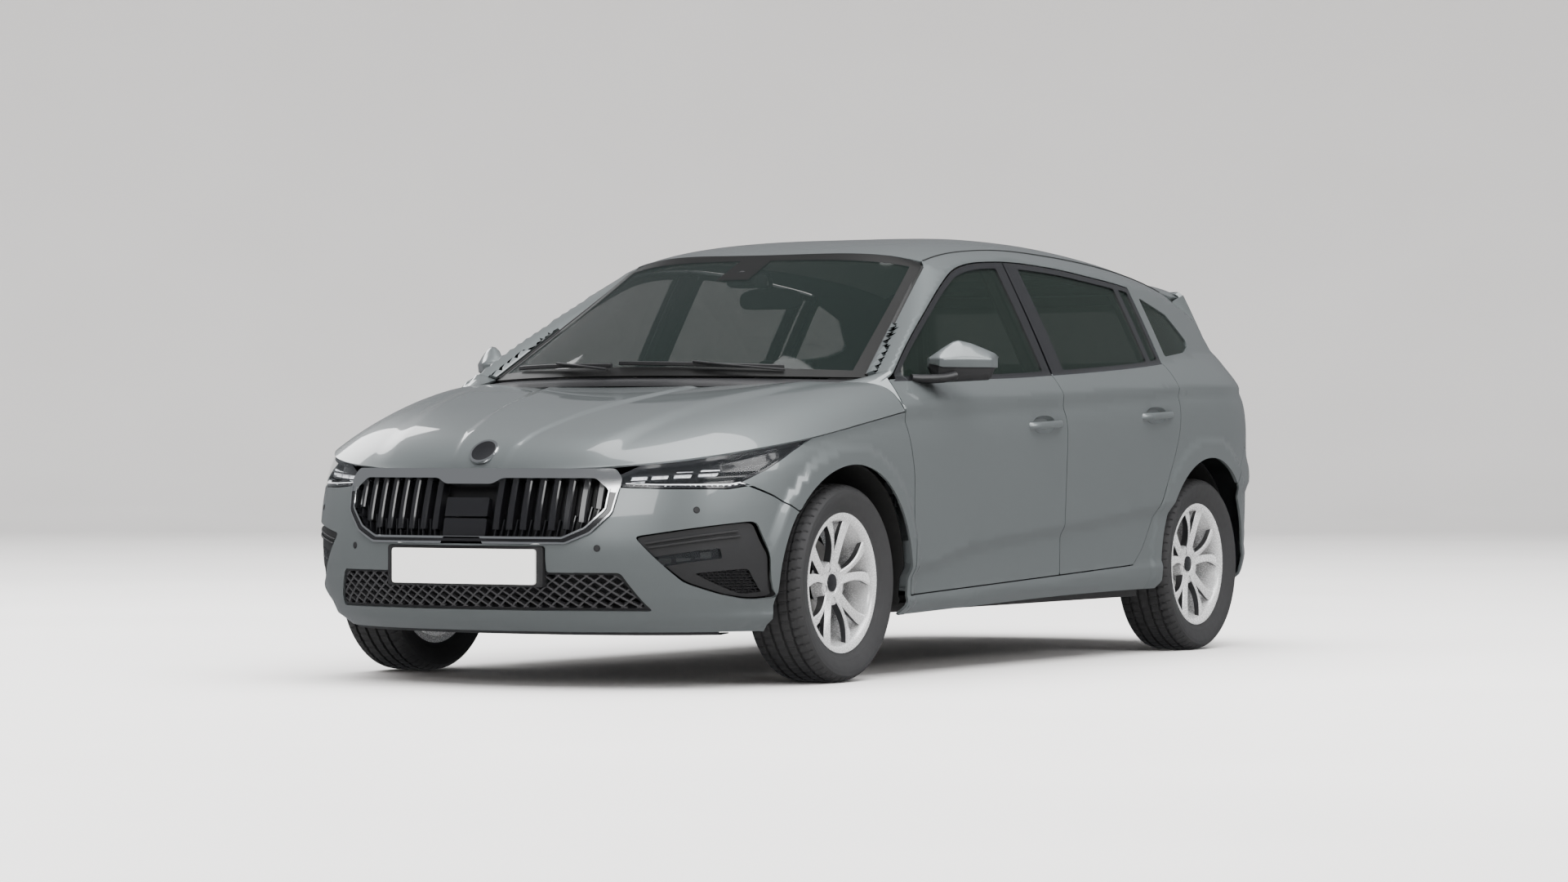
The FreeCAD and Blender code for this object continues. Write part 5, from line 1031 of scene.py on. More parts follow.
def shrunk(outline, margin):
    """The outline moved inwards, away from its own edges."""
    before, after = np.roll(outline, 1, axis=0), np.roll(outline, -1, axis=0)
    tangent = after - before
    tangent /= np.linalg.norm(tangent, axis=1)[:, None] + 1e-9
    turn = np.sign(np.cross(np.roll(outline, -1, axis=0) - outline[0],
                            outline - outline[0]).sum())
    return outline + np.stack([tangent[:, 1], -tangent[:, 0]], -1) * margin * turn


def ellipse(y, z, long_half, high_half, tilt=0.0, count=40):
    a = circle(count)
    p = long_half * np.sign(np.cos(a)) * np.abs(np.cos(a)) ** 0.8
    q = high_half * np.sign(np.sin(a)) * np.abs(np.sin(a)) ** 0.8
    return np.stack([y + p - q * tilt, z + q + p * tilt], -1)


def cup(y, z, long_half, high_half, tilt=0.0, deep=0.022):
    """The hollow behind a handle, from its rim down to its floor."""
    rings = []
    for share in np.linspace(1, 0.02, 12):
        ring = ellipse(y, z, long_half * share, high_half * share, tilt)
        points = side(ring[:, 0], ring[:, 1])
        rings.append(points - [deep * (1 - share ** 2.4), 0, 0])
    return grid(rings, closed_columns=True)


def handle(first, last, z_first, z_last):
    """A bar that leaves the skin, runs along it and comes back."""
    t = np.linspace(0, 1, 40)
    y, z = first + (last - first) * t, z_first + (z_last - z_first) * t
    away = 0.024 * np.clip(np.minimum(t, 1 - t) / 0.16, 0, 1) ** 0.55
    path = side(y, z) + np.stack([away - 0.006, 0 * t, 0 * t], -1)
    return swept(path, round_section(0.0125, 16, 0.52), (1.0, 0.0, 0.15))


def door_skin(outline, name, node, grip):
    """Skin with its inner body, handle and cup, on both sides of the car."""
    low, high = outline[:, 0].min(), outline[:, 0].max()
    first, last, z_first, z_last = grip
    hollow = ((first + last) / 2 - 0.012, (z_first + z_last) / 2, 0.082, 0.030,
              (z_last - z_first) / (last - first))
    skin = panel(outline, side, (1, 0, 0), 0.022, lines=crease_lines(low, high), depth=0.010,
                 holes=[ellipse(*hollow)])
    inner = panel(shrunk(outline, 0.024), side, (1, 0, 0), 0.06, depth=0.085, sink=0.012,
                  back_tint=1)
    pair(f"{name}_skin", skin + inner, [paint, inner_plastic], name + "_{}", "paint", node)
    pair(f"{name}_handle", handle(*grip), [paint], name + "_{}", "paint", sharp=60)
    pair(f"{name}_cup", cup(*hollow), [paint], name + "_{}", "paint", sharp=60)


door_skin(front_door_edge, "front_door", "door_front", (-0.113, 0.125, 0.806, 0.816))
door_skin(rear_door_edge, "rear_door", "door_rear", (0.763, 1.005, 0.842, 0.852))

# %% [markdown]
# The frame is a ring in gloss black. Its outer edge follows the door's opening and the hole in it
# is the glass, set a few millimetres deeper. The rear door carries a fixed corner pane behind an
# upright divider.


# %% Door frames and glass
def window_edge(first, last, frame=0.020, rise=0.010):
    """Outline of one pane between two places along the car."""
    tip = np.array([first, belt(first) + rise])
    top = level(window_top, first, last, -frame, 0.012)
    top[:, 1] = np.maximum(top[:, 1], belt(top[:, 0]) + rise + 0.002)
    lead = [tip, top[0]] if top[0][1] - tip[1] > 0.008 else [tip, tip + [0.002, 0.004]]
    return rounded([[top[-1], [last, belt(last) + rise]], level(belt, last, first, rise), lead,
                    top], 0.012, 0.010)


front_pane = window_edge(along(0.172), along(0.540))
rear_pane = window_edge(along(0.600), along(0.872))
corner_pane = window_edge(along(0.886), along(0.912), 0.018)


def frame_edge(first, last, first_low, last_low):
    """Outline of a door's frame: over the glass, down to a little below the window line."""
    return rounded([level(belt, last_low, first_low, -0.006),
                    [[first_low, belt(first_low) - 0.006], [first, belt(first)]],
                    level(window_top, first, last, -0.001, 0.012),
                    [[last, window_top(last) - 0.001], [last_low, belt(last_low) - 0.006]]],
                   0.004, 0.012)


shut_high, shut_low = door_shut(1.2), door_shut(shut_belt)
front_frame_edge = frame_edge(along(0.153), shut_high - GAP / 2, door_lead(front_belt) + 0.02,
                              shut_low - GAP / 2)
rear_frame_edge = frame_edge(shut_high + GAP / 2, DOORS_END - GAP / 2, shut_low + GAP / 2,
                             door_trail(trail_belt) - GAP / 2)
for name, edge, panes, nodes in (
        ("front_door", front_frame_edge, [front_pane], "window_front"),
        ("rear_door", rear_frame_edge, [rear_pane, corner_pane], "window_rear")):
    ring = panel(edge, side, (1, 0, 0), 0.02, holes=panes, depth=0.030)
    glass = joined([panel(shrunk(p, -0.004), side, (1, 0, 0), 0.03, depth=0.004, sink=0.005)
                    for p in panes])
    pair(f"{name}_frame", ring, [gloss_black], name + "_{}", "trim_plastic")
    pair(f"{name}_glass", glass, [side_glass], name + "_{}", "side_glass", nodes)

# %% [markdown]
# ## Body side
# The sill, the quarter panel behind the doors, the roof rail and the windscreen pillar are one
# pressing on the real car, and its outline runs round both doors in one C. A lattice on one
# surface gives that too. Above the roof's edge the surface turns inwards to the roof panel, so
# the height there goes on counting as a distance across the strip.


# %% Side with its strip
def strip_end(y):
    """Where the strip above the doors meets the windscreen or the roof."""
    share = np.clip((y - SCREEN_CORNER) / (along(0.393) - SCREEN_CORNER), 0, 1)
    x = np.where(share < 1, between(SCREEN_HALF, SCREEN_TOP_HALF, share), ROOF_HALF)
    z = np.where(share < 1, between(up(0.652), up(0.914), share), roof_z(x, y))
    return x, z


STRIP, ARCH_REAR, SILL_START = 0.10, 0.386, -0.932


def side_strip(y, v):
    edge = roof_edge(y)
    t = np.clip((v - edge) / STRIP, 0, 1)
    x0, z0 = glass_x(y, edge), edge
    x1, z1 = strip_end(y)
    crown = 0.05 * (x0 - x1) * 4 * t * (1 - t)
    low = side(y, np.minimum(v, edge))
    high = np.stack([between(x0, x1, t), y, between(z0, z1, t) + crown], -1)
    return np.where((v > edge)[..., None], high, low)


arch_start = math.degrees(math.asin((sill_bottom(0.95) - WHEEL_Z) / ARCH_REAR)) + 180
lamp_tip, lamp_low = (along(1.532), up(0.6535)), (1.925, 0.712)
tail_edge = [(tail_y(out(0.755), z) - 0.003, z) for z in np.linspace(up(0.6535), up(0.872), 12)]
strip_end_y = along(1.333)
body_side_edge = rounded([
    level(sill_bottom, SILL_START, REAR_AXLE + ARCH_REAR * math.cos(math.radians(arch_start))),
    arch_line(REAR_AXLE, ARCH_REAR, -arch_start + 360, 49),
    [(1.592, 0.602), (1.723, 0.738), (1.80, 0.728), lamp_low],
    [lamp_low, lamp_tip], [lamp_tip, tail_edge[0]],
    tail_edge,
    [tail_edge[-1], (strip_end_y, roof_edge(strip_end_y) + STRIP)],
    level(roof_edge, strip_end_y, PILLAR_FOOT, STRIP),
    [(PILLAR_FOOT, roof_edge(PILLAR_FOOT) + STRIP), (PILLAR_FOOT, window_top(PILLAR_FOOT) + GAP)],
    level(window_top, PILLAR_FOOT, DOORS_END + GAP / 2, GAP),
    upright(door_trail, window_top(DOORS_END), trail_low, GAP / 2),
    level(sill_top, door_trail(trail_low), SILL_START, 0.006),
    [(SILL_START, sill_top(SILL_START) + 0.006), (SILL_START, sill_bottom(SILL_START))]],
    0.006, 0.012)
quarter = [(along(a), up(b)) for a, b in ((0.945, 0.722), (1.08, 0.735), (1.175, 0.752),
                                          (1.185, 0.766), (1.06, 0.829), (0.945, 0.868))]
quarter_pane = rounded([quarter[:3], quarter[2:4], quarter[3:], [quarter[5], quarter[0]]],
                       0.014, 0.010)
side_shape = panel(body_side_edge, side_strip, (1, 0, 0.3), 0.024, holes=[quarter_pane],
                   lines=crease_lines(-0.93, 1.9), depth=0.012)
quarter_glass = panel(shrunk(quarter_pane, -0.004), side, (1, 0, 0), 0.03, depth=0.004,
                      sink=0.004)
pair("side_panel", side_shape, [paint], "chassis", "paint", "body_side")
piece("quarter_glass", both(quarter_glass), [side_glass], "chassis", "side_glass",
      "quarter_windows")

# %% [markdown]
# ## Wings
# A front wing ends at the door, at the bonnet's side edge, at the lamp and at the bumper. Its arch
# is the same arc that the liner follows inside.

# %% Wings
ARCH_FRONT = 0.370
arch_low = math.degrees(math.asin((sill_bottom(-0.95) - WHEEL_Z) / ARCH_FRONT))
wing_edge = rounded([
    [(-1.500, shoulder(-1.500) - GAP), (-1.60, 0.722), (-1.72, 0.664), (-1.802, 0.630)],
    [(-1.802, 0.630), (-1.70, 0.590), (-1.604, 0.540)],
    arch_line(FRONT_AXLE, ARCH_FRONT, 141.5, arch_low),
    [(FRONT_AXLE + ARCH_FRONT * math.cos(math.radians(arch_low)), sill_bottom(-0.95)),
     (door_lead(0.2) - GAP / 2, sill_bottom(-0.92))],
    upright(door_lead, sill_bottom(-0.92), shoulder(-0.97) - GAP, -GAP / 2),
    level(shoulder, door_lead(0.84), -1.500, -GAP)], 0.006)
wing = panel(wing_edge, side, (1, 0, 0), 0.022, lines=crease_lines(-1.8, -0.92), depth=0.008)
piece("wing_skins", both(wing), [paint], "chassis", "paint", "wings")

# %% [markdown]
# ## Bonnet, windscreen and roof
# These three are seen from above. Each is a table of points over its own surface: rows run along
# the car and columns across it. The bonnet's rows are closer together at the nose, where it turns
# down quickly. The bonnet is a clamshell, so it reaches over the wings to the shoulder line.


# %% Bonnet
def base_line(x):
    """Y of the windscreen's lower edge."""
    return between(SCREEN_BASE, SCREEN_CORNER, (np.abs(x) / SCREEN_HALF) ** 2)


bonnet_front = -2.096
columns = np.linspace(-1, 1, 141)
steps = np.linspace(0, 1, 150)[:, None] ** 1.7
rear_edge = np.interp(np.abs(columns), [0, 0.25, 0.5, 0.7, 0.85, 0.93, 1.0],
                      [-1.300, -1.285, -1.215, -1.115, -1.010, -0.985, -0.978])
y_table = between(bonnet_front, rear_edge[None], steps)
x_table = columns[None] * side_x(y_table, shoulder(y_table) - 0.001)
bonnet_points = np.stack([x_table, y_table, bonnet_z(x_table, y_table)], -1)
bonnet_top = sheet(bonnet_points, 0.007, (0, 0, 1))
bonnet_under = sheet(bonnet_points[4:-4:3, 8:-8:4] - (0, 0, 0.022), 0.004, (0, 0, 1))
piece("bonnet_skin", bonnet_top, [paint], "bonnet_lid", "paint", "bonnet")
piece("bonnet_frame", bonnet_under, [chassis_steel], "bonnet_lid", "chassis_paint")


# %% Windscreen
def screen_point(across, rise):
    """The pane's surface, drawn level with the roof at its top and the pillars at its sides."""
    x, y, z = windscreen_point(across, rise)
    hand = np.where(across < 0, -1.0, 1.0)
    edge_x, edge_y, edge_z = windscreen_point(hand, rise)
    strip_x, strip_z = strip_end(edge_y)
    top_x, top_y, top_z = windscreen_point(across, np.ones_like(rise))
    pull, top = np.abs(across) ** 3, rise ** 8
    z = z + (1 - top) * pull * (strip_z - edge_z) + top * (roof_z(top_x, top_y + 0.006) - top_z)
    return x + hand * pull * (strip_x - 0.004 - np.abs(edge_x)), y, z


screen_border = Finish("screen_border", (0.004, 0.004, 0.004), Roughness=0.4,
                       Specular_IOR_Level=0.22)
screen_border.varied(Roughness=0.34 + screen_border.noise(8, 2) * 0.12)
across_table, rise_table = np.meshgrid(np.linspace(-1, 1, 70), np.linspace(0, 1, 44))
screen_points = np.stack(screen_point(across_table, rise_table), -1)
screen = sheet(screen_points, 0.005, (0, -1, 1), edge_tint=1)
cell_across = np.abs(across_table[:-1, :-1] + across_table[1:, 1:]) / 2
cell_rise = (rise_table[:-1, :-1] + rise_table[1:, 1:]) / 2
border = ((cell_across > 0.955) | (cell_rise > 0.955) | (cell_rise < 0.07)
          | ((cell_across < 0.10) & (cell_rise > 0.80))).ravel()
count = len(border)
screen.tints = [int(dark) for dark in border] * 2 + screen.tints[2 * count:]
piece("windscreen_pane", screen, [screen_glass, screen_border], "chassis", "screen_glass",
      "windscreen")

# %% Rubber and foot of the pillars
pillar_y = np.linspace(along(0.152), along(0.390), 60)
pillar_x, pillar_z = strip_end(pillar_y)
pillar_line = np.stack([pillar_x - 0.004, pillar_y, pillar_z + 0.0005], -1)
pillar_rubber = swept(pillar_line, bar_section(0.018, 0.005), (0.50, -0.50, 0.70))
piece("pillar_rubber", both(pillar_rubber), [seal_rubber], "chassis", "trim_plastic", sharp=50)
foot_count = 26
outer = np.linspace(0.78, 1.0, foot_count)
foot_front = np.stack([np.interp(outer, columns, bonnet_points[-1][:, k])
                       for k in range(3)], -1) + (0, 0.004, 0)
foot_v = np.linspace(roof_edge(PILLAR_FOOT) + STRIP, shoulder(-0.935), foot_count)
foot_y = np.where(foot_v > window_top(PILLAR_FOOT), PILLAR_FOOT - 0.001,
                  door_lead(foot_v) - GAP)
foot_rear = side_strip(foot_y, foot_v)
share = np.array([0.0, 0.35, 0.7, 1.0])[:, None, None]
pillar_foot = sheet(foot_front[None] * (1 - share) + foot_rear[None] * share, 0.006, (1, 0, 1))
piece("pillar_feet", both(pillar_foot), [paint], "chassis", "paint", sharp=50)

# %% Roof and spoiler
roof_share = np.linspace(-1, 1, 71)
roof_half = ROOF_HALF - 0.0015
front_y = between(SCREEN_TOP, SCREEN_TOP_CORNER,
                  (roof_share * roof_half / SCREEN_HALF) ** 2) + 0.006
roof_y = between(front_y[None], 1.600, np.linspace(0, 1, 90)[:, None])
roof_x = np.broadcast_to(roof_share[None] * roof_half, roof_y.shape)
piece("roof_skin", sheet(np.stack([roof_x, roof_y, roof_z(roof_x, roof_y)], -1), 0.008,
                         (0, 0, 1)), [paint], "chassis", "paint", "roof_panel")

# %% [markdown]
# Drip strips hide the joint between the roof and the sides, and a black cowl with two wipers fills
# the gap between the bonnet and the windscreen.


# %% Roof strips
strip_y = np.linspace(along(0.40), 1.598, 60)
strip_x = np.full_like(strip_y, ROOF_HALF)
drip = np.stack([strip_x, strip_y, roof_z(strip_x, strip_y) - 0.001], -1)
piece("roof_strips", both(swept(drip, bar_section(0.008, 0.006))), [seal_rubber], "chassis",
      "trim_plastic")

# %% Cowl and wipers
cowl_x = np.linspace(-0.715, 0.715, 61)
cowl_rows = []
for share, drop in ((-0.04, 0.034), (0.1, 0.020), (0.45, 0.012), (0.8, 0.012), (1.02, 0.006)):
    front = np.interp(np.abs(cowl_x) / 0.88, [0, 0.25, 0.5, 0.7, 0.85, 1],
                      [-1.300, -1.285, -1.215, -1.115, -1.010, -0.978])
    y = between(front, base_line(cowl_x) + 0.004, share)
    wide = cowl_x / SCREEN_HALF
    cowl_rows.append(np.stack([cowl_x, y, up(0.656 - 0.006 * wide ** 2) - drop], -1))
piece("cowl_panel", sheet(np.array(cowl_rows), 0.006, (0, 0, 1)), [black_plastic], "chassis",
      "trim_plastic")


def wiper(pivot_share, tip_share):
    """An arm and a blade lying along the lower edge of the windscreen."""
    across = np.linspace(pivot_share, tip_share, 24)
    blade = np.stack(screen_point(across, np.full_like(across, 0.052)
                                      + 0.02 * np.linspace(0, 1, 24)), -1)
    blade = blade + np.array([0, -0.006, 0.012])
    arm = np.stack(screen_point(np.linspace(pivot_share + 0.02, (pivot_share + tip_share) / 2,
                                                14), np.linspace(0.0, 0.06, 14)), -1)
    arm = arm + np.array([0, -0.010, 0.022])
    return swept(blade, bar_section(0.010, 0.014)) + swept(arm, bar_section(0.014, 0.007))


piece("wiper_pair", wiper(0.70, -0.05) + wiper(-0.08, -0.78), [black_plastic], "chassis",
      "trim_plastic", "wipers")

# %% [markdown]
# ## Front bumper
# Everything on the nose is drawn as it looks from the front, in x and z, and then taken to the
# angle round the nose. One routine finds the angle that reaches an x at a height.


# %% Front view to nose
def angle_finder(surface):
    """Finds the angle round a bumper's axis that reaches an x at a height."""
    angles = np.linspace(0, math.radians(88), 400)

    def angle(x, z):
        reached = surface(angles, np.full_like(angles, z))[:, 0]
        return math.copysign(float(np.interp(abs(x), reached, angles)), x)
    return angle


nose_angle, tail_angle = angle_finder(quick_nose), angle_finder(quick_tail)


def seen_front(points):
    """A front-view polyline, resampled and taken to the nose's angle and height."""
    return np.array([(nose_angle(x, z), z) for x, z in resampled(points, 0.012)])


def seen_side(points, place=nose_place):
    """A side-view polyline, resampled and taken to the nose's or the tail's angle and height."""
    line = resampled(points, 0.012)
    x = side_x(line[:, 0], line[:, 1])
    return np.array([place(a, y, z) for a, (y, z) in zip(x, line)])


def front_outline(corners, radius=0.010):
    """A closed front-view outline with rounded corners, taken to the nose."""
    return np.array([(nose_angle(x, z), z) for x, z in cornered(corners, radius)])


def straight(angles, heights, count):
    """Points on a bumper between two angles and two heights."""
    return np.stack([np.linspace(*angles, count), np.linspace(*heights, count)], -1)


def reversed_left(line):
    return (line * np.array([-1, 1]))[::-1]


def at_nose(outline, facing=(0, -1, 0), **options):
    """A panel on the nose; angles are nearly metres there, as the axis is a metre inside."""
    return panel(outline, nose, facing, **options)


bumper_arch = arch_line(FRONT_AXLE, 0.375, 141.5, 202)
bumper_side = np.array([nose_place(side_x(y, z), y, z) for y, z in bumper_arch])
shut = seen_side([(-1.606, 0.536), (-1.70, 0.584), (-1.806, 0.624)])[::-1]
lamp_bottom = seen_front([(0.805, 0.622), (0.75, 0.607), (0.60, 0.608), (0.49, 0.612)])
grille_side = seen_front([(0.49, 0.612), (0.476, 0.537), (0.420, 0.477), (0.350, 0.445)])
right_part = np.concatenate([bumper_side[::-1][:-1], shut[::-1][:-1], lamp_bottom[:-1],
                             grille_side])
bumper_end = bumper_side[-1][0]
front_bumper_edge = np.concatenate([
    right_part, seen_front([(0.345, 0.442), (-0.345, 0.442)]), reversed_left(right_part),
    straight((-bumper_end, bumper_end), (0.172, 0.172), 90)[1:-1]])
LOWER_CORNERS = [(-0.288, 0.436), (-0.288, 0.356), (-0.507, 0.356), (-0.570, 0.238),
                 (0.570, 0.238), (0.507, 0.356), (0.288, 0.356), (0.288, 0.436)]
lower_hole = front_outline(LOWER_CORNERS, 0.012)
FOG_CORNERS = [(0.545, 0.466), (0.802, 0.512), (0.826, 0.40), (0.826, 0.275), (0.775, 0.268),
               (0.664, 0.324)]
fog_hole = front_outline(FOG_CORNERS, 0.016)
fog_far = reversed_left(fog_hole)
front_skin = at_nose(front_bumper_edge, step=0.022, holes=[lower_hole, fog_hole, fog_far],
                     depth=0.008)
piece("front_bumper_skin", front_skin, [paint], "chassis", "paint", "front_bumper")
lip_angles = np.linspace(-1.0, 1.0, 90)
splitter = [nose(lip_angles, np.full(90, z)) * (shrink, 1, 1) + (0, back, 0)
            for z, shrink, back in ((0.176, 0.995, 0.006), (0.163, 0.99, 0.010),
                                    (0.160, 0.97, 0.05), (0.162, 0.95, 0.12))]
piece("front_under_lip", sheet(np.array(splitter), 0.004, (0, -0.3, -1)), [black_plastic],
      "chassis", "trim_plastic")

# %% [markdown]
# ## Grille
# The grille is a deep dark box with bright metal round it. Upright double slats stand in it, and
# two plain covers in the middle hide the radar. Slats are cut from the same nose surface, only
# deeper, so they follow its curve.

# %% Chrome surround
GRILLE_OUTER = [(-0.470, 0.669), (-0.494, 0.640), (-0.492, 0.612), (-0.482, 0.535),
                (-0.425, 0.474), (-0.352, 0.441), (0.352, 0.441), (0.425, 0.474),
                (0.482, 0.535), (0.492, 0.612), (0.494, 0.640), (0.470, 0.669)]
GRILLE_INNER = [(-0.418, 0.640), (-0.462, 0.606), (-0.458, 0.548), (-0.405, 0.492),
                (-0.340, 0.462), (0.340, 0.462), (0.405, 0.492), (0.458, 0.548), (0.462, 0.606),
                (0.418, 0.640), (0.118, 0.640), (0.085, 0.622), (-0.085, 0.622),
                (-0.118, 0.640)]


def front_bar(line, width, depth, sink, step=0.012):
    """A bar along a front-view line, standing in from the nose."""
    line = np.array([[nose_angle(x, z), z] for x, z in resampled(line, step)])
    tangent = unit(np.gradient(line, axis=0))
    aside = np.stack([-tangent[:, 1], tangent[:, 0]], -1)
    rings = []
    for offset, inward in ((-0.5, 0), (-0.32, -0.12), (0.32, -0.12), (0.5, 0), (0.5, 1),
                           (-0.5, 1)):
        flat = line + aside * width * offset
        points, normals = lifted(quick_nose, flat, np.array([0.0, -1.0, 0.0]))
        rings.append(points - normals * (sink + depth * inward))
    return grid(np.stack(rings, 1), closed_columns=True)


def plain_bar(line, width, depth, sink):
    return capped(front_bar(line, width, depth, sink), 6)


NOSE_Y = -2.1805


def held_in(shape):
    """Flattens what would stand further forward than the nose itself."""
    shape.points[:, 1] = np.maximum(shape.points[:, 1], NOSE_Y)
    return shape


def front_panel(corners, radius=0.010, **options):
    return panel(front_outline(corners, radius), quick_nose, (0, -1, 0), **options)


surround_hole = front_outline(GRILLE_INNER, 0.012)
surround = at_nose(front_outline(GRILLE_OUTER, 0.014), step=0.02, holes=[surround_hole],
                   depth=0.030, sink=-0.005)
middles = [np.mean([surround.points[i] for i in face], axis=0) for face in surround.faces]
surround.tints = [0 if m[2] > 0.600 else 1 for m in middles]
surround = held_in(surround)
piece("grille_surround", surround, [chrome, gloss_black], "chassis", "trim_plastic")
OUTER_U = [(-0.489, 0.612), (-0.478, 0.536), (-0.422, 0.476), (-0.351, 0.4445), (0.351, 0.4445),
           (0.422, 0.476), (0.478, 0.536), (0.489, 0.612)]
INNER_U = [(-0.464, 0.608), (-0.460, 0.546), (-0.406, 0.490), (-0.340, 0.460), (0.340, 0.460),
           (0.406, 0.490), (0.460, 0.546), (0.464, 0.608)]
edges = [plain_bar(line, 0.0065, 0.010, -0.008) for line in (OUTER_U, INNER_U)]
piece("grille_bright_edges", held_in(joined(edges)), [chrome], "chassis", "trim_plastic")

# %% Slats, radar covers and the dark box
def inside_height(x):
    """Lowest and highest z of the grille's opening at an x."""
    low = float(np.interp(abs(x), [0.340, 0.405, 0.458], [0.462, 0.492, 0.548]))
    top = float(np.interp(abs(x), [0.085, 0.118, 0.418, 0.462], [0.622, 0.640, 0.640, 0.606]))
    return low - 0.004, top + 0.004


slats = []
for k in range(8):
    x = 0.112 + k * 0.0465
    low, top = inside_height(x)
    slats.append(plain_bar([(x, low + 0.028), (x, top)], 0.027, 0.030, 0.009))
    slats.append(plain_bar([(x - 0.004, low), (x + 0.004, low + 0.045)], 0.008, 0.020, 0.012))
    x = x + 0.0232
    low, top = inside_height(x)
    if top - low > 0.06:
        slats.append(plain_bar([(x - 0.006, low), (x + 0.002, low + 0.060)], 0.006, 0.016, 0.016))
slats = joined(slats)
radar = joined([front_panel(box(0.078, low, high), 0.006, step=0.02, depth=0.02, sink=0.008)
                for low, high in ((0.466, 0.520), (0.526, 0.584))])
piece("grille_slats", both(slats), [gloss_black], "chassis", "grille_plastic", "grille")
piece("radar_covers", radar, [gloss_black], "chassis", "grille_plastic")
piece("grille_box", front_panel(GRILLE_OUTER, 0.01, step=0.04, depth=0.004, sink=0.055),
      [grille_black], "chassis", "grille_plastic")

# %% [markdown]
# A plain round boss stands where a badge would be. The plate is white and blank, in a black holder.

# %% Boss, plate and parking sensors
def disc_profile(profile, count=48):
    """Solid of revolution about Z from (radius, height) pairs."""
    rings = [[(r * math.cos(t), r * math.sin(t), h) for t in circle(count)] for r, h in profile]
    return grid(rings, closed_columns=True)


def stuck_on(shape, place, outward):
    """Turns a shape so that its Z looks outward, and moves it to a place."""
    turn = Vector(outward).to_track_quat("Z", "Y").to_matrix().to_4x4()
    return shape.moved(Matrix.Translation(Vector(place)) @ turn)


def on_bonnet(x, y):
    e = 0.004
    z = [float(bonnet_z(np.array(a), np.array(b))) for a, b in
         ((x, y), (x + e, y), (x, y + e))]
    outward = Vector((-(z[1] - z[0]) / e, -(z[2] - z[0]) / e, 1)).normalized()
    return Vector((x, y, z[0])), outward


spot, outward = on_bonnet(0.0, -2.055)
boss = disc_profile([(0.0, 0.0045), (0.040, 0.0042), (0.043, 0.0055), (0.046, 0.0055),
                     (0.048, 0.003), (0.048, -0.003), (0.0, -0.003)])
boss.tints = [0 if k < 48 else 1 for k in range(len(boss.faces))]
piece("plain_boss", stuck_on(boss, spot, outward), [gloss_black, chrome], "bonnet_lid",
      "trim_plastic")

plate_white = Finish("plate_white", (0.78, 0.78, 0.76), Roughness=0.32)
plate_white.varied(Roughness=0.28 + plate_white.noise(12, 2) * 0.1)


def plate_shape(half, low, high, y, depth, facing=-1):
    """A flat plate with rounded corners, bent a little round the bumper."""
    def lift(x, z):
        return np.stack([x, y - facing * 0.10 * x * x + 0 * z, z], -1)
    return panel(cornered(box(half, low, high), 0.010), lift, (0, facing, 0), 0.05, depth=depth)


piece("plate_holder", plate_shape(0.284, 0.311, 0.434, -2.1700, 0.050), [black_plastic],
      "chassis", "trim_plastic")
piece("blank_plate", plate_shape(0.262, 0.319, 0.426, -2.1790, 0.010), [plate_white],
      "chassis", "trim_plastic")


def on_nose(x, z):
    angle = nose_angle(x, z)
    points, normals = lifted(nose, np.array([[angle, z]]), np.array([math.sin(angle), -1, 0]))
    return Vector(points[0]), Vector(normals[0])


sensor = disc_profile([(0.0, 0.0015), (0.0075, 0.0015), (0.0085, 0.0), (0.0105, 0.0006),
                       (0.0105, -0.004)], 24)
sensors = joined([stuck_on(sensor, *on_nose(x, z)) for x, z in
                  ((0.445, 0.430), (0.690, 0.545), (-0.445, 0.430), (-0.690, 0.545))])
piece("parking_sensors", sensors, [black_plastic], "chassis", "trim_plastic")

# %% [markdown]
# ## Lower grille and fog frames
# The lower grille is a mesh of slanting bars. Each bar is a straight line in front view, cut where
# it leaves the opening, so no trimming of meshes is needed. The black frames at the corners hold
# three small lamps over a honeycomb.


# %% Mesh bars
def clipped(line, outline):
    """The runs of a straight line that are inside a front-view outline."""
    dots = resampled(line, 0.003)
    good = inside(dots, np.asarray(outline, float))
    runs, start = [], None
    for k, flag in enumerate(list(good) + [False]):
        if flag and start is None:
            start = k
        if not flag and start is not None:
            runs.append((start, k - 1))
            start = None
    return [[dots[a], dots[b]] for a, b in runs if b - a > 3]


LOWER_OPENING = [(-0.505, 0.352), (-0.565, 0.242), (0.565, 0.242), (0.505, 0.352)]
bars = []
for k in range(-30, 31):
    middle = k * 0.043
    for lean in (0.085, -0.085):
        for run in clipped([(middle - lean, 0.235), (middle + lean, 0.36)], LOWER_OPENING):
            bars.append(plain_bar(run, 0.0062, 0.012, 0.006))
mesh_plastic = grained("mesh_plastic", (0.030, 0.030, 0.032), 0.40, 500, 0.15)
piece("lower_mesh", joined(bars), [mesh_plastic], "chassis", "grille_plastic", "lower_grilles")
opening_back = front_panel([(-0.515, 0.362), (-0.578, 0.232), (0.578, 0.232), (0.515, 0.362)],
                           0.01, step=0.05, depth=0.004, sink=0.045)
rim_outer, rim_inner = (
    front_outline([(-top, high), (-base, low), (base, low), (top, high)], 0.02)
    for top, high, base, low in ((0.512, 0.361, 0.577, 0.233), (0.500, 0.349, 0.558, 0.246)))
rim = at_nose(rim_outer, step=0.02, holes=[rim_inner], depth=0.03, sink=0.004)
piece("lower_mesh_back", opening_back + rim, [grille_black], "chassis", "grille_plastic")

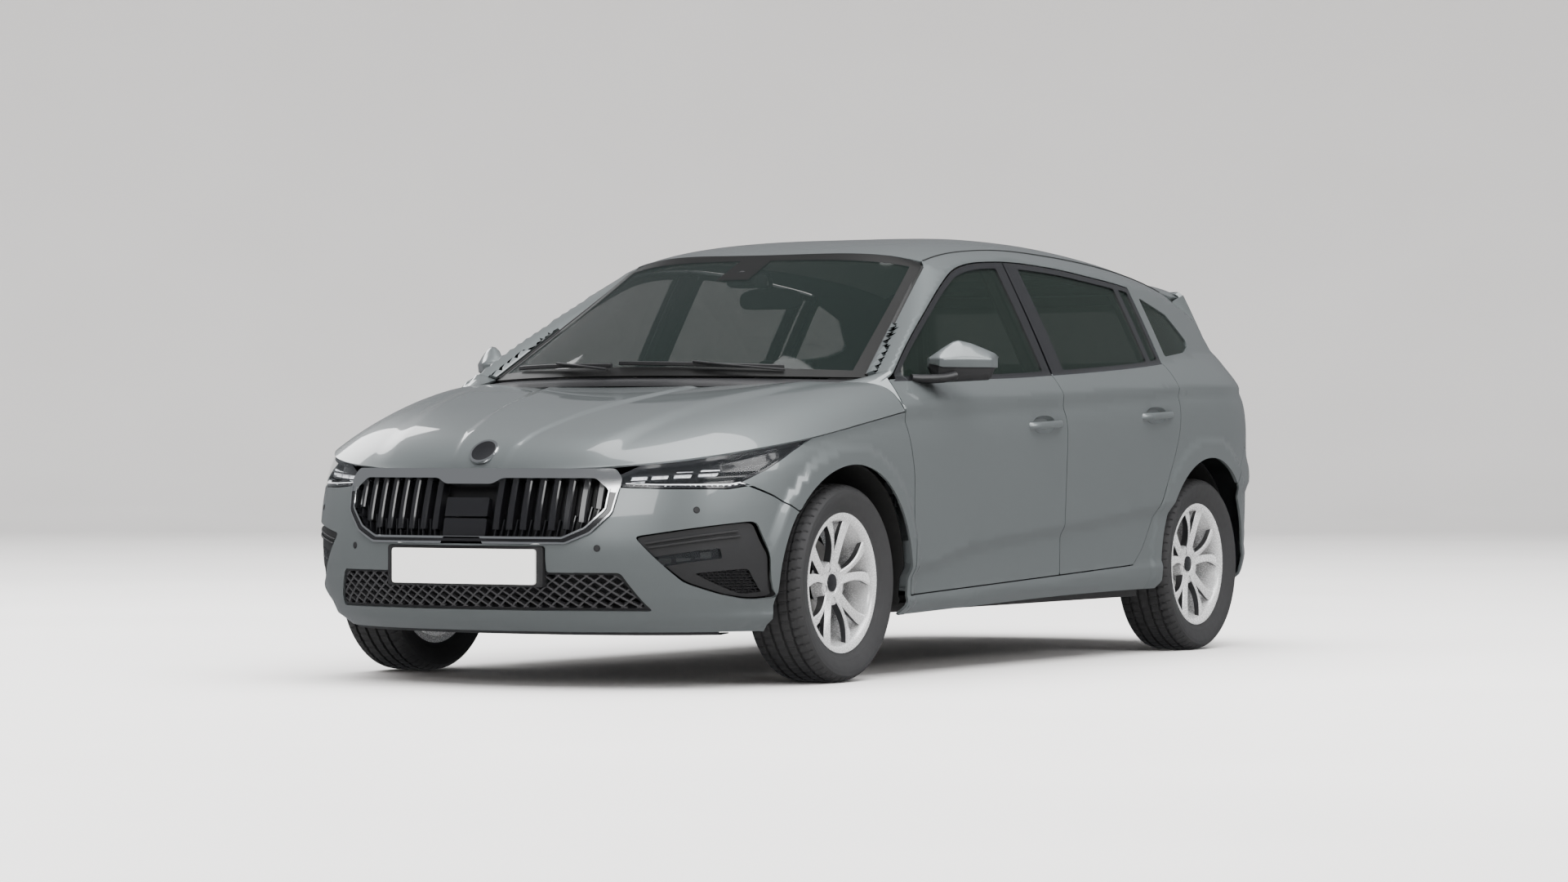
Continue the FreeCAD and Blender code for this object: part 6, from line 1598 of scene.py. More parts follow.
# %% Fog frames
lamp_glow = Finish("lamp_cells", (0.85, 0.87, 0.90), Roughness=0.18, Emission_Strength=0.9)
facets = lamp_glow.node("ShaderNodeTexVoronoi", None, {"Vector": lamp_glow.place(), "Scale": 150})
lamp_glow.varied(Base_Color=lamp_glow.mix(facets, (0.95, 0.96, 0.98, 1), (0.45, 0.47, 0.50, 1)),
                 Emission_Color=lamp_glow.mix(facets, (0.9, 0.93, 1.0, 1), (0.25, 0.27, 0.3, 1)))
FOG_FACE = [(0.549, 0.463), (0.798, 0.508), (0.822, 0.40), (0.822, 0.279), (0.775, 0.272),
            (0.668, 0.327)]
lamp_row = [(0.600, 0.404), (0.745, 0.430), (0.750, 0.398), (0.610, 0.372)]
lamp_hole = front_outline(lamp_row, 0.006)
comb_area = [(0.690, 0.352), (0.792, 0.366), (0.806, 0.290), (0.776, 0.284)]
comb_hole = front_outline(comb_area, 0.008)
fog_face = at_nose(front_outline(FOG_FACE, 0.016), (1, -1, 0), step=0.02,
                   holes=[lamp_hole, comb_hole], depth=0.02, sink=0.010)
fins = [plain_bar([(0.575, 0.445), (0.775, 0.481)], 0.006, 0.008, 0.004),
        plain_bar([(0.585, 0.432), (0.780, 0.466)], 0.006, 0.008, 0.004)]
combs = []
for row in range(12):
    for column in range(16):
        x = 0.69 + column * 0.0105 + (row % 2) * 0.00525
        z = 0.282 + row * 0.0091
        if inside(np.array([[x, z]]), np.array(comb_area))[0]:
            ring = [(x + 0.0045 * math.cos(a), z + 0.0045 * math.sin(a))
                    for a in np.linspace(0, 2 * math.pi, 7)]
            combs.append(front_bar(ring, 0.0018, 0.006, 0.012, 0.0047))
back = front_panel(FOG_FACE, 0.016, step=0.05, depth=0.004, sink=0.034)
piece("fog_frames", both(fog_face + joined(fins) + joined(combs) + back),
      [black_plastic], "chassis", "grille_plastic")
cells = []
for k in range(3):
    x = 0.625 + k * 0.045
    z = 0.389 + k * 0.008
    corners = [(x - 0.016, z - 0.011), (x + 0.016, z - 0.006), (x + 0.016, z + 0.013),
               (x - 0.016, z + 0.008)]
    cells.append(front_panel(corners, 0.004, step=0.01, depth=0.006, sink=0.020))
piece("fog_lamps", both(joined(cells)), [cast_metal], "chassis", "lamp_lens")
piece("fog_lens", both(front_panel(lamp_row, 0.006, step=0.03, depth=0.003, sink=0.011)),
      [clear_lens], "chassis", "lamp_lens")

# %% [markdown]
# ## Headlamps
# Under a clear lens sit a black housing, four bright cells, the upper and lower light blades and a
# white strip for driving by day. The lens has the outline of the gap between bonnet, wing and
# bumper.

# %% Headlamps
lamp_top_y = np.linspace(-2.003, -1.506, 50)
lamp_top_z = shoulder(lamp_top_y) - 0.0045
lamp_top = [(side_x(y, z), y, z) for y, z in zip(lamp_top_y, lamp_top_z)]
top_line = np.array([nose_place(*dot) for dot in lamp_top])
inner_x = lamp_top[0][0]
rear_line = seen_side([(-1.506, shoulder(-1.506) - 0.006), (-1.60, 0.718), (-1.72, 0.660),
                       (-1.802, 0.634)])
low_line = seen_front([(side_x(-1.802, 0.634), 0.634), (0.805, 0.626), (0.75, 0.611),
                       (0.60, 0.612), (0.497, 0.616)])
inner_line = seen_front([(0.497, 0.616), (0.470, 0.645), (inner_x, lamp_top_z[0])])
lens_edge = np.concatenate([top_line[:-1], rear_line[:-1], low_line[:-1], inner_line[:-1]])
lens = panel(lens_edge, nose, (1, -1, 0), 0.018, depth=0.003, sink=0.001)
piece("headlamp_lenses", both(lens), [clear_lens], "chassis", "lamp_lens", "headlamps")
bowl = panel(shrunk(lens_edge, 0.004), quick_nose, (1, -1, 0), 0.03, depth=0.003, sink=0.042)
edge_back = panel(lens_edge, quick_nose, (1, -1, 0), 0.03, depth=0.036, sink=0.005,
                  holes=[shrunk(lens_edge, 0.010)])
brow = [front_bar([(0.50, z), (0.80, z + 0.016)], 0.007, 0.02, sink)
        for z, sink in ((0.652, 0.014), (0.636, 0.020))]
piece("headlamp_housings", both(bowl + edge_back + joined(brow)), [gloss_black], "chassis",
      "grille_plastic")
cells = []
for k, x in enumerate((0.535, 0.590, 0.647, 0.705)):
    z = 0.643 + k * 0.006
    corners = [(x - 0.021, z - 0.009), (x + 0.020, z - 0.008), (x + 0.024, z + 0.012),
               (x - 0.017, z + 0.011)]
    cells.append(front_panel(corners, 0.005, step=0.01, depth=0.008, sink=0.018))
piece("headlamp_cells", both(joined(cells)), [lamp_glow], "chassis", "lamp_lens")
day_white = Finish("day_light", (0.92, 0.93, 0.95), Roughness=0.25, Emission_Strength=0.35)
day_white.varied(Roughness=0.2 + day_white.noise(40, 1) * 0.1,
                 Emission_Color=day_white.mix(day_white.noise(8, 1), (0.9, 0.92, 1, 1),
                                              (0.8, 0.84, 0.95, 1)))
day_line = [(0.505, 0.6235), (0.60, 0.6205), (0.75, 0.6205), (0.800, 0.634), (0.825, 0.655)]
piece("day_strips", both(front_bar(day_line, 0.0085, 0.008, 0.006)), [day_white], "chassis",
      "lamp_lens")

# %% [markdown]
# ## Tyres
# A tyre is turned on its axle from one profile: beads, soft sidewalls with fine rings, rounded
# shoulders and a tread with four grooves. Cross cuts are made by lowering the tread's points at
# steady angles, which gives real blocks without cutting the mesh.

# %% Turning a profile on an axle
def turned(profile, count=144, height=None):
    """Revolves (radius, across) pairs about X; height(angle, radius, across) moves the radius."""
    a = circle(count)
    rings = []
    for radius, across in profile:
        r = np.full(count, float(radius))
        if height:
            r = r + height(a, radius, across)
        rings.append(np.stack([np.full(count, float(across)), r * np.cos(a), r * np.sin(a)], -1))
    return grid(rings, closed_columns=True)


def tyre_profile():
    side_wall = [(0.2035, 0.068), (0.207, 0.075), (0.214, 0.0775), (0.222, 0.0785)]
    side_wall += [(r, 0.0785 + 0.0230 * math.sin(math.pi * min((r - 0.222) / 0.075, 1) * 0.56))
                  for r in np.linspace(0.226, 0.290, 16)]
    rings = []
    for r, x in side_wall:
        ridge = 0.0007 if abs(r - 0.238) < 0.003 or abs(r - 0.277) < 0.003 else 0.0
        rings.append((r, x + ridge))
    shoulder_part = [(0.2955, 0.0968), (0.3005, 0.0915), (0.3045, 0.0850), (0.3070, 0.0770)]
    tread = []
    for middle in (0.056, 0.019):
        tread += [(0.3093, middle + 0.0052), (0.3015, middle + 0.0035), (0.3015, middle - 0.0035),
                  (0.3093, middle - 0.0052)]
    half = rings + shoulder_part + [(0.3085, 0.068)] + tread
    return half + [(r, -x) for r, x in reversed(half)]


def cuts(angle, radius, across):
    """Cross cuts in the shoulder and the tread blocks."""
    if radius < 0.3002:
        return 0.0
    steps = angle * 62 / (2 * math.pi) + across * 9
    deep = 0.0045 if abs(across) > 0.05 else 0.003
    return -deep * ((steps % 1) < 0.16)


tyre_shape = turned(tyre_profile(), 432, cuts)
tyre_rubber = grained("tyre_rubber", (0.020, 0.020, 0.021), 0.72, 380, 0.25)

# %% [markdown]
# ## Alloy wheels
# This is the piece that takes most skill. Five pairs of spokes run from the hub to the rim, and
# each pair is twisted: its two spokes lean towards each other at the hub and spread at the rim. A
# spoke is a row of sections along a radius, each with its own width, angle, depth and a face that
# slopes to one side. The rim's barrel, lips and hub are turned profiles.


# %% Spokes
def spoke(side, pair):
    """One spoke of a pair, from the hub out to the rim; side is -1 or 1."""
    rows = []
    for t in np.linspace(0, 1, 22):
        radius = 0.044 + (0.2005 - 0.044) * t
        spread_here = math.radians(7.5 + 9.0 * t - 2.5 * math.sin(math.pi * t))
        angle = pair * 2 * math.pi / 5 + math.pi / 2 + side * spread_here
        width = 0.0165 - 0.0040 * math.sin(math.pi * min(t * 1.25, 1)) + 0.0130 * max(t - 0.72, 0)
        face = 0.040 + 0.0265 * t ** 0.8 + 0.004 * math.sin(math.pi * t)
        slope = side * (0.0055 - 0.004 * t)
        depth = 0.028 - 0.008 * t
        section = [(-width, face - slope - 0.004), (-width * 0.72, face - slope),
                   (width * 0.72, face + slope), (width, face + slope - 0.004),
                   (width * 0.78, face - depth), (-width * 0.78, face - depth)]
        onward = np.array([math.cos(angle), math.sin(angle)])
        aside = np.array([-onward[1], onward[0]])
        rows.append([(x, *(onward * radius + aside * w)) for w, x in section])
    shape = grid(rows, closed_columns=True)
    shape.tints = [1 if k % 6 in (3, 4, 5) else 0 for k in range(len(shape.faces))]
    return shape


rim_profile = [(0.2190, 0.0800), (0.2200, 0.0775), (0.2185, 0.0738), (0.2120, 0.0722),
               (0.2075, 0.0700), (0.2030, 0.0640), (0.1990, 0.0560), (0.1975, 0.0380),
               (0.1880, 0.0120), (0.1865, -0.020), (0.1950, -0.045), (0.1985, -0.070),
               (0.2190, -0.0745), (0.2192, -0.0795), (0.1970, -0.0780), (0.1930, -0.045),
               (0.1835, -0.018), (0.1850, 0.014), (0.1935, 0.0400), (0.1960, 0.0610),
               (0.1995, 0.0715), (0.2060, 0.0770), (0.2130, 0.0800), (0.2190, 0.0800)]
hub_profile = [(0.0, 0.0455), (0.024, 0.0450), (0.0275, 0.0440), (0.0290, 0.0405),
               (0.0345, 0.0405), (0.0370, 0.0440), (0.060, 0.0470), (0.0690, 0.0440),
               (0.0700, 0.0300), (0.0700, 0.004), (0.0, 0.004)]
barrel = turned(rim_profile, 120)
hub = turned(hub_profile, 60)
hub.tints = [2 if k < 60 * 3 else 0 for k in range(len(hub.faces))]
nuts = []
for k in range(5):
    angle = math.radians(90 + 36 + 72 * k)
    well = turned([(0.0, 0.0425), (0.0055, 0.0425), (0.0085, 0.0405), (0.0085, 0.0380),
                   (0.0112, 0.0380), (0.0112, 0.0478), (0.0122, 0.0478), (0.0130, 0.044)], 18)
    well.tints = [2 if i < 18 * 2 else 1 if i < 18 * 5 else 0 for i in range(len(well.faces))]
    nuts.append(well.moved(Matrix.Translation((0, 0.0545 * math.cos(angle),
                                               0.0545 * math.sin(angle)))))
rim_dark = metal("rim_inside", (0.16, 0.16, 0.165), 0.42, 120, 0.16)
rim_shape = barrel + hub + joined(nuts) + joined([spoke(side, k) for k in range(5)
                                                  for side in (-1, 1)])
print("rim faces", len(rim_shape.faces), "tyre faces", len(tyre_shape.faces))

# %% [markdown]
# The calipers stay with the knuckle and keep their CAD shape. A brake disc turns with its wheel and
# gets its own mesh, turned from one profile in one brushed metal.

# %% Discs and wheels in place
disc_shape = turned([(0.052, -0.0290), (0.070, -0.0290), (0.074, -0.0300), (0.1365, -0.0300),
                     (0.138, -0.0320), (0.138, -0.0385), (0.118, -0.0400), (0.118, -0.0425),
                     (0.138, -0.0440), (0.138, -0.0505), (0.1365, -0.0520), (0.026, -0.0520),
                     (0.026, -0.099), (0.0, -0.099)], 96)
FRONT_TRACK, REAR_TRACK = 0.7655, 0.758
for row, x, y in (("front", FRONT_TRACK, FRONT_AXLE), ("rear", REAR_TRACK, REAR_AXLE)):
    for hand, sign in (("left", 1), ("right", -1)):
        where = Matrix.Translation((x * sign, y, WHEEL_Z))
        if sign < 0:
            where = where @ Matrix.Rotation(math.pi, 4, "Z")
        body = f"{row}_wheel_{hand}"
        piece(f"tyre_skin_{row}_{hand}", tyre_shape.moved(where), [tyre_rubber], body, "tyre",
              f"tyre_{row}_{hand}", 28)
        piece(f"rim_{row}_{hand}_cast", rim_shape.moved(where), [alloy, rim_dark, gloss_black],
              body, "alloy", f"rim_{row}_{hand}", 38)
        piece(f"disc_{row}_{hand}", disc_shape.moved(where), [disc_metal], body, "cast_metal",
              sharp=30)

# %% [markdown]
# ## Tail
# The tailgate is one pressing with a window in it, and the lamps wrap round the corners. The
# surface is drawn as seen from behind, so an outline in x and z is lifted straight onto it.


# %% Tailgate
def behind(x, z):
    return np.stack([x, tail_y(x, z), z], -1)


def rear_outline(shares, radius):
    return cornered([(out(a), up(b)) for a, b in shares], radius, 0.014)


gate_edge = rear_outline(((-0.745, 0.482), (0.745, 0.482), (0.752, 0.60), (0.745, 0.66),
                          (0.715, 0.78), (0.655, 0.895), (-0.655, 0.895), (-0.715, 0.78),
                          (-0.745, 0.66), (-0.752, 0.60)), 0.025)
rear_window = rear_outline(((-0.640, 0.70), (0.640, 0.70), (0.585, 0.872), (-0.585, 0.872)),
                           0.035)
gate = panel(gate_edge, behind, (0, 1, 0), 0.024, holes=[rear_window], depth=0.016)
inner_gate = panel(shrunk(gate_edge, 0.05), behind, (0, 1, 0), 0.05,
                   holes=[shrunk(rear_window, -0.02)], depth=0.010, sink=0.022)
piece("tailgate_skin", gate, [paint], "tailgate_lid", "paint", "tailgate")
piece("tailgate_trim", inner_gate, [inner_plastic], "tailgate_lid", "dash_plastic")
frit = panel(shrunk(rear_window, -0.005), behind, (0, 1, 0), 0.03, depth=0.003, sink=0.003,
             holes=[shrunk(rear_window, 0.030)])
pane = panel(shrunk(rear_window, -0.005), behind, (0, 1, 0), 0.04, depth=0.004, sink=0.007)
piece("tailgate_glass", pane, [rear_glass], "tailgate_lid", "screen_glass", "tailgate_window")
piece("tailgate_glass_edge", frit, [gloss_black], "tailgate_lid", "trim_plastic")

# %% [markdown]
# The spoiler carries the roof's line past the window, with a high brake light in its edge, and it
# moves with the tailgate. The roof itself ends where the lid begins.

# %% Spoiler
lid_share = np.linspace(-1, 1, 61)
lid_half, LID_FRONT, LID_BEND = ROOF_HALF - 0.005, 1.612, 1.66
lid_rows = []
for t in np.linspace(0, 1, 26):
    y = between(LID_FRONT, 1.822 - 0.075 * np.abs(lid_share) ** 3, t)
    x = lid_share * (lid_half + 0.030 * t)
    z = (roof_z(lid_share * lid_half, np.minimum(y, LID_BEND))
         - 0.10 * np.maximum(y - LID_BEND, 0))
    lid_rows.append(np.stack([x, y, z], -1))
lid = sheet(np.array(lid_rows), 0.014, (0, 0, 1))
piece("spoiler", lid, [paint], "tailgate_lid", "paint")
edge = lid_rows[-1]
under_x = edge[:, 0] * 0.955
under_z = np.full_like(under_x, up(0.893))
under_rows = np.array([edge - (0, 0.006, 0.012),
                       np.stack([under_x, tail_y(under_x, under_z) - 0.006, under_z], -1)])
piece("spoiler_under", sheet(under_rows, 0.006, (0, 0.5, -1)), [gloss_black], "tailgate_lid",
      "trim_plastic")
pillar_heights = np.linspace(up(0.658), up(0.886), 30)
gate_side = np.interp(pillar_heights, [up(0.66), up(0.78), up(0.895)],
                      [out(0.745), out(0.715), out(0.655)]) + 0.006
corner_y = tail_y(out(0.755), pillar_heights) - 0.004
tail_pillar = np.array([
    np.stack([gate_side, tail_y(gate_side, pillar_heights) - 0.002, pillar_heights], -1),
    side_strip(corner_y, pillar_heights)])
piece("tail_pillars", both(sheet(tail_pillar, 0.008, (1, 1, 0))), [paint], "chassis", "paint",
      sharp=50)
stop_line = edge[20:41] + np.array([0, 0.0012, -0.010])
piece("high_brake_light", swept(stop_line, bar_section(0.005, 0.011)), [red_lens],
      "tailgate_lid", "red_lens")

# %% [markdown]
# ## Tail lamps and rear bumper
# The outer half of each lamp wraps round the corner onto the side. It is a red lens, ribbed in its
# colour, over a black housing.

# %% Tail lamps
def tail_outline(corners, radius):
    """A closed outline seen from behind, with rounded corners, taken to the tail."""
    return np.array([(tail_angle(x, z), z) for x, z in cornered(corners, radius)])


lamp_inner_x, lamp_high = out(0.752), lamp_tip[1] - 0.004
lamp_side = seen_side([(1.927, 0.716), (1.862, 0.82), (lamp_tip[0] + 0.004, lamp_high)],
                      tail_place)
top_angle, base_angle = tail_angle(lamp_inner_x, 0.957), tail_angle(lamp_inner_x, 0.716)
lamp_edge = np.concatenate([
    lamp_side[:-1],
    straight((lamp_side[-1][0], top_angle), (lamp_high, lamp_high), 24)[:-1],
    straight((top_angle, base_angle), (lamp_high, 0.716), 22)[:-1],
    straight((base_angle, lamp_side[0][0]), (0.716, 0.716), 20)[:-1]])
lamp_face = panel(lamp_edge, quick_tail, (0.6, 1, 0), 0.018, depth=0.006, sink=0.002)
lamp_case = panel(lamp_edge, quick_tail, (0.6, 1, 0), 0.03, depth=0.05, sink=0.009)
piece("tail_lamp_lenses", both(lamp_face), [red_lens], "chassis", "red_lens", "tail_lamps")
piece("tail_lamp_cases", both(lamp_case), [gloss_black], "chassis", "trim_plastic")
gate_lamp_edge = rear_outline(((0.47, 0.575), (0.735, 0.565), (0.735, 0.648), (0.47, 0.628)),
                              0.012)
gate_lamp = panel(gate_lamp_edge, behind, (0, 1, 0), 0.03, depth=0.010, sink=-0.005)
piece("gate_lamps", both(gate_lamp), [red_lens], "tailgate_lid", "red_lens")

# %% Rear bumper
BUMPER_REAR_LOW = 0.222
rear_arch = arch_line(REAR_AXLE, 0.388, 48, -12)
rear_arch = rear_arch[rear_arch[:, 1] > BUMPER_REAR_LOW]
arch_side = np.array([tail_place(side_x(y, z), y, z) for y, z in rear_arch])
rear_shut = seen_side([(1.595, 0.598), (1.723, 0.734), (1.80, 0.724), (1.925, 0.708)], tail_place)
rear_left = np.concatenate([arch_side[::-1], rear_shut])
shut_angle, (arch_angle, arch_height) = rear_shut[-1][0], arch_side[-1]
bumper_outline = np.concatenate([
    rear_left, straight((shut_angle, -shut_angle), (0.704, 0.704), 90)[1:-1],
    reversed_left(rear_left),
    straight((-arch_angle, arch_angle), (arch_height, arch_height), 90)[1:-1]])
plate_place = tail_outline([(-0.30, 0.46), (0.30, 0.46), (0.28, 0.60), (-0.28, 0.60)], 0.02)
low_band = tail_outline([(-0.70, 0.225), (0.70, 0.225), (0.60, 0.335), (-0.60, 0.335)], 0.02)
rear_skin = panel(bumper_outline, tail, (0, 1, 0), 0.022, depth=0.008,
                  holes=[plate_place, low_band])
piece("rear_bumper_skin", rear_skin, [paint], "chassis", "paint", "rear_bumper")
low_face = panel(low_band, quick_tail, (0, 1, 0), 0.03, depth=0.02, sink=0.004)
recess = panel(plate_place, quick_tail, (0, 1, 0), 0.03, depth=0.004, sink=0.022)
recess_wall = panel(shrunk(plate_place, -0.003), quick_tail, (0, 1, 0), 0.03, depth=0.024,
                    sink=0.003, holes=[shrunk(plate_place, 0.004)])
piece("rear_low_panel", low_face, [black_plastic], "chassis", "trim_plastic")
piece("rear_plate_recess", recess + recess_wall, [paint], "chassis", "paint")
rear_plate = plate_shape(0.26, 0.475, 0.585, 2.1680, 0.004, 1)
piece("rear_plate", rear_plate, [plate_white], "chassis", "trim_plastic")
reflector = tail_outline([(0.540, 0.372), (0.705, 0.384), (0.710, 0.404), (0.545, 0.392)], 0.006)
reflector = panel(reflector, quick_tail, (0, 1, 0), 0.02, depth=0.008, sink=-0.002)
piece("rear_reflectors", both(reflector), [red_lens], "chassis", "red_lens")

# %% [markdown]
# ## Mirrors
# The painted cap is a shell that is rounded in front and cut flat behind, where the glass sits. It
# is built from rings across the car, and the lower third is grained black plastic.


# %% Mirrors
MIRROR_ROOT, MIRROR_TIP = np.array([0.842, -0.728]), np.array([1.010, -0.560])
CREASE_Z = 1.022
along_mirror = (MIRROR_TIP - MIRROR_ROOT) / np.linalg.norm(MIRROR_TIP - MIRROR_ROOT)
ahead = np.array([along_mirror[1], -along_mirror[0]])


def mirror_case():
    """Rings across the mirror: a hill of paint, a band under its crease, and a black bowl."""
    rings = []
    for t in np.linspace(0.0, 1.0, 34):
        hill = 0.060 * float(np.interp(t, [0, 0.08, 0.18, 0.33, 0.42, 0.6, 0.79, 0.94, 1],
                                       [0.03, 0.26, 0.54, 0.90, 1.0, 0.84, 0.55, 0.30, 0.10]))
        end = min(1.0, 0.35 + t * 7, 0.22 + (1 - t) * 6)
        deep = 0.072 * end * (1 - 0.38 * t ** 2)
        band = 0.028 * min(1.0, 0.6 + 3 * t)
        low = 0.080 * end * (1 - 0.16 * t)
        outline = [(0.0, hill * 0.80), (0.010, hill * 0.96), (0.022, hill)]
        outline += [(0.022 + (deep - 0.022) * s, hill * (1 - s ** 1.7)) for s in
                    np.linspace(0.12, 1, 8)]
        outline += [(deep * 0.995, -0.25 * band), (deep * 0.97, -0.7 * band),
                    (deep * 0.95, -band), (deep * 0.86, -band - 0.001),
                    (deep * 0.84, -0.5 * (band + low)), (deep * 0.72, -0.86 * low),
                    (deep * 0.55, -0.97 * low), (deep * 0.30, -low), (0.004, -0.97 * low),
                    (0.0, -0.90 * low)]
        place = between(MIRROR_ROOT, MIRROR_TIP, t) - ahead * 0.030
        rings.append([(*(place + ahead * d), CREASE_Z + h) for d, h in outline])
    shape = grid(rings, closed_columns=True)
    count = len(rings[0])
    shape.tints = [1 if 13 <= k % count < count - 1 else 0 for k in range(len(shape.faces))]
    return capped(shape, count)


mirror_pane = cornered([(0.020, -0.062), (0.205, -0.052), (0.205, 0.012), (0.090, 0.042),
                        (0.020, 0.010)], 0.014)


def mirror_back(s, h):
    place = MIRROR_ROOT[:, None] + along_mirror[:, None] * np.ravel(s) - ahead[:, None] * 0.0305
    return np.column_stack([place[0], place[1], CREASE_Z + np.ravel(h)]).reshape(
        *np.shape(s), 3)


glass = panel(mirror_pane, mirror_back, (0.3, 1, 0), 0.02, depth=0.003)
foot_path = np.array([(0.800, -0.780, 0.957), (0.822, -0.762, 0.955), (0.850, -0.742, 0.955),
                      (0.885, -0.716, 0.958), (0.915, -0.690, 0.966)])
foot = swept(resampled(foot_path, 0.006), round_section(0.044, 20, 0.34))
pair("mirror_cap", mirror_case(), [paint, black_plastic], "front_door_{}", "paint", "mirror", 50)
pair("mirror_glass", glass, [mirror_silver], "front_door_{}", "side_glass")
pair("mirror_foot", foot, [black_plastic], "front_door_{}", "trim_plastic", sharp=60)

# %% [markdown]
# ## Seats
# Seats are foam under sewn cloth. Each pad is a closed form whose corners are round, with raised
# bolsters at its sides and sewn channels across its middle. The cloth has a weave in its bump, and
# the side panels are darker and smoother.

# %% Seat cloth
seat_cloth = Finish("seat_cloth", (0.030, 0.031, 0.034), Roughness=0.92, Sheen_Weight=0.25)
weaves = [seat_cloth.node("ShaderNodeTexWave", {"bands_direction": axis},
                          {"Vector": seat_cloth.place(), "Scale": 210, "Distortion": 0.6})
          for axis in "XZ"]
seat_cloth.varied(Base_Color=seat_cloth.mix(weaves[0], (0.022, 0.023, 0.025, 1),
                                            (0.045, 0.046, 0.050, 1)),
                  Roughness=0.86 + seat_cloth.noise(60, 2) * 0.12)
seat_cloth.bumped(weaves[0] * 0.5 + weaves[1] * 0.5, 0.35, 0.0006)
seat_side = grained("seat_side", (0.014, 0.014, 0.015), 0.66, 480, 0.35)


def pad(width, length, depth, bolster=0.0, channels=0, rows=40, columns=56, seats=1):
    """A stuffed pad about its own middle: width in X, length in Y, depth in Z."""
    points = []
    for v in np.linspace(-math.pi / 2, math.pi / 2, rows):
        cv = np.sign(np.cos(v)) * abs(math.cos(v)) ** 0.28
        sv = math.copysign(abs(math.sin(v)) ** 0.75, v)
        row = []
        for u in circle(columns):
            cu = math.copysign(abs(math.cos(u)) ** 0.32, math.cos(u))
            su = math.copysign(abs(math.sin(u)) ** 0.32, math.sin(u))
            x, y, z = cv * cu, cv * su, sv
            lift = 0.0
            if z > 0:
                place = abs((x * seats + (1 if seats == 2 else 0)) % 2 - 1) if seats > 1 else abs(x)
                lift += bolster * max(place - 0.55, 0) / 0.45 * (1 - max(place - 0.9, 0) * 6)
                if channels and place < 0.62:
                    lift -= 0.006 * (0.5 + 0.5 * math.cos(y * math.pi * channels)) ** 8
                lift += 0.012 * (1 - min(place, 1) ** 2) * (1 - y * y)
            row.append((x * width / 2, y * length / 2, z * depth / 2 + lift))
        points.append(row)
    shape = grid(points, closed_columns=True)
    shape.tints = [1 if abs(np.mean([shape.points[i][2] for i in face])) < depth * 0.30
                   or np.mean([shape.points[i][2] for i in face]) < 0 else 0
                   for face in shape.faces]
    return shape


def pad_piece(name, shape, place, lean, replaces=()):
    turn = Matrix.Rotation(math.radians(lean), 4, "X")
    made = piece(name, shape.moved(Matrix.Translation(place) @ turn), [seat_cloth, seat_side],
                 "chassis", "seat_fabric", replaces, 60)
    return made


# %% Seats in place
for hand, x in (("left", 0.365), ("right", -0.365)):
    pad_piece(f"front_cushion_{hand}", pad(0.49, 0.49, 0.14, 0.030, 4), (x, 0.055, 0.405), 0,
              "front_seats" if hand == "left" else ())
    pad_piece(f"front_back_{hand}", pad(0.48, 0.55, 0.105, 0.034, 5), (x, 0.322, 0.660), 70)
    pad_piece(f"front_headrest_{hand}", pad(0.245, 0.145, 0.085, 0.0, 0), (x, 0.440, 0.975), 78)
    posts = joined([swept([(x + dx, 0.415, 0.885), (x + dx, 0.432, 0.950)],
                          round_section(0.006, 12), (0, 1.0, 0)) for dx in (-0.05, 0.05)])
    piece(f"headrest_posts_{hand}", posts, [chrome], "chassis", "trim_plastic", sharp=60)
pad_piece("rear_cushion", pad(1.07, 0.46, 0.14, 0.018, 4, 40, 90, 2), (0, 0.875, 0.405), 0,
          "rear_seat")
pad_piece("rear_back", pad(1.07, 0.53, 0.105, 0.020, 5, 40, 90, 2), (0, 1.095, 0.655), 70)
for x in (-0.34, 0.34):
    pad_piece(f"rear_headrest_{'left' if x > 0 else 'right'}", pad(0.24, 0.12, 0.08),
              (x, 1.205, 0.930), 78)

# %% [markdown]
# ## Dashboard and steering wheel
# The dashboard is one profile carried across the car, with a hood over the instruments and a screen
# in the middle. The wheel is a leather ring, fatter where the hands hold it, with three spokes and
# a plain pad.

# %% Dashboard
dash_line = np.array([(-0.958, 0.905), (-0.90, 0.928), (-0.80, 0.932), (-0.68, 0.925),
                      (-0.585, 0.905), (-0.548, 0.880), (-0.536, 0.850), (-0.548, 0.815),
                      (-0.575, 0.770), (-0.582, 0.715), (-0.600, 0.665), (-0.680, 0.625),
                      (-0.760, 0.610), (-0.958, 0.612)])
dash_ring = resampled(np.vstack([dash_line, dash_line[:1]]), 0.016)[:-1]
DASH_HALF, DASH_Y, DASH_Z = 0.678, -0.75, 0.77
dash_rows = []
for x in np.linspace(-DASH_HALF, DASH_HALF, 70):
    hood = 0.030 * math.exp(-((x - 0.365) / 0.16) ** 4)
    ring = dash_ring.copy()
    top = (ring[:, 1] > 0.86) & (ring[:, 0] > -0.80)
    ring[:, 1] += hood * top * np.clip((ring[:, 0] + 0.80) / 0.15, 0, 1)
    ring[:, 1] = np.minimum(ring[:, 1], 0.934)
    edge = 1 - 0.03 * (abs(x) / DASH_HALF) ** 8
    dash_rows.append(np.column_stack([np.full(len(ring), x), DASH_Y + (ring[:, 0] - DASH_Y) * edge,
                                      DASH_Z + (ring[:, 1] - DASH_Z) * edge]))
dash = grid(dash_rows, closed_columns=True)
piece("dash_shell", capped(dash, len(dash_ring)), [inner_plastic], "chassis", "dash_plastic",
      "dashboard", 50)


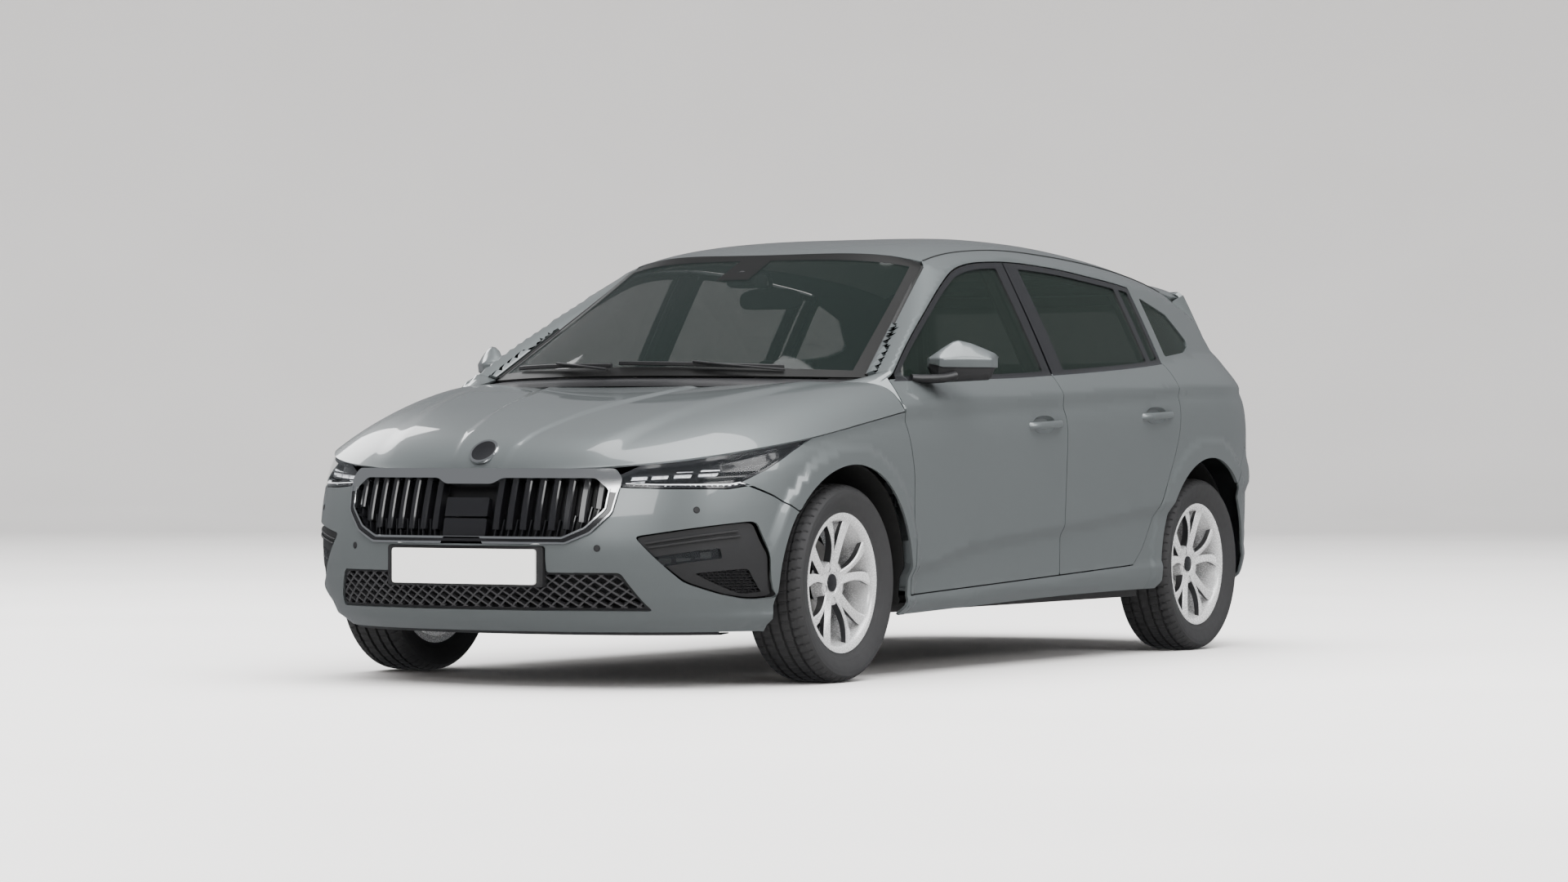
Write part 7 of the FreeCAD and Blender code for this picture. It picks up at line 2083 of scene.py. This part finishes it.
def slab_at(x, y, z, width, height, depth, lean=14, radius=0.012):
    ring = cornered(box(width, -height, height), radius, 0.02)
    flat = panel(ring, lambda u, v: np.stack([u, 0 * u, v], -1), (0, 1, 0), 0.05, depth=depth)
    turn = Matrix.Rotation(math.radians(lean), 4, "X")
    return flat.moved(Matrix.Translation((x, y, z)) @ turn)


screens = slab_at(0, -0.534, 0.872, 0.105, 0.040, 0.014) + slab_at(0.365, -0.575, 0.893, 0.10,
                                                                   0.026, 0.010)
piece("dash_screens", screens, [gloss_black], "chassis", "dash_plastic")
vents = joined([slab_at(x, -0.540, 0.812 + 0.010 * k, 0.052, 0.0022, 0.008, 20, 0.001)
                for x in (-0.58, -0.17, 0.17, 0.58) for k in range(4)])
piece("dash_vents", vents, [chrome], "chassis", "dash_plastic")
console = [[(x, y, z - abs(x) ** 2) for x in np.linspace(-0.105, 0.105, 9)]
           for y, z in ((-0.58, 0.66), (-0.50, 0.56), (-0.42, 0.50), (-0.2, 0.475), (0.1, 0.48),
                        (0.30, 0.50))]
console = sheet(console, 0.02, (0, 0, 1))
lever = swept([(0, -0.36, 0.48), (0, -0.372, 0.54), (0, -0.376, 0.585)],
              round_section(0.015, 14), (0, 1.0, 0))
piece("centre_console", console + lever, [inner_plastic], "chassis", "dash_plastic", sharp=60)

# %% Steering wheel
leather = grained("wheel_leather", (0.016, 0.016, 0.016), 0.5, 900, 0.4)
rings = []
for a in circle(96):
    grip = 0.0135 + 0.0012 * math.cos(2 * a) ** 8
    section = [(0.1715 + grip * math.cos(b), grip * 1.05 * math.sin(b)) for b in circle(20)]
    rings.append([(r * math.cos(a), r * math.sin(a), h) for r, h in section])
wheel_ring = grid(rings, closed_rows=True, closed_columns=True)
boss_pad = disc_profile([(0.0, 0.004), (0.030, 0.003), (0.048, -0.001), (0.054, -0.012),
                         (0.052, -0.040), (0.0, -0.042)], 48)
arms = []
for degrees, wide in ((0, 0.020), (180, 0.020), (270, 0.016)):
    angle = math.radians(degrees)
    path = np.array([(r * math.cos(angle), r * math.sin(angle), -0.016 + 0.014 * (r / 0.17) ** 2)
                     for r in np.linspace(0.035, 0.163, 12)])
    arms.append(swept(path, bar_section(wide * 2, 0.012)))
axis_turn = Vector((0, math.cos(math.radians(24)), math.sin(math.radians(24))))
right = Vector((1, 0, 0))
upward = axis_turn.cross(right)
basis = Matrix((right, upward, axis_turn)).transposed().to_4x4()
wheel_place = Matrix.Translation((0.365, -0.395, 0.800)) @ basis
column = disc_profile([(0.0, -0.04), (0.0275, -0.04), (0.0275, -0.22), (0.0, -0.22)], 32)
hand_wheel = wheel_ring + boss_pad + joined(arms)
hand_wheel.tints = ([0] * len(wheel_ring.faces) + [1] * len(boss_pad.faces)
                    + [1] * sum(len(arm.faces) for arm in arms))
piece("hand_wheel_ring", hand_wheel.moved(wheel_place), [leather, inner_plastic], "hand_wheel",
      "wheel_leather", "steering_wheel", 50)
piece("column_cover", column.moved(wheel_place), [inner_plastic], "chassis", "dash_plastic",
      sharp=50)

# %% [markdown]
# ## Inside linings
# A pale headlining under the roof, dark linings on the pillars and a shelf behind the rear seat
# close the cabin, so that only the windows let light in. The inner mirror and the sensor housing
# at the top of the windscreen finish it.

# %% Linings
lining_y = roof_y[4:-4:4, ::5]
lining_x = roof_x[4:-4:4, ::5] * 0.97
piece("headlining", sheet(np.stack([lining_x, lining_y, roof_z(lining_x, lining_y) - 0.035], -1),
                          0.004, (0, 0, 1)), [headlining], "chassis", "dash_plastic")
shelf = [[(x, y, 0.945 + 0.02 * (y - 1.2)) for x in np.linspace(-0.56, 0.56, 12)]
         for y in np.linspace(1.24, 1.66, 8)]
piece("parcel_shelf", sheet(shelf, 0.012, (0, 0, 1)), [inner_plastic], "chassis",
      "dash_plastic")
post_rows = []
for z in np.linspace(0.29, 1.345, 30):
    face = float(body_x(np.array(0.14), np.array(z))) - 0.048
    post_rows.append([(face, 0.09, z), (face + 0.014, 0.105, z), (face + 0.014, 0.185, z),
                      (face, 0.20, z)])
piece("door_posts", both(sheet(post_rows, 0.020, (1, 0, 0))), [inner_plastic], "chassis",
      "dash_plastic", sharp=50)
mirror_arm_place = np.stack(screen_point(np.array([0.0]), np.array([0.86])), -1)[0]
housing = pad(0.12, 0.10, 0.05).tinted(0)
piece("sensor_housing", housing.moved(Matrix.Translation(Vector(mirror_arm_place)
                                                         + Vector((0, 0.035, -0.030)))),
      [inner_plastic], "chassis", "dash_plastic", sharp=60)
inner_mirror = pad(0.24, 0.028, 0.062).tinted(0)
piece("inner_mirror", inner_mirror.moved(Matrix.Translation((0, -0.300, 1.235))),
      [inner_plastic], "chassis", "dash_plastic", sharp=60)
stalk = swept([(0, -0.300, 1.262), (0, -0.306, 1.300), (0, -0.318, 1.322)],
              round_section(0.008, 12), (0, 1.0, 0))
piece("inner_mirror_stalk", stalk, [inner_plastic], "chassis", "dash_plastic", sharp=60)

# %% [markdown]
# ## The CAD nodes that stay
# The chassis, the suspension, the engine block and the exhaust keep their CAD shape, which is
# right, and get a finish each.

# %% Finishes for the CAD nodes
floor_coating = grained("floor_coating", (0.022, 0.022, 0.023), 0.8, 160, 0.5)
kept = {"floor_pan": floor_coating, "bulkhead": chassis_steel, "front_frame": chassis_steel,
        "engine_block": engine_metal, "arch_liners": under_plastic, "knuckle_left": cast_metal,
        "knuckle_right": cast_metal, "front_suspension": chassis_steel,
        "rear_axle": chassis_steel, "exhaust": exhaust_metal}
for name, finish in kept.items():
    thing = frame["nodes"][name]
    if not thing.material_slots:
        thing.data.materials.append(finish.material)
    for material_slot in thing.material_slots:
        material_slot.material = finish.material
print("CAD nodes with a new finish", len(kept))
